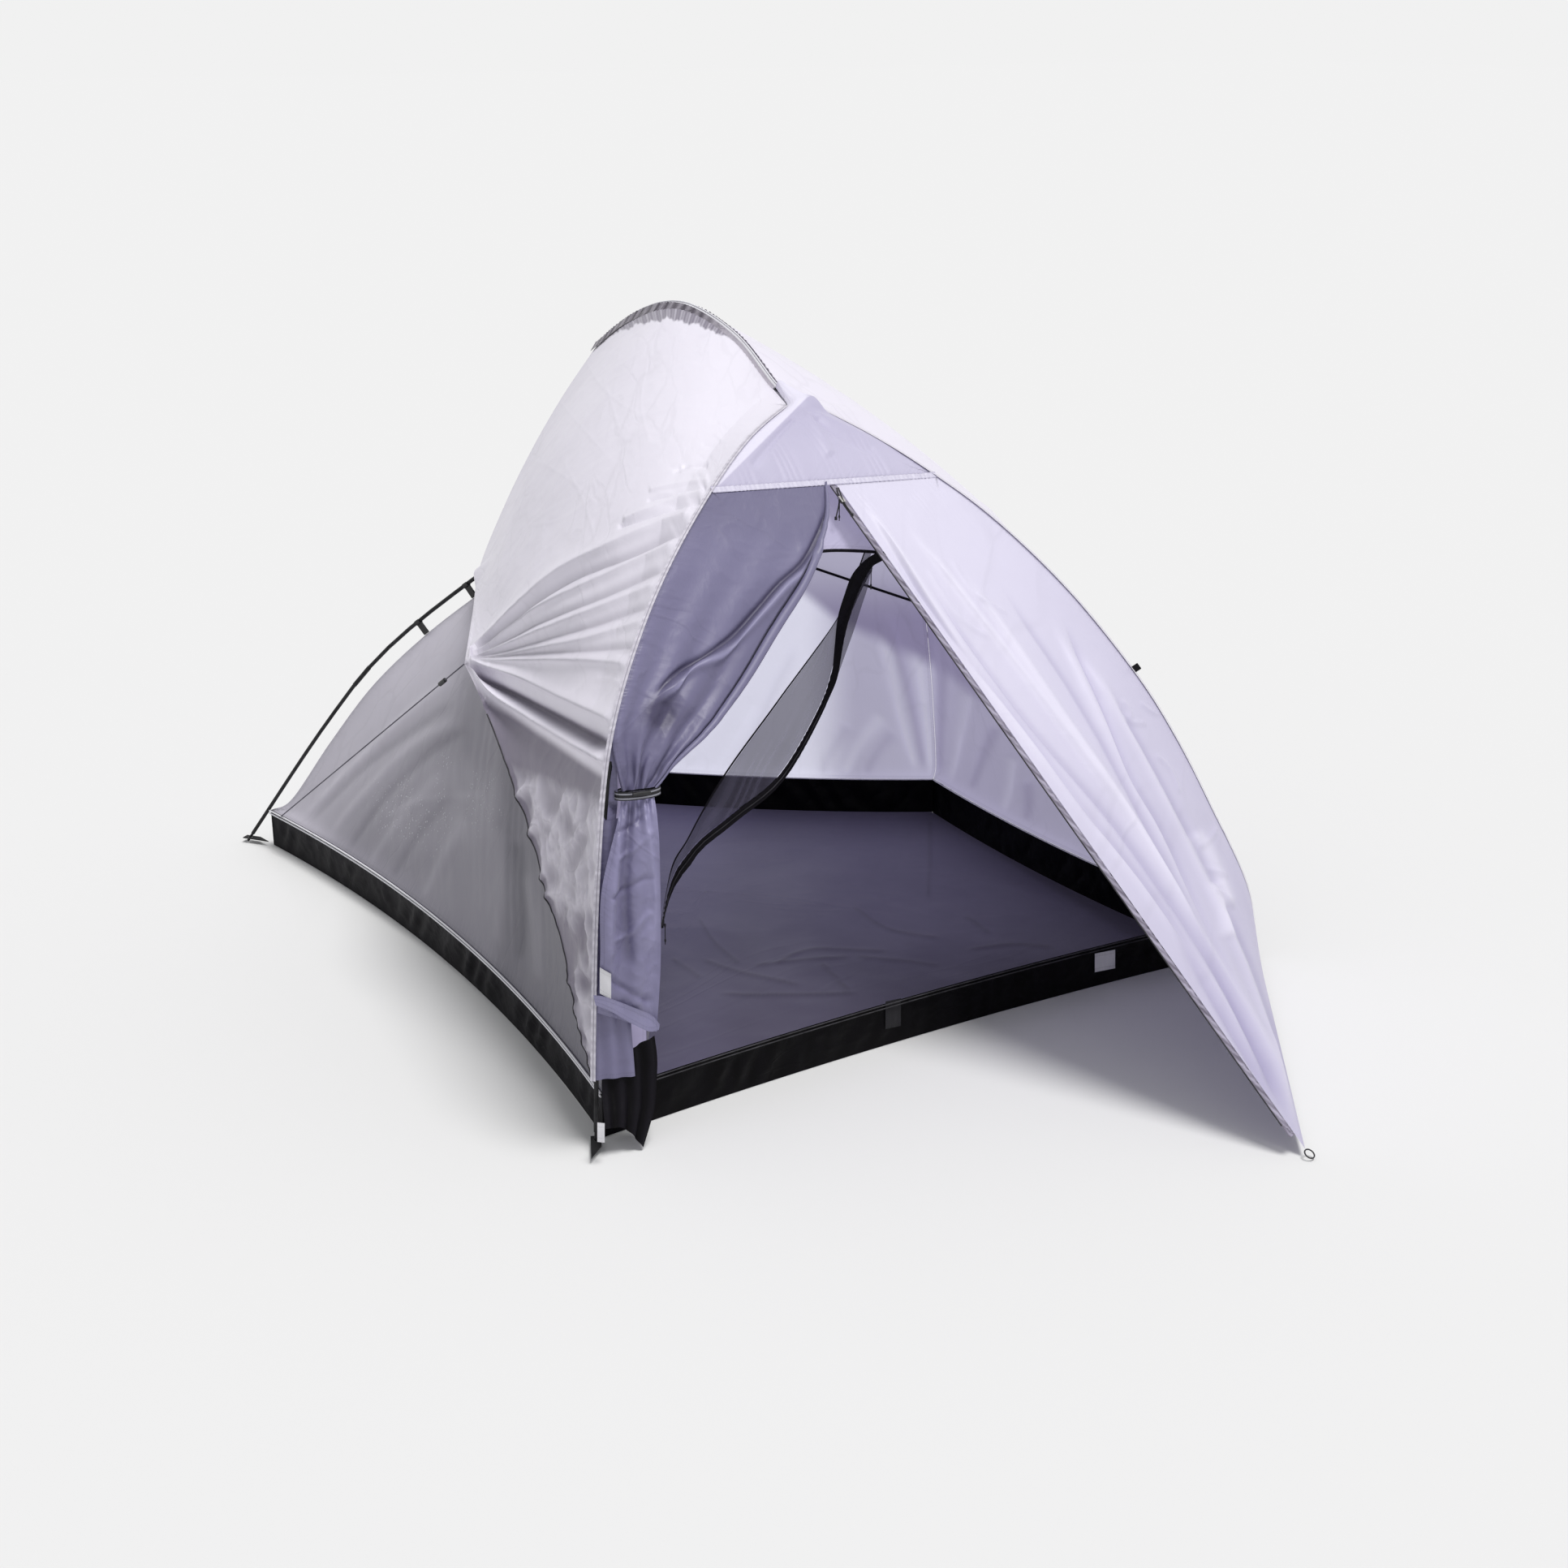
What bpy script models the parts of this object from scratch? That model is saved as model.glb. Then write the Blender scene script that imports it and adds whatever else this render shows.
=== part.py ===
"""Ultralight two-person tent, pitched with its left porch door tied back.

Four bent pole legs meet in a hub, a short arched ridge pole runs back from it, an inner tent with a
bathtub floor hangs under them on hook clips, and a partial fly lies over them with a porch in front.
Lengths are in metres. +X runs along the door side to the right, +Y to the back and +Z up.
Plan positions are measured from the front left floor corner; the origin is the middle of the floor.
"""

import math

import bmesh
import bpy
import numpy as np

# Clearances
GAP = 0.0003
END_GAP = 0.0007
SEAM = 0.0011

# Floor, a rectangle with its rear right corner cut off; its sides bow inwards between the corners
FLOOR_WIDTH = 1.40
LEFT_LENGTH = 1.615
RIGHT_LENGTH = 0.98
REAR_CORNER_X = 0.65
FLOOR_THICK = 0.002
BATHTUB_HEIGHT = 0.085
BATHTUB_THICK = 0.0015
FRONT_BOW = 0.03
RIGHT_BOW = 0.03
REAR_RIGHT_BOW = 0.04
REAR_LEFT_BOW = 0.03
LEFT_BOW = 0.07

# Poles
POLE_RADIUS = 0.00425
FERRULE_RADIUS = 0.005
FERRULE_LENGTH = 0.06
TIP_RADIUS = 0.003
TIP_LENGTH = 0.024
TIP_HEIGHT = 0.002
POLE_STEPS = 9
HUB_X = 0.77
HUB_Y = 0.60
HUB_HEIGHT = 1.085
HUB_RADIUS = 0.018
HUB_THICK = 0.017
SOCKET_RADIUS = 0.0072
SOCKET_REACH = 0.036
FRONT_LEFT_REACH = 0.03
LEFT_REAR_REACH = 0.067
FRONT_RIGHT_REACH = 0.065
RIGHT_REAR_REACH = 0.06
# Each leg's bend, as (share of the run from foot to hub, share of the height)
FRONT_LEFT_BEND = (
    (0, 0),
    (0.02, 0.21),
    (0.05, 0.42),
    (0.11, 0.62),
    (0.25, 0.765),
    (0.45, 0.875),
    (0.72, 0.965),
    (1, 1),
)
LEFT_REAR_BEND = ((0, 0), (0.17, 0.28), (0.29, 0.45), (0.45, 0.61), (0.62, 0.755), (0.82, 0.9), (1, 1))
FRONT_RIGHT_BEND = (
    (0, 0),
    (0.03, 0.135),
    (0.12, 0.29),
    (0.2, 0.415),
    (0.29, 0.53),
    (0.434, 0.675),
    (0.587, 0.795),
    (0.72, 0.875),
    (0.85, 0.94),
    (1, 1),
)
RIGHT_REAR_BEND = (
    (0, 0),
    (0.04, 0.21),
    (0.11, 0.43),
    (0.2, 0.6),
    (0.36, 0.765),
    (0.58, 0.88),
    (0.8, 0.96),
    (1, 1),
)
RIDGE_RUN = 0.69
RIDGE_SWAY = -0.063
RIDGE_RISE = 0.143
# The ridge pole's arch, as (share of its run, share of its rise)
RIDGE_BEND = ((0, 0), (0.1, 0.17), (0.27, 0.7), (0.47, 1), (0.63, 1), (0.81, 0.73), (1, 0.24))

# Cloth
FLY_THICK = 0.0012
INNER_THICK = 0.001
FLY_LIFT = 0.012
INNER_DROP = 0.032
WALL_SAG = 0.015
RIDGE_HALF = 0.006
CREASE_BOW = 0.04
SLEEVE_WALL = 0.0012
SLEEVE_START = 0.062
SLEEVE_OVERHANG = 0.006
SLEEVE_RISE = 0.014
HUB_TRIM = 0.045
HUB_COVER_REACH = 0.06
HUB_COVER_PAST = 0.03
HUB_COVER_BEFORE = 0.01
INNER_TRIM = 0.04
HUB_COVER = 0.0175
SLEEVE_PLAY = 0.001

# Fly corners that a cord pulls out
LEFT_PULL_X = 0.108
LEFT_PULL_Y = 0.728
LEFT_PULL_HEIGHT = 0.636
RIGHT_PULL_OUT = 0.04
RIGHT_PULL_Y = 0.50
RIGHT_PULL_HEIGHT = 0.62
FLY_HEM_HEIGHT = 0.12
HEM_HOLLOW = 0.08
REAR_BULGE = 0.02
LEFT_CROSSING = 0.70
RIGHT_CROSSING = 0.75
PULL_FOLD = 0.006
PULL_FOLDS = 8
DOOR_FOLD = 0.012
DOOR_FOLDS = 6

# Porch
PEG_X = 0.958
PEG_FORWARD = 0.682
PEG_HEIGHT = 0.013
SEAM_HEIGHT_LEFT = 1.005
SEAM_HEIGHT_RIGHT = 0.957
ZIP_SHARE = 0.536
DOOR_HEM_HEIGHT = 0.03
DOOR_SEAM_START = 0.09
ZIP_CLEAR = 0.021
TIE_X = 0.093
TIE_Y = 0.021
TIE_HEIGHT = 0.602
TIE_WIDTH = 0.058
BUNDLE_DEPTH = 0.01
BUNDLE_FOLD = 0.006
DOOR_PLEATS = 7
TAIL_WAVES = 4
TAIL_WAVE_START = 0.15
ROLL_RADIUS = 0.009
ROLL_TIP_RADIUS = 0.0024
# The tied-back door's free edge above the tie and the lower pieces' edges, from the front left corner
DOOR_FREE_EDGE = (
    (0.156, 0.024, 0.63),
    (0.19, 0.03, 0.65),
    (0.253, 0.052, 0.684),
    (0.34, 0.098, 0.737),
    (0.433, 0.152, 0.798),
    (0.519, 0.2, 0.849),
    (0.589, 0.251, 0.895),
    (0.639, 0.295, 0.932),
)
TAIL_LEFT_EDGE = ((-0.02, -0.03, 0.25), (-0.012, -0.03, 0.347), (-0.005, -0.028, 0.461), (0.045, 0.006, 0.56))
TAIL_RIGHT_EDGE = ((0.092, -0.03, 0.185), (0.103, -0.03, 0.32), (0.105, -0.03, 0.494), (0.11, -0.016, 0.56))
STRIP_RIGHT_EDGE = ((0.046, -0.036, 0.118), (0.05, -0.016, 0.26), (0.06, 0, 0.44), (0.078, 0.026, 0.56))
FLAP_LEFT_EDGE = ((-0.028, -0.06, 0.051), (-0.012, -0.021, 0.105), (-0.008, -0.0195, 0.15))
FLAP_HEM = ((-0.028, -0.06, 0.051), (0.008, -0.065, 0.043), (0.037, -0.074, 0.003))
FLAP_RIGHT_EDGE = (
    (0.037, -0.074, 0.003),
    (0.057, -0.065, 0.039),
    (0.072, -0.055, 0.065),
    (0.092, -0.03, 0.13),
    (0.092, -0.022, 0.178),
)

# Inner door
DOOR_TOP_HEIGHT = 0.865
DOOR_SURROUND = 0.06
ARCH_DROP = 0.35
# The mesh door hangs drawn to the left: its upper edge and the lower one that carries the zip
MESH_ARCH_SHARE = 0.5
MESH_SEATS = (0.12, 0.165)
MESH_UPPER_EDGE = (
    (0.273, 0.253, 0.312),
    (0.347, 0.298, 0.378),
    (0.45, 0.339, 0.468),
    (0.576, 0.356, 0.584),
    (0.723, 0.379, 0.719),
)
MESH_LOWER_EDGE = (
    (0.264, 0.243, 0.288),
    (0.347, 0.295, 0.352),
    (0.448, 0.322, 0.391),
    (0.572, 0.349, 0.439),
    (0.681, 0.377, 0.55),
    (0.722, 0.389, 0.63),
    (0.757, 0.4, 0.711),
)
BAND_WIDTH = 0.018
BAND_STEPS = 46
INNER_SEAM_START = 0.03
BAND_SPAN = (0.24, 0.96)

# Small parts
ZIP_WIDTH = 0.014
ZIP_FOOT = 0.03
ZIP_THICK = 0.0016
SLIDER_LENGTH = 0.014
SLIDER_WIDTH = 0.01
SLIDER_THICK = 0.005
SLIDER_PLAY = 0.0004
SLIDER_WALL = 0.0014
ZIP_OPEN_AT = 0.04
PULL_LENGTH = 0.04
PULL_RADIUS = 0.001
KNOT_RADIUS = 0.002
CORD_RADIUS = 0.0013
CORD_PLAY = 0.0006
CORD_CLEAR = 0.002
ADJUSTER_LENGTH = 0.024
ADJUSTER_RADIUS = 0.0045
ADJUSTER_FROM_PULL = 0.1
CORD_END_SHARE = 0.025
CORD_STEPS = 24
WEBBING_WIDTH = 0.018
WEBBING_THICK = 0.0016
TAB_HEIGHT = 0.01
TAB_INNER = 0.014
TAB_OUTER = 0.062
STRAP_TO_CORNER = 0.055
# The front left tab points forward; the front right and left rear ones run in to the floor's corner
FRONT_LEFT_TAB = (-0.031, -0.062)
EYELET_PLAY = 0.0006
CLIP_WIDTH = 0.012
CLIP_WALL = 0.0022
CLIP_PLAY = 0.0005
CLIP_STEM = 0.006
CLIP_MOUTH = 50
LEFT_REAR_CLIPS = (0.568, 0.66)
RIGHT_REAR_CLIPS = (0.46, 0.78)
FRONT_LEFT_CLIP = 0.87
FRONT_RIGHT_CLIP = 0.52
STRAP_HEIGHT = 0.014
STRAP_CLEAR = 0.009
TOGGLE_RADIUS = 0.004
TOGGLE_END_RADIUS = 0.0032
TOGGLE_PLAY = 0.0009
TOGGLE_LENGTH = 0.03
SIDE_TAB_HEIGHT = 0.59
SIDE_TAB_LENGTH = 0.014
PEG_LOOP_RADIUS = 0.009
PEG_LOOP_RUN = 0.018


def at(x, y, z):
    """A place measured from the front left floor corner, in the tent's frame."""
    return np.array((x - FLOOR_WIDTH / 2, y - LEFT_LENGTH / 2, z), float)


def unit(vector):
    return vector / np.linalg.norm(vector)


def evenly(points, count):
    """The line through the points again, as count points at even steps."""
    points = np.asarray(points, float)
    along = np.concatenate([[0], np.cumsum(np.linalg.norm(np.diff(points, axis=0), axis=1))])
    steps = np.linspace(0, along[-1], count)
    return np.stack([np.interp(steps, along, points[:, k]) for k in range(points.shape[1])], axis=1)


def smooth(points, count=41):
    """A smooth curve through the points, as count points at even steps."""
    points = np.asarray(points, float)
    ends = np.vstack([2 * points[0] - points[1], points, 2 * points[-1] - points[-2]])
    dense = []
    for before, start, end, after in zip(ends[:-3], ends[1:-2], ends[2:-1], ends[3:]):
        for t in np.linspace(0, 1, 16, endpoint=False):
            dense.append(
                start
                + 0.5 * t * (end - before)
                + t * t * (before - 2.5 * start + 2 * end - 0.5 * after)
                + t * t * t * (1.5 * (start - end) + 0.5 * (after - before))
            )
    dense.append(points[-1])
    return evenly(dense, count)


def hollow(start, end, depth, count=41):
    """A hem from start to end, drawn hollow by depth at its middle."""
    t = np.linspace(0, 1, count)[:, None]
    return start + (end - start) * t + depth * 4 * t * (1 - t)


def between(curve, low, high, count=41):
    """The stretch of a rising curve between two heights."""
    dense = evenly(curve, 400)
    ends = [dense[np.searchsorted(dense[:, 2], height)] for height in (low, high)]
    middle = dense[(dense[:, 2] > low) & (dense[:, 2] < high)]
    return evenly(np.vstack([ends[0], middle, ends[1]]), count)


def material(name, colour, roughness, metallic=0.0):
    made = bpy.data.materials.new(name)
    made.use_nodes = True
    shader = made.node_tree.nodes["Principled BSDF"]
    shader.inputs["Base Color"].default_value = (*colour, 1)
    shader.inputs["Roughness"].default_value = roughness
    shader.inputs["Metallic"].default_value = metallic
    made.diffuse_color = (*colour, 1)
    return made


def add_mesh(name, points, faces, skin, origin=None):
    """A closed solid from points and faces, with its faces turned outwards and its origin where it turns."""
    origin = np.zeros(3) if origin is None else np.asarray(origin, float)
    mesh = bpy.data.meshes.new(name)
    mesh.from_pydata([tuple(p - origin) for p in points], [], [tuple(int(i) for i in f) for f in faces])
    body = bmesh.new()
    body.from_mesh(mesh)
    bmesh.ops.recalc_face_normals(body, faces=body.faces)
    body.to_mesh(mesh)
    body.free()
    made = bpy.data.objects.new(name, mesh)
    made.location = origin
    bpy.context.scene.collection.objects.link(made)
    made.data.materials.append(skin)
    return made


def normals_of(grid):
    across = np.gradient(grid, axis=1)
    along = np.gradient(grid, axis=0)
    found = np.cross(across, along)
    return found / np.linalg.norm(found, axis=2, keepdims=True)


def sheet_solid(name, grid, thick, skin):
    """A thin closed solid around a grid of points, cloth-like, with the same diagonals on both faces."""
    rows, cols = grid.shape[:2]
    normals = normals_of(grid)
    points = np.vstack([(grid + side * normals * thick / 2).reshape(-1, 3) for side in (1, -1)])
    under = rows * cols
    faces = []
    for r in range(rows - 1):
        for c in range(cols - 1):
            a = r * cols + c
            b, d, e = a + 1, a + cols, a + cols + 1
            faces += [(a, b, e), (a, e, d)]
            faces += [(a + under, e + under, b + under), (a + under, d + under, e + under)]
    rim = [r * cols for r in range(rows)]
    rim += [(rows - 1) * cols + c for c in range(1, cols)]
    rim += [r * cols + cols - 1 for r in range(rows - 2, -1, -1)]
    rim += [c for c in range(cols - 2, 0, -1)]
    for first, second in zip(rim, rim[1:] + rim[:1]):
        faces += [(first, second, second + under), (first, second + under, first + under)]
    return add_mesh(name, points, faces, skin)


def patch(bottom, right, top, left):
    """The surface stretched between four edges; bottom and top run left to right, the sides upwards."""

    def on(edge, share):
        steps = np.linspace(0, 1, len(edge))
        return np.stack([np.interp(share, steps, edge[:, k]) for k in range(3)], axis=-1)

    def surface(u, v):
        along_u = (1 - v)[..., None] * on(bottom, u) + v[..., None] * on(top, u)
        along_v = (1 - u)[..., None] * on(left, v) + u[..., None] * on(right, v)
        corners = (
            ((1 - u) * (1 - v))[..., None] * bottom[0]
            + (u * (1 - v))[..., None] * bottom[-1]
            + ((1 - u) * v)[..., None] * top[0]
            + (u * v)[..., None] * top[-1]
        )
        return along_u + along_v - corners

    return surface


def grid_of(edges, rows, cols, low=0.0, high=1.0, first=0.0, last=1.0, inset=SEAM):
    """Points over the surface between four edges, kept a seam's allowance inside them, with their shares."""
    surface = patch(*edges)
    u = np.linspace(first, last, cols)[None, :] + np.zeros((rows, 1))
    v = low + (high - low) * np.linspace(0, 1, rows)[:, None] + 0 * u
    for _ in range(2):
        grid = surface(u, v)
        width = np.linalg.norm(np.diff(grid, axis=1), axis=2).sum(axis=1)[:, None]
        height = np.linalg.norm(np.diff(grid, axis=0), axis=2).sum(axis=0)[None, :]
        cut_u = inset / width * (last - first)
        cut_v = inset / height * (high - low)
        u = first + cut_u + (last - first - 2 * cut_u) * np.linspace(0, 1, cols)[None, :]
        v = low + cut_v + (high - low - 2 * cut_v) * np.linspace(0, 1, rows)[:, None]
    return surface(u, v), u, v


def folded(grid, depth):
    """The grid with each point moved along the surface's normal by depth, an array like the grid."""
    return grid + normals_of(grid) * depth[..., None]


def tube(name, points, radius, skin, radii=None, round_steps=2, origin=(0, 0, 0), cyclic=False):
    """A solid round bar along the points, or a ring of it."""
    curve = bpy.data.curves.new(name, "CURVE")
    curve.dimensions = "3D"
    curve.bevel_depth = radius
    curve.bevel_resolution = round_steps
    curve.use_fill_caps = True
    curve.render_resolution_u = 0
    line = curve.splines.new("POLY")
    line.points.add(len(points) - 1)
    for i, point in enumerate(points):
        line.points[i].co = (*(np.asarray(point) - origin), 1)
        line.points[i].radius = 1 if radii is None else radii[i] / radius
    line.use_cyclic_u = cyclic
    made = bpy.data.objects.new(name, curve)
    made.location = origin
    bpy.context.scene.collection.objects.link(made)
    curve.materials.append(skin)
    return made


def prism(name, outline, centre, across, up, length, skin, origin=None):
    """A flat outline, in steps along across and up from the centre, made length thick square to both."""
    along = np.cross(across, up)
    points = []
    for end in (-0.5, 0.5):
        points += [centre + a * across + b * up + end * length * along for a, b in outline]
    count = len(outline)
    faces = [tuple(range(count)), tuple(range(count, 2 * count))]
    faces += [(k, (k + 1) % count, (k + 1) % count + count, k + count) for k in range(count)]
    return add_mesh(name, points, faces, skin, origin)


def eyelet_plate(name, centre, along, across, front, back, half_width, hole, thick, skin):
    """A flat strip from back to front of a round hole, lying level across the two directions."""
    corners = ((front, half_width), (-back, half_width), (-back, -half_width), (front, -half_width))
    turns = np.linspace(0, 2 * math.pi, 16, endpoint=False)
    outline = []
    for turn in turns:
        c, s = math.cos(turn), math.sin(turn)
        reach = [(front if c > 0 else back) / max(abs(c), GAP), half_width / max(abs(s), GAP)]
        outline.append((min(reach) * c, min(reach) * s))
    for corner in corners:
        turn = math.atan2(corner[1], corner[0]) % (2 * math.pi)
        nearest = int(np.argmin([abs(math.remainder(turn - t, 2 * math.pi)) for t in turns]))
        outline[nearest] = corner
    rings = []
    for height in (thick / 2, -thick / 2):
        level = centre + np.array((0, 0, height))
        rings += [level + a * along + b * across for a, b in outline]
        rings += [level + hole * (math.cos(t) * along + math.sin(t) * across) for t in turns]
    count = len(turns)
    faces = []
    for k in range(count):
        n = (k + 1) % count
        outer, inner, low_outer, low_inner = 0, count, 2 * count, 3 * count
        faces.append((outer + k, outer + n, inner + n, inner + k))
        faces.append((low_outer + k, low_outer + n, low_inner + n, low_inner + k))
        faces.append((outer + k, outer + n, low_outer + n, low_outer + k))
        faces.append((inner + k, inner + n, low_inner + n, low_inner + k))
    return add_mesh(name, rings, faces, skin)


def oval_band(name, centre, along, across, half_long, half_short, height, wall, skin, corners=24):
    """An upright oval band around something."""
    turns = np.linspace(0, 2 * math.pi, corners, endpoint=False)
    rings = []
    for extra in (wall, 0):
        for level in (-height / 2, height / 2):
            for t in turns:
                lengthwise = (half_long + extra) * math.cos(t) * along
                sideways = (half_short + extra) * math.sin(t) * across
                rings.append(centre + lengthwise + sideways + np.array((0, 0, level)))
    faces = []
    low_out, high_out, low_in, high_in = (k * corners for k in range(4))
    for k in range(corners):
        n = (k + 1) % corners
        faces.append((low_out + k, low_out + n, high_out + n, high_out + k))
        faces.append((low_in + k, low_in + n, high_in + n, high_in + k))
        faces.append((low_out + k, low_out + n, low_in + n, low_in + k))
        faces.append((high_out + k, high_out + n, high_in + n, high_in + k))
    return add_mesh(name, rings, faces, skin)


def ring_frames(points):
    """Two directions square to a line at each of its points, turning with it."""
    points = np.asarray(points, float)
    along = np.gradient(points, axis=0)
    along /= np.linalg.norm(along, axis=1, keepdims=True)
    side = np.cross(along[0], (0, 0, 1) if abs(along[0][2]) < 0.9 else (1, 0, 0))
    sides = []
    for direction in along:
        side = unit(side - direction * (side @ direction))
        sides.append(side)
    sides = np.array(sides)
    return sides, np.cross(along, sides)


def hollow_tube(name, points, inner, outer, skin, corners=10, origin=None):
    """A pipe along the points, open at both ends."""
    points = np.asarray(points, float)
    sides, ups = ring_frames(points)
    turns = np.linspace(0, 2 * math.pi, corners, endpoint=False)
    rings = []
    for radius in (outer, inner):
        for point, side, up in zip(points, sides, ups):
            rings += [point + radius * (math.cos(a) * side + math.sin(a) * up) for a in turns]
    count = len(points)
    faces = []
    for wall in range(2):
        start = wall * count * corners
        for i in range(count - 1):
            for k in range(corners):
                a = start + i * corners + k
                b = start + i * corners + (k + 1) % corners
                faces.append((a, b, b + corners, a + corners))
    for i in (0, count - 1):
        for k in range(corners):
            a = i * corners + k
            b = i * corners + (k + 1) % corners
            faces.append((a, b, b + count * corners, a + count * corners))
    return add_mesh(name, rings, faces, skin, origin)


def block(name, centre, axes, sizes, skin, origin=None, waist=1.0):
    """A bar with chamfered edges, of the given sizes along three directions; waist narrows its middle."""
    centre = np.asarray(centre, float)
    chamfer = min(sizes) * 0.2
    half = np.array(sizes) / 2
    outline = []
    for x, y in ((1, 1), (-1, 1), (-1, -1), (1, -1)):
        first = (x * half[0], y * (half[1] - chamfer))
        second = (x * (half[0] - chamfer), y * half[1])
        outline += [first, second] if x * y > 0 else [second, first]
    points = []
    levels = ((-half[2], 0.85), (-half[2] + chamfer, 1), (0, waist), (half[2] - chamfer, 1), (half[2], 0.85))
    for height, shrink in levels:
        level = centre + height * axes[2]
        points += [level + shrink * (a * axes[0] + b * axes[1]) for a, b in outline]
    ring = len(outline)
    layers = len(points) // ring
    faces = [tuple(range(ring)), tuple((layers - 1) * ring + k for k in range(ring))]
    for layer in range(layers - 1):
        for k in range(ring):
            a = layer * ring + k
            b = layer * ring + (k + 1) % ring
            faces.append((a, b, b + ring, a + ring))
    return add_mesh(name, points, faces, skin, origin)


def clear_scene():
    for old in list(bpy.data.objects):
        bpy.data.objects.remove(old)


def lines():
    """The lines that the pieces share: floor sides, pole lines, and the fly's and inner tent's edges."""
    corner = {
        "front_left": at(0, 0, 0),
        "front_right": at(FLOOR_WIDTH, 0, 0),
        "right_rear": at(FLOOR_WIDTH, RIGHT_LENGTH, 0),
        "back": at(REAR_CORNER_X, LEFT_LENGTH, 0),
        "left_rear": at(0, LEFT_LENGTH, 0),
    }
    side = {}
    for name, start, end, bow in (
        ("front", "front_left", "front_right", FRONT_BOW),
        ("right", "front_right", "right_rear", RIGHT_BOW),
        ("rear_right", "right_rear", "back", REAR_RIGHT_BOW),
        ("rear_left", "back", "left_rear", REAR_LEFT_BOW),
        ("left", "left_rear", "front_left", LEFT_BOW),
    ):
        run = unit(corner[end] - corner[start])
        side[name] = hollow(corner[start], corner[end], bow * np.array((-run[1], run[0], 0)), 13)
    hub = at(HUB_X, HUB_Y, HUB_HEIGHT)
    leg, fly, inner, foot = {}, {}, {}, {}
    for name, reach, bend in (
        ("front_left", FRONT_LEFT_REACH, FRONT_LEFT_BEND),
        ("left_rear", LEFT_REAR_REACH, LEFT_REAR_BEND),
        ("front_right", FRONT_RIGHT_REACH, FRONT_RIGHT_BEND),
        ("right_rear", RIGHT_REAR_REACH, RIGHT_REAR_BEND),
    ):
        out = unit((corner[name] - hub) * (1, 1, 0))
        foot[name] = corner[name] + reach * out + (0, 0, TIP_HEIGHT)
        rise = hub - foot[name]
        leg[name] = smooth([foot[name] + rise * (s, s, h) for s, h in bend], 120)
        fly[name] = raised(leg[name], -out, FLY_LIFT)
        inner[name] = raised(leg[name], -out, -INNER_DROP)
    back = unit(np.array((RIDGE_SWAY, RIDGE_RUN, 0)))
    ridge = smooth([hub + (s * RIDGE_SWAY, s * RIDGE_RUN, h * RIDGE_RISE) for s, h in RIDGE_BEND], 80)
    return corner, side, hub, leg, fly, inner, foot, ridge, back


def raised(line, towards, lift):
    """A line in an upright plane, moved square to itself by lift; towards is level, along its run."""
    along = np.gradient(line, axis=0)
    along /= np.linalg.norm(along, axis=1, keepdims=True)
    level = along @ towards
    square = level[:, None] * np.array((0, 0, 1)) - along[:, 2:3] * towards
    return line + lift * square


def trimmed(line, centre, clear):
    """The line up to where it comes within clear of the centre, in plan."""
    away = np.linalg.norm((line - centre)[:, :2], axis=1)
    return line[away > clear]


def lift_over(grid, line, towards, lift, weight, flat=0.008, reach=0.09):
    """Cloth draped over a pole: points lower than lift above the pole's line are raised, less further off."""
    square = unit_rows(raised(line, towards, 1) - line)
    flat_grid = grid.reshape(-1, 3).copy()
    shares = weight.reshape(-1)
    for i, point in enumerate(flat_grid):
        nearest = np.argmin(np.linalg.norm(line - point, axis=1))
        out = square[nearest]
        height = (point - line[nearest]) @ out
        beside = np.linalg.norm(point - line[nearest] - height * out)
        fade = np.clip((reach - beside) / (reach - flat), 0, 1)
        fade = fade * fade * (3 - 2 * fade)
        flat_grid[i] += out * max(0.0, lift - height) * fade * shares[i]
    return flat_grid.reshape(grid.shape)


def unit_rows(rows):
    return rows / np.linalg.norm(rows, axis=1, keepdims=True)


def inset_side(line, depth):
    """A floor side moved inwards by depth, and shortened by it at both ends."""
    run = unit(line[-1] - line[0])
    inward = np.array((-run[1], run[0], 0))
    shifted = line + depth * inward
    shifted[0] += depth * run
    shifted[-1] -= depth * run
    return shifted


def build_floor(side, skins):
    outline = []
    for name in ("front", "right", "rear_right", "rear_left", "left"):
        for point in inset_side(side[name], BATHTUB_THICK + GAP):
            if not outline or np.linalg.norm(point - outline[-1]) > GAP:
                outline.append(point)
    if np.linalg.norm(outline[0] - outline[-1]) < GAP:
        outline.pop()
    count = len(outline)
    points = outline + [p + (0, 0, FLOOR_THICK) for p in outline]
    faces = [tuple(range(count)), tuple(range(count, 2 * count))]
    faces += [(k, (k + 1) % count, (k + 1) % count + count, k + count) for k in range(count)]
    add_mesh("groundsheet", points, faces, skins["floor"])
    for name, line in side.items():
        middle = inset_side(line, BATHTUB_THICK / 2)
        trim = BATHTUB_THICK + GAP
        run = unit(line[-1] - line[0])
        middle[0] += trim * run
        middle[-1] -= trim * run
        grid = np.stack([middle + (0, 0, h) for h in (0, BATHTUB_HEIGHT / 2, BATHTUB_HEIGHT)])
        sheet_solid("bathtub_" + name, grid, BATHTUB_THICK, skins["bathtub"])


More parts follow.
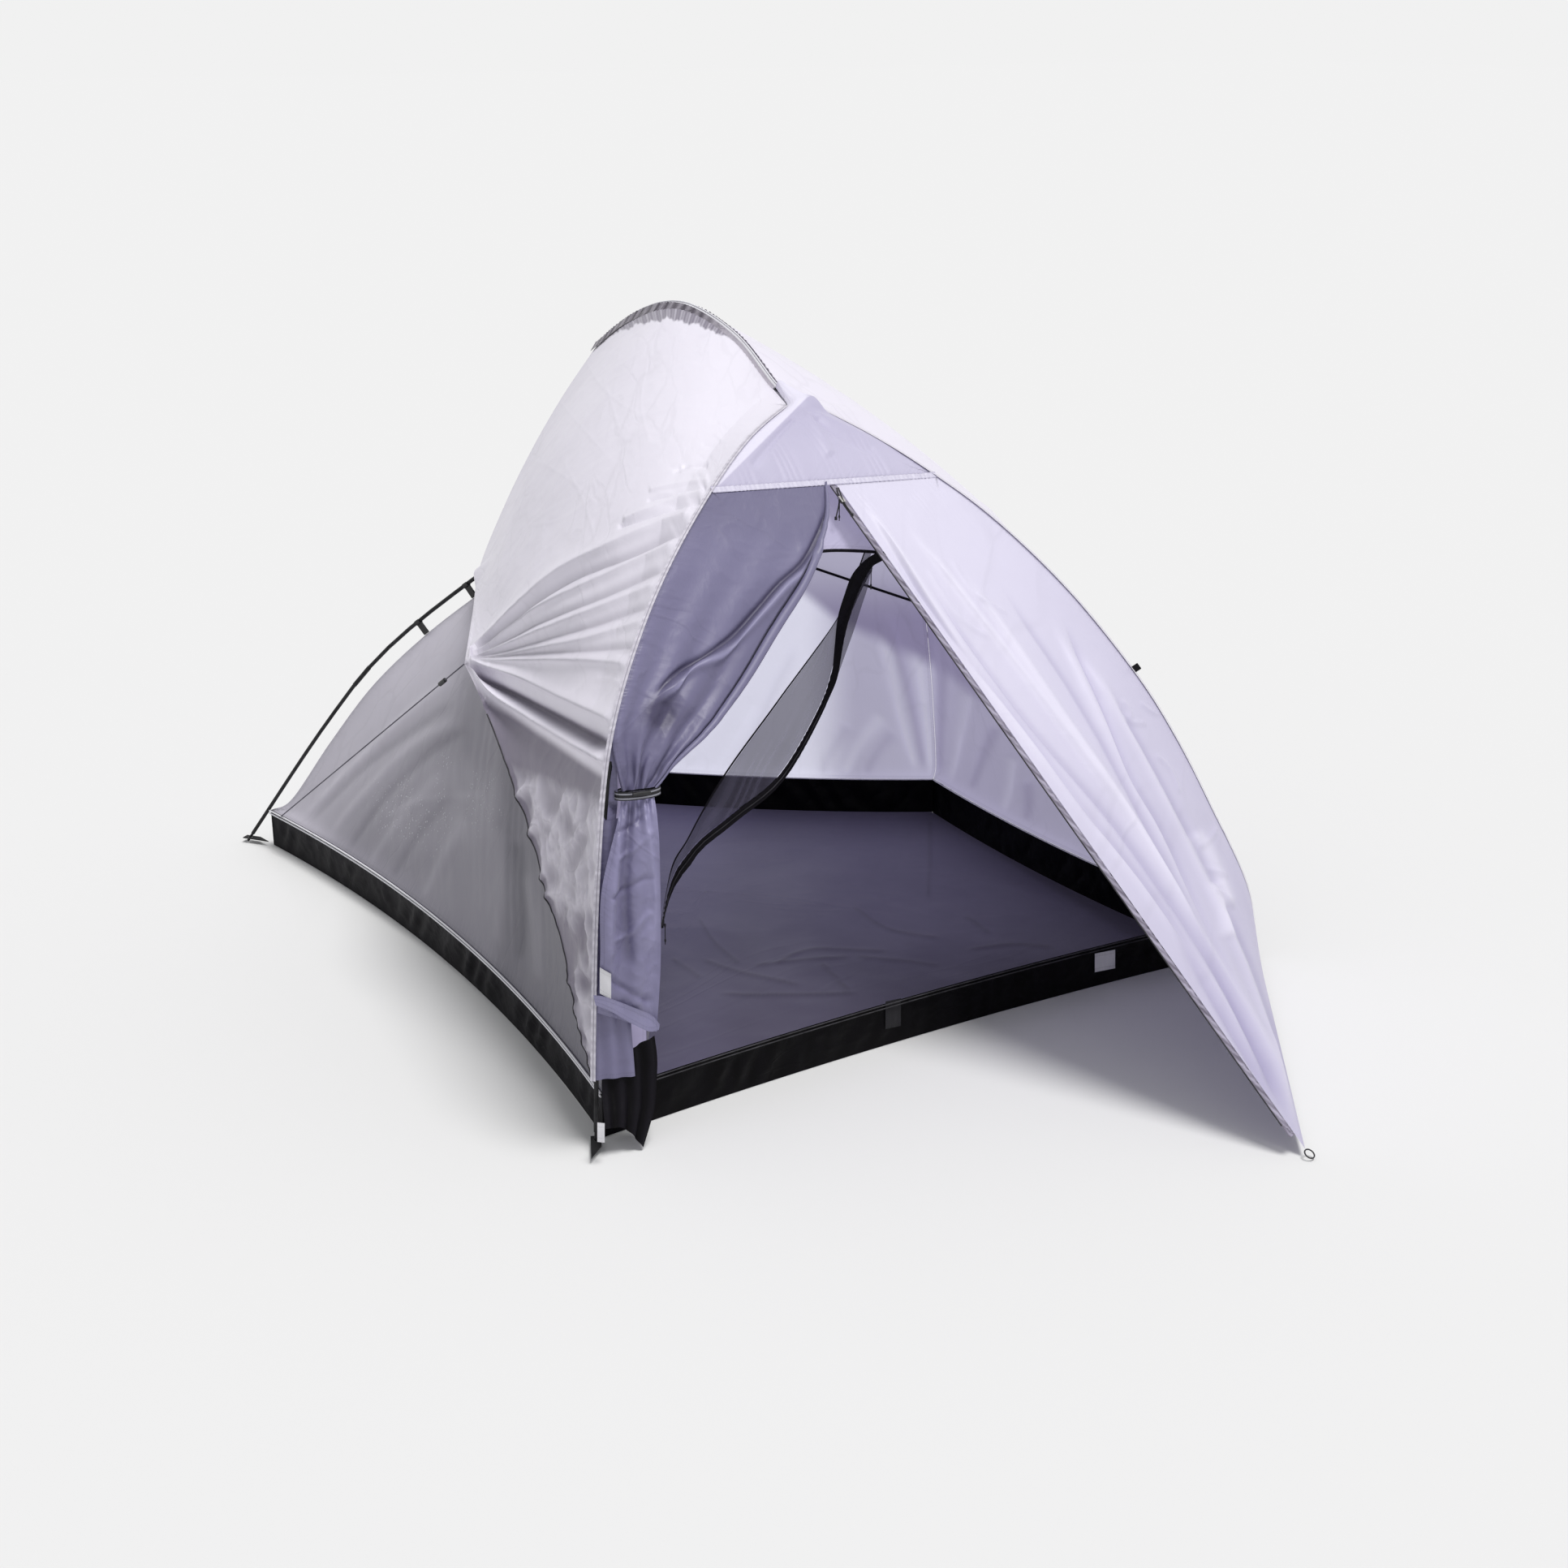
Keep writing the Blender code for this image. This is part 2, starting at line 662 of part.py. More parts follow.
def build_inner(side, inner, hub, ridge, back, skins):
    """The inner tent's walls, from the bathtub's top edge to the poles; gives the door side's four edges."""
    sill = {name: inset_side(line, BATHTUB_THICK / 2) + (0, 0, BATHTUB_HEIGHT) for name, line in side.items()}
    edge = {}
    for name, line in inner.items():
        upper = trimmed(line, hub, INNER_TRIM)
        edge[name] = upper[upper[:, 2] > BATHTUB_HEIGHT + INNER_SEAM_START]
    ridge_inner = raised(ridge, back, -INNER_DROP)
    ridge_inner = ridge_inner[(ridge_inner - hub) @ back > INNER_TRIM]
    peak = ridge_inner[-1]

    def up(name, base):
        return smooth([base, *evenly(edge[name], 9)])

    def short(first, second):
        return evenly([first, second], 41)

    corner = {
        "front_left": sill["front"][0],
        "front_right": sill["front"][-1],
        "right_rear": sill["right"][-1],
        "back": sill["rear_right"][-1],
        "left_rear": sill["rear_left"][-1],
    }
    rise = {name: up(name, corner[name]) for name in edge}
    beside = np.array((back[1], -back[0], 0)) * RIDGE_HALF
    over = smooth([rise["left_rear"][-1], *evenly(ridge_inner - beside, 7)])
    over_right = smooth([rise["right_rear"][-1], *evenly(ridge_inner + beside, 7)])
    crease_left = hollow(corner["back"], over[-1], CREASE_BOW * unit((hub - peak) * (1, 1, 0)))
    crease_right = hollow(corner["back"], over_right[-1], CREASE_BOW * unit((hub - peak) * (1, 1, 0)))
    walls = {
        "inner_wall_left": (
            evenly(sill["left"][::-1], 41),
            rise["left_rear"],
            short(rise["front_left"][-1], rise["left_rear"][-1]),
            rise["front_left"],
        ),
        "inner_wall_right": (
            evenly(sill["right"], 41),
            rise["right_rear"],
            short(rise["front_right"][-1], rise["right_rear"][-1]),
            rise["front_right"],
        ),
        "inner_wall_rear_right": (
            evenly(sill["rear_right"], 41),
            crease_right,
            over_right,
            rise["right_rear"],
        ),
        "inner_wall_rear_left": (evenly(sill["rear_left"], 41), rise["left_rear"], over[::-1], crease_left),
    }
    for name, edges in walls.items():
        grid, u, v = grid_of(edges, 12, 12)
        sag = WALL_SAG * np.sin(math.pi * u) * np.sin(math.pi * v)
        sheet_solid(name, folded(grid, -sag * outward_sign(grid, hub)), INNER_THICK, skins["inner"])
    return (
        evenly(sill["front"], 41),
        rise["front_right"],
        short(rise["front_left"][-1], rise["front_right"][-1]),
        rise["front_left"],
    )


def inside_of(hub):
    """A place in the middle of the tent, under its hub."""
    return hub * (1, 1, 0.4)


def outward_sign(grid, hub):
    """1 where the grid's normals point away from the middle of the tent, otherwise -1."""
    middle = inside_of(hub) - grid[grid.shape[0] // 2, grid.shape[1] // 2]
    normal = normals_of(grid)[grid.shape[0] // 2, grid.shape[1] // 2]
    return 1 if normal @ middle < 0 else -1


def build_front(front, skins):
    """The inner tent's door side: a surround at each leg, and a piece above the door's arched top."""
    shares = np.linspace(0, 1, 200)
    middle = patch(*front)(np.full(200, 0.5), shares)
    top = np.interp(DOOR_TOP_HEIGHT, middle[:, 2], shares)
    for name, first, last in (("left", 0, DOOR_SURROUND), ("right", 1 - DOOR_SURROUND, 1)):
        grid, _, _ = grid_of(front, 14, 3, first=first, last=last)
        sheet_solid("inner_front_" + name, grid, INNER_THICK, skins["inner"])
    u = np.linspace(DOOR_SURROUND, 1 - DOOR_SURROUND, 15)[None, :]
    arch = top - ARCH_DROP * np.abs(2 * u - 1) ** 3
    grid, _, _ = grid_of(front, 7, 15, low=arch, first=DOOR_SURROUND, last=1 - DOOR_SURROUND)
    sheet_solid("inner_front_top", grid, INNER_THICK, skins["inner"])
    surround = patch(*front)(np.full(200, DOOR_SURROUND), shares)
    return surround + (GAP, 0, 0), grid[0] - (0, 0, GAP)


def build_poles(leg, hub, ridge, skins):
    """Each leg in its sections, each section's outer end swelling into a ferrule, and their hub."""
    built = {}
    for name, sections in (("front_left", 2), ("left_rear", 3), ("front_right", 2), ("right_rear", 2)):
        built[name] = []
        line = leg[name][np.linalg.norm(leg[name] - hub, axis=1) > SOCKET_REACH + END_GAP]
        mouth = hub + (SOCKET_REACH + END_GAP) * unit(line[-1] - hub)
        line = evenly(np.vstack([line, mouth]), 400)
        along = np.concatenate([[0], np.cumsum(np.linalg.norm(np.diff(line, axis=0), axis=1))])
        for i in range(sections):
            low = along[-1] * i / sections + (END_GAP if i else 0)
            high = along[-1] * (i + 1) / sections
            steps = list(np.linspace(low, high, POLE_STEPS))
            radii = [POLE_RADIUS] * POLE_STEPS
            if i == 0:
                steps = [low, low + TIP_LENGTH - GAP, low + TIP_LENGTH] + steps[1:]
                radii = [TIP_RADIUS, TIP_RADIUS, POLE_RADIUS] + radii[1:]
            if i < sections - 1:
                swell = [high - FERRULE_LENGTH, high - FERRULE_LENGTH + GAP, high]
                kept = [k for k, step in enumerate(steps) if step < swell[0] - GAP]
                steps = [steps[k] for k in kept] + swell
                radii = [radii[k] for k in kept] + [POLE_RADIUS, FERRULE_RADIUS, FERRULE_RADIUS]
            points = np.stack([np.interp(steps, along, line[:, k]) for k in range(3)], axis=1)
            tube(f"pole_{name}_{i + 1}", points, POLE_RADIUS, skins["pole"], radii)
            built[name].append(points)
    line = ridge[np.linalg.norm(ridge - hub, axis=1) > SOCKET_REACH + END_GAP]
    mouth = hub + (SOCKET_REACH + END_GAP) * unit(line[0] - hub)
    crest = evenly(np.vstack([mouth, line]), 2 * POLE_STEPS)
    tube("pole_ridge", crest, POLE_RADIUS, skins["pole"])
    sleeved = crest[1:]
    sleeved = np.vstack([sleeved, sleeved[-1] + SLEEVE_OVERHANG * unit(sleeved[-1] - sleeved[-2])])
    bore = POLE_RADIUS + SLEEVE_PLAY
    hollow_tube("fly_crown_sleeve", sleeved, bore, bore + SLEEVE_WALL, skins["fly"])
    ends = [leg[name] for name in leg] + [ridge[::-1]]
    build_hub(hub, ends, skins)
    return {name: np.vstack(parts) for name, parts in built.items()}


def build_hub(hub, ends, skins):
    """A flat round hub with a socket for each pole, joined into one solid."""
    bpy.ops.mesh.primitive_cylinder_add(vertices=16, radius=HUB_RADIUS, depth=HUB_THICK, location=hub)
    made = bpy.context.object
    made.name = "pole_hub"
    made.data.materials.append(skins["plastic"])
    for i, line in enumerate(ends):
        near = line[np.linalg.norm(line - hub, axis=1) > SOCKET_REACH][-1]
        out = unit(near - hub)
        ends = [hub, hub + SOCKET_REACH * out]
        socket = tube(f"socket_{i}", ends, SOCKET_RADIUS, skins["plastic"], round_steps=1)
        helper = bpy.data.objects.new(f"socket_shape_{i}", bpy.data.meshes.new_from_object(socket))
        bpy.context.scene.collection.objects.link(helper)
        bpy.data.objects.remove(socket)
        helper.hide_render = True
        helper.display_type = "WIRE"
        union = made.modifiers.new(f"socket_{i}", "BOOLEAN")
        union.operation = "UNION"
        union.object = helper
    return made


def fly_edges(fly, hub, ridge, back):
    """The edges that the fly's panels share."""
    beside = np.array((back[1], -back[0], 0)) * (POLE_RADIUS + SLEEVE_PLAY + SLEEVE_WALL)
    crest = ridge[(ridge - hub) @ back > SLEEVE_START]
    legs = {name: trimmed(line, hub, HUB_TRIM) for name, line in fly.items()}
    peg = at(PEG_X, -PEG_FORWARD, PEG_HEIGHT)
    edge = {"left_leg": legs["front_left"], "right_leg": legs["front_right"], "peg": peg}
    edge["left_pull"] = at(LEFT_PULL_X, LEFT_PULL_Y, LEFT_PULL_HEIGHT)
    edge["right_pull"] = at(FLOOR_WIDTH - RIGHT_PULL_OUT, RIGHT_PULL_Y, RIGHT_PULL_HEIGHT)
    edge["left_over_hub"] = evenly([legs["front_left"][-1], crest[0] - beside], 9)
    edge["right_over_hub"] = evenly([legs["front_right"][-1], crest[0] + beside], 9)
    edge["ridge_left"] = np.vstack([edge["left_over_hub"], evenly(crest - beside, 27)[1:]])
    edge["ridge_right"] = np.vstack([edge["right_over_hub"], evenly(crest + beside, 27)[1:]])
    left_top = between(legs["front_left"], SEAM_HEIGHT_LEFT, legs["front_left"][-1][2] - GAP)
    right_top = between(legs["front_right"], SEAM_HEIGHT_RIGHT, legs["front_right"][-1][2] - GAP)
    edge["porch_left"] = np.vstack([left_top, edge["left_over_hub"][1:]])
    edge["porch_right"] = np.vstack([right_top, edge["right_over_hub"][1:]])
    edge["gathered"] = evenly([left_top[0], right_top[0]], 41)
    edge["zip_top"] = edge["gathered"][int(round(ZIP_SHARE * 40))]
    edge["zip"] = evenly([peg, edge["zip_top"]], 41)
    return edge


def hood(name, seam, pull, over_pole, crest, pole, hub, mirrored, skins):
    """One side of the hood, from the front leg over the rear leg to the corner that the cord pulls out."""
    hem = hollow(seam[0], pull, HEM_HOLLOW * np.array((0, 0, 1)))
    chord = unit(crest[-1] - over_pole)
    out = (over_pole + crest[-1]) / 2 - inside_of(hub)
    out = unit(out - chord * (out @ chord))
    rise = hollow(over_pole, crest[-1], REAR_BULGE * out, 5)[1:]
    rear = smooth([pull, (pull + over_pole) / 2, over_pole, *rise])
    edges = (hem[::-1], seam, crest[::-1], rear) if mirrored else (hem, rear, crest, seam)
    grid, u, v = grid_of(edges, 18, 18)
    from_seam = 1 - u if mirrored else u
    towards = unit((hub - pole[0]) * (1, 1, 0))
    grid = lift_over(grid, pole, towards, FLY_LIFT, np.clip(from_seam * 8, 0, 1))
    pleats = PULL_FOLD * np.sin(PULL_FOLDS * math.pi * v) * (1 - v) ** 2 * np.sin(math.pi * u)
    sheet_solid(name, folded(grid, pleats), FLY_THICK, skins["fly"])


def build_fly(edge, fly, leg, hub, ridge, back, skins):
    """The hood's two sides, the porch's top panel and its two doors."""
    for name, front, rear, pull, crossing, mirrored in (
        ("left", "left_leg", "left_rear", "left_pull", LEFT_CROSSING, False),
        ("right", "right_leg", "right_rear", "right_pull", RIGHT_CROSSING, True),
    ):
        seam = between(edge[front], FLY_HEM_HEIGHT, edge[front][-1][2] - GAP)
        over_pole = between(fly[rear], crossing, crossing + FLY_LIFT)[0]
        crest = edge["ridge_" + name]
        hood("fly_hood_" + name, seam, edge[pull], over_pole, crest, leg[rear], hub, mirrored, skins)

    top = evenly([edge["porch_left"][-1], edge["porch_right"][-1]], 41)
    top = top + np.array((0, 0, SLEEVE_RISE)) * np.sin(math.pi * np.linspace(0, 1, 41))[:, None]
    grid, u, _ = grid_of((edge["gathered"], edge["porch_right"], top, edge["porch_left"]), 13, 13)
    start = ridge[(ridge - hub) @ back < SLEEVE_START + HUB_COVER_PAST]
    near = np.vstack([hub - HUB_COVER_BEFORE * back, hub, start])
    inside = np.clip(6 * np.minimum(u, 1 - u), 0, 1)
    grid = lift_over(grid, evenly(near, 40), back, HUB_COVER, inside, HUB_RADIUS, HUB_COVER_REACH)
    sheet_solid("fly_porch_top", grid, FLY_THICK, skins["fly"])

    split = int(round(ZIP_SHARE * 40))
    right_low = between(edge["right_leg"], DOOR_HEM_HEIGHT, SEAM_HEIGHT_RIGHT)
    hem = evenly([edge["peg"], right_low[0]], 41)
    grid, u, v = grid_of((hem, right_low, evenly(edge["gathered"][split:], 41), edge["zip"]), 20, 17)
    pleats = DOOR_FOLD * np.sin(DOOR_FOLDS * math.pi * u) * (1 - v) ** 2 * np.sin(math.pi * u)
    grid = folded(grid, pleats)
    edge["tip"] = grid[0, 0]
    sheet_solid("fly_door_right", grid, FLY_THICK, skins["fly"])
    build_tied_door(edge, skins)


def build_tied_door(edge, skins):
    """The left porch door drawn to the tie, its free edge rolled, and the pieces that hang below the tie."""
    shift = unit(edge["gathered"][0] - edge["gathered"][-1]) * ZIP_CLEAR
    middle = at(TIE_X, TIE_Y, TIE_HEIGHT)
    across = unit(np.array((TIE_WIDTH, -BUNDLE_DEPTH, 0)))
    tie_left = middle - across * TIE_WIDTH / 2
    tie_right = middle + across * TIE_WIDTH / 2
    seam = between(edge["left_leg"], TIE_HEIGHT + DOOR_SEAM_START, SEAM_HEIGHT_LEFT)
    left = smooth([tie_left, *evenly(seam, 7)])
    free = smooth([tie_right, *[at(*p) for p in DOOR_FREE_EDGE], edge["zip_top"] + shift])
    bottom = evenly([tie_left, tie_right], 41)
    top = evenly([edge["gathered"][0], edge["zip_top"] + shift], 41)
    grid, u, v = grid_of((bottom, free, top, left), 16, 20)
    pleats = BUNDLE_FOLD * np.sin(DOOR_PLEATS * math.pi * u) * (1 - v) ** 1.5
    grid = folded(grid, pleats)
    normals = normals_of(grid)
    outward = np.sign(normals[8, 10] @ (middle - inside_of(at(HUB_X, HUB_Y, HUB_HEIGHT))))
    radius = ROLL_TIP_RADIUS + (ROLL_RADIUS - ROLL_TIP_RADIUS) * np.sin(math.pi * v[:, -1:])
    beyond = unit_rows(grid[:, -1] - grid[:, -2])
    curl = []
    for turn in np.radians(np.arange(40, 281, 40)):
        lift = (1 - math.cos(turn)) * outward * normals[:, -1] * radius
        curl.append(grid[:, -1] + math.sin(turn) * radius * beyond + lift)
    rolled = np.concatenate([grid, np.stack(curl, axis=1)], axis=1)
    sheet_solid("fly_door_left", rolled, FLY_THICK, skins["fly"])

    below = np.array((0, 0, -END_GAP - 2 * SEAM))
    left = smooth([*[at(*p) for p in TAIL_LEFT_EDGE], tie_left + below])
    right = smooth([*[at(*p) for p in TAIL_RIGHT_EDGE], tie_right + below])
    bottom, top = evenly([left[0], right[0]], 41), evenly([left[-1], right[-1]], 41)
    grid, u, v = grid_of((bottom, right, top, left), 14, 14)
    hang = np.sin(math.pi * np.clip(v + TAIL_WAVE_START, 0, 1))
    waves = BUNDLE_FOLD * np.sin(TAIL_WAVES * math.pi * u) * hang
    sheet_solid("fly_door_left_tail", folded(grid, waves), FLY_THICK, skins["fly"])

    left = between(edge["left_leg"], FLY_HEM_HEIGHT, STRIP_RIGHT_EDGE[-1][2])
    right = smooth([at(*p) for p in STRIP_RIGHT_EDGE])
    bottom, top = evenly([left[0], right[0]], 41), evenly([left[-1], right[-1]], 41)
    grid, _, _ = grid_of((bottom, right, top, left), 10, 5)
    sheet_solid("fly_front_left_strip", grid, FLY_THICK, skins["fly"])

    left = smooth([at(*p) for p in FLAP_LEFT_EDGE])
    right = smooth([at(*p) for p in FLAP_RIGHT_EDGE])
    hem = smooth([at(*p) for p in FLAP_HEM])
    grid, _, _ = grid_of((hem, right, evenly([left[-1], right[-1]], 41), left), 9, 8)
    sheet_solid("door_tip_flap", grid, FLY_THICK, skins["webbing"])

    build_tie(middle, across, skins)


def build_tie(middle, across, skins):
    """The strap around the gathered door and the toggle that holds it."""
    inward = np.array((-across[1], across[0], 0))
    half_long = TIE_WIDTH / 2 + STRAP_CLEAR
    half_short = BUNDLE_DEPTH + STRAP_CLEAR / 2
    centre = middle - (0, 0, STRAP_HEIGHT / 3)
    band = (centre, across, inward, half_long, half_short, STRAP_HEIGHT, WEBBING_THICK)
    oval_band("tieback_strap", *band, skins["webbing"])
    front = middle - (half_short + WEBBING_THICK + TOGGLE_RADIUS + TOGGLE_PLAY) * inward
    ends = [front - across * TOGGLE_LENGTH / 2, front, front + across * TOGGLE_LENGTH / 2]
    radii = [TOGGLE_END_RADIUS, TOGGLE_RADIUS, TOGGLE_END_RADIUS]
    tube("tieback_toggle", ends, TOGGLE_RADIUS, skins["plastic"], radii, origin=front)


def build_mesh_door(surround, arch, skins):
    """The mesh door, drawn to the left between the surround and the arch, and the zip on its lower edge."""
    hung = int(round(MESH_ARCH_SHARE * (len(arch) - 1)))
    seats = [surround[np.searchsorted(surround[:, 2], height)] for height in MESH_SEATS]
    upper = smooth([seats[1], *[at(*p) for p in MESH_UPPER_EDGE], arch[hung]])
    lower = smooth([seats[0], *[at(*p) for p in MESH_LOWER_EDGE], arch[hung + 1]])
    at_arch, at_seat = evenly([lower[-1], upper[-1]], 41), evenly([lower[0], upper[0]], 41)
    grid, _, _ = grid_of((lower, at_arch, upper, at_seat), 6, 24)
    sheet_solid("inner_mesh_door", grid, INNER_THICK, skins["mesh"])
    first, last = (int(round(share * BAND_STEPS)) for share in BAND_SPAN)
    line = evenly(lower, BAND_STEPS)[first:last]
    down = unit_rows(line - evenly(upper, BAND_STEPS)[first:last])
    along = unit_rows(np.gradient(line, axis=0))
    down = unit_rows(down - along * (down * along).sum(axis=1)[:, None])
    rows = [line + down * step for step in (GAP, BAND_WIDTH / 2, BAND_WIDTH)]
    band = np.stack(rows)
    sheet_solid("inner_door_zip_tape", band, ZIP_THICK, skins["webbing"])
    for name, end, way in (("lower", 0, -along[0]), ("upper", -1, along[-1])):
        seat = band[1, end] + way * (SLIDER_LENGTH / 2 + 2 * GAP)
        square = unit(np.cross(way, down[end]))
        axes, sizes = (down[end], square, way), (SLIDER_WIDTH, SLIDER_THICK, SLIDER_LENGTH)
        block(f"inner_zip_slider_{name}", seat, axes, sizes, skins["plastic"])
        front = square if square[1] < 0 else -square
        hang = seat + front * (SLIDER_THICK / 2 + KNOT_RADIUS)
        pull_cord(f"inner_zip_pull_{name}", hang, skins)


def pull_cord(name, top, skins):
    """A thin knotted cord hanging from a slider."""
    steps = (0, 0.1, 0.2, 0.72, 0.78, 0.84, 0.9, 1)
    knots = (0, 1, 4, 5)
    radii = [KNOT_RADIUS if k in knots else PULL_RADIUS for k in range(len(steps))]
    points = [top - np.array((0, 0, PULL_LENGTH * step)) for step in steps]
    tube(name, points, PULL_RADIUS, skins["cord"], radii, round_steps=1, origin=top)


def build_fly_zip(edge, skins):
    """The fly's straight zip tape on the right door's edge, and the slider that runs on it."""
    along = unit(edge["zip"][-1] - edge["zip"][0])
    aside = edge["gathered"][0] - edge["gathered"][-1]
    aside = unit(aside - along * (aside @ along))
    line = evenly(edge["zip"], 12)
    line[0] += along * ZIP_FOOT
    line[-1] -= along * SEAM
    grid = np.stack([line + aside * step for step in (GAP, ZIP_WIDTH / 2, ZIP_WIDTH)])
    sheet_solid("fly_zip_tape", grid, ZIP_THICK, skins["webbing"])
    up = np.cross(along, aside)
    play = SLIDER_PLAY
    inner_high = ZIP_THICK / 2 + play
    outer_high = inner_high + SLIDER_WALL
    low = ZIP_WIDTH - SLIDER_WIDTH + 2 * SLIDER_WALL
    rim = ZIP_WIDTH + play
    back = rim + SLIDER_WALL
    outline = ((low, -outer_high), (back, -outer_high), (back, outer_high), (low, outer_high))
    outline += ((low, inner_high), (rim, inner_high), (rim, -inner_high), (low, -inner_high))
    centre = edge["zip_top"] - along * ZIP_OPEN_AT
    prism("fly_zip_slider", outline, centre, aside, up, SLIDER_LENGTH, skins["plastic"], origin=centre)
    outside = up if up[2] > 0 else -up
    hang = centre + aside * (back + KNOT_RADIUS + END_GAP) + outside * outer_high
    pull_cord("fly_zip_pull", hang, skins)


def guy_cord(name, start, end, skins):
    """A taut cord from a corner of the fly to the tent's foot, with its line adjuster."""
    way = unit(end - start)
    start = start + way * CORD_CLEAR
    end = end - way * GAP
    tube("guy_cord_" + name, evenly([start, end], CORD_STEPS), CORD_RADIUS, skins["cord"])
    seat = start + way * ADJUSTER_FROM_PULL
    ends = [seat - way * ADJUSTER_LENGTH / 2, seat + way * ADJUSTER_LENGTH / 2]
    radii = (CORD_RADIUS + CORD_PLAY, ADJUSTER_RADIUS)
    hollow_tube("guy_adjuster_" + name, ends, *radii, skins["plastic"], 12, seat)


def hook_clip(name, line, towards, height, skins):
    """A clip around a pole, its stem reaching down to the inner tent."""
    dense = evenly(line, 600)
    nearest = int(np.argmin(abs(dense[:, 2] - height)))
    along = unit(dense[nearest + 1] - dense[nearest - 1])
    up = unit(raised(dense, towards, 1)[nearest] - dense[nearest])
    across = np.cross(up, along)
    bore = POLE_RADIUS + CLIP_PLAY
    rim = bore + CLIP_WALL
    half = CLIP_STEM / 2
    start = math.degrees(math.asin(half / rim))
    outer = np.radians(np.linspace(-90 + start, 90 - CLIP_MOUTH, 8))
    inner = np.radians(np.linspace(90 - CLIP_MOUTH, -270 + CLIP_MOUTH, 14))
    far = np.radians(np.linspace(90 + CLIP_MOUTH, 270 - start, 8))
    low = -(INNER_DROP - INNER_THICK)
    outline = [(half, low)]
    outline += [(rim * math.cos(t), rim * math.sin(t)) for t in outer]
    outline += [(bore * math.cos(t), bore * math.sin(t)) for t in inner]
    outline += [(rim * math.cos(t), rim * math.sin(t)) for t in far]
    outline += [(-half, low)]
    prism(name, outline, dense[nearest], across, up, CLIP_WIDTH, skins["plastic"], origin=dense[nearest])


def build_fittings(corner, floor_side, poles, foot, hub, edge, skins):
    """Corner webbing, clips, guy cords, the side tab and the peg loop."""
    for name in foot:
        out = unit((corner[name] - hub) * (1, 1, 0))
        reach = TAB_OUTER
        if name == "front_left":
            out = unit(np.array((*FRONT_LEFT_TAB, 0)))
        elif name in ("front_right", "left_rear"):
            out, reach = -out, STRAP_TO_CORNER
        side = np.array((-out[1], out[0], 0))
        pole = poles[name]
        centre = np.array([np.interp(TAB_HEIGHT, pole[:3, 2], pole[:3, k]) for k in range(3)])
        rise = unit(pole[1] - pole[0])[2]
        lean = math.sqrt(1 - rise**2) * WEBBING_THICK / 2
        hole = (TIP_RADIUS + EYELET_PLAY + lean) / rise / math.cos(math.pi / 16)
        plate = (reach, TAB_INNER, WEBBING_WIDTH / 2, hole, WEBBING_THICK)
        eyelet_plate(f"corner_tab_{name}", centre, out, side, *plate, skins["webbing"])
    inward = {name: unit((hub - foot[name]) * (1, 1, 0)) for name in foot}
    for name, heights in (
        ("left_rear", LEFT_REAR_CLIPS),
        ("right_rear", RIGHT_REAR_CLIPS),
        ("front_left", [FRONT_LEFT_CLIP]),
        ("front_right", [FRONT_RIGHT_CLIP]),
    ):
        for i, height in enumerate(heights):
            hook_clip(f"hook_clip_{name}_{i + 1}", poles[name], inward[name], height, skins)
    on_rim = evenly(floor_side["left"], 81)[int(round(CORD_END_SHARE * 80))]
    on_rim = on_rim + (-CORD_RADIUS - END_GAP, 0, BATHTUB_HEIGHT - WEBBING_WIDTH / 2)
    guy_cord("left", edge["left_pull"], on_rim, skins)
    beyond = foot["right_rear"] + unit(foot["right_rear"] - corner["right_rear"]) * TAB_OUTER / 2
    lie = TAB_HEIGHT + WEBBING_THICK / 2 + CORD_RADIUS + GAP
    guy_cord("right", edge["right_pull"], beyond * (1, 1, 0) + (0, 0, lie), skins)

    line = edge["right_leg"]
    nearest = int(np.argmin(abs(line[:, 2] - SIDE_TAB_HEIGHT)))
    along = unit(line[nearest + 1] - line[nearest - 1])
    up = unit(raised(line, inward["front_right"], 1)[nearest] - line[nearest])
    root = line[nearest] + up * FLY_THICK / 2
    axes, sizes = (along, np.cross(up, along), up), (SIDE_TAB_LENGTH, WEBBING_THICK, SIDE_TAB_LENGTH)
    block("side_guy_tab", root + up * SIDE_TAB_LENGTH / 2, axes, sizes, skins["webbing"], origin=root)

    forward = unit((edge["peg"] - hub) * (1, 1, 0))
    side = np.array((-forward[1], forward[0], 0))
    lean = unit(forward * PEG_LOOP_RUN - np.array((0, 0, PEG_HEIGHT - 2 * CORD_RADIUS)))
    ring = edge["tip"] + lean * (PEG_LOOP_RADIUS + CORD_RADIUS + END_GAP)
    turns = np.linspace(0, 2 * math.pi, 20, endpoint=False)
    loop = [ring + PEG_LOOP_RADIUS * (math.cos(t) * lean + math.sin(t) * side) for t in turns]
    tube("front_peg_loop", loop, CORD_RADIUS, skins["webbing"], round_steps=1, cyclic=True)


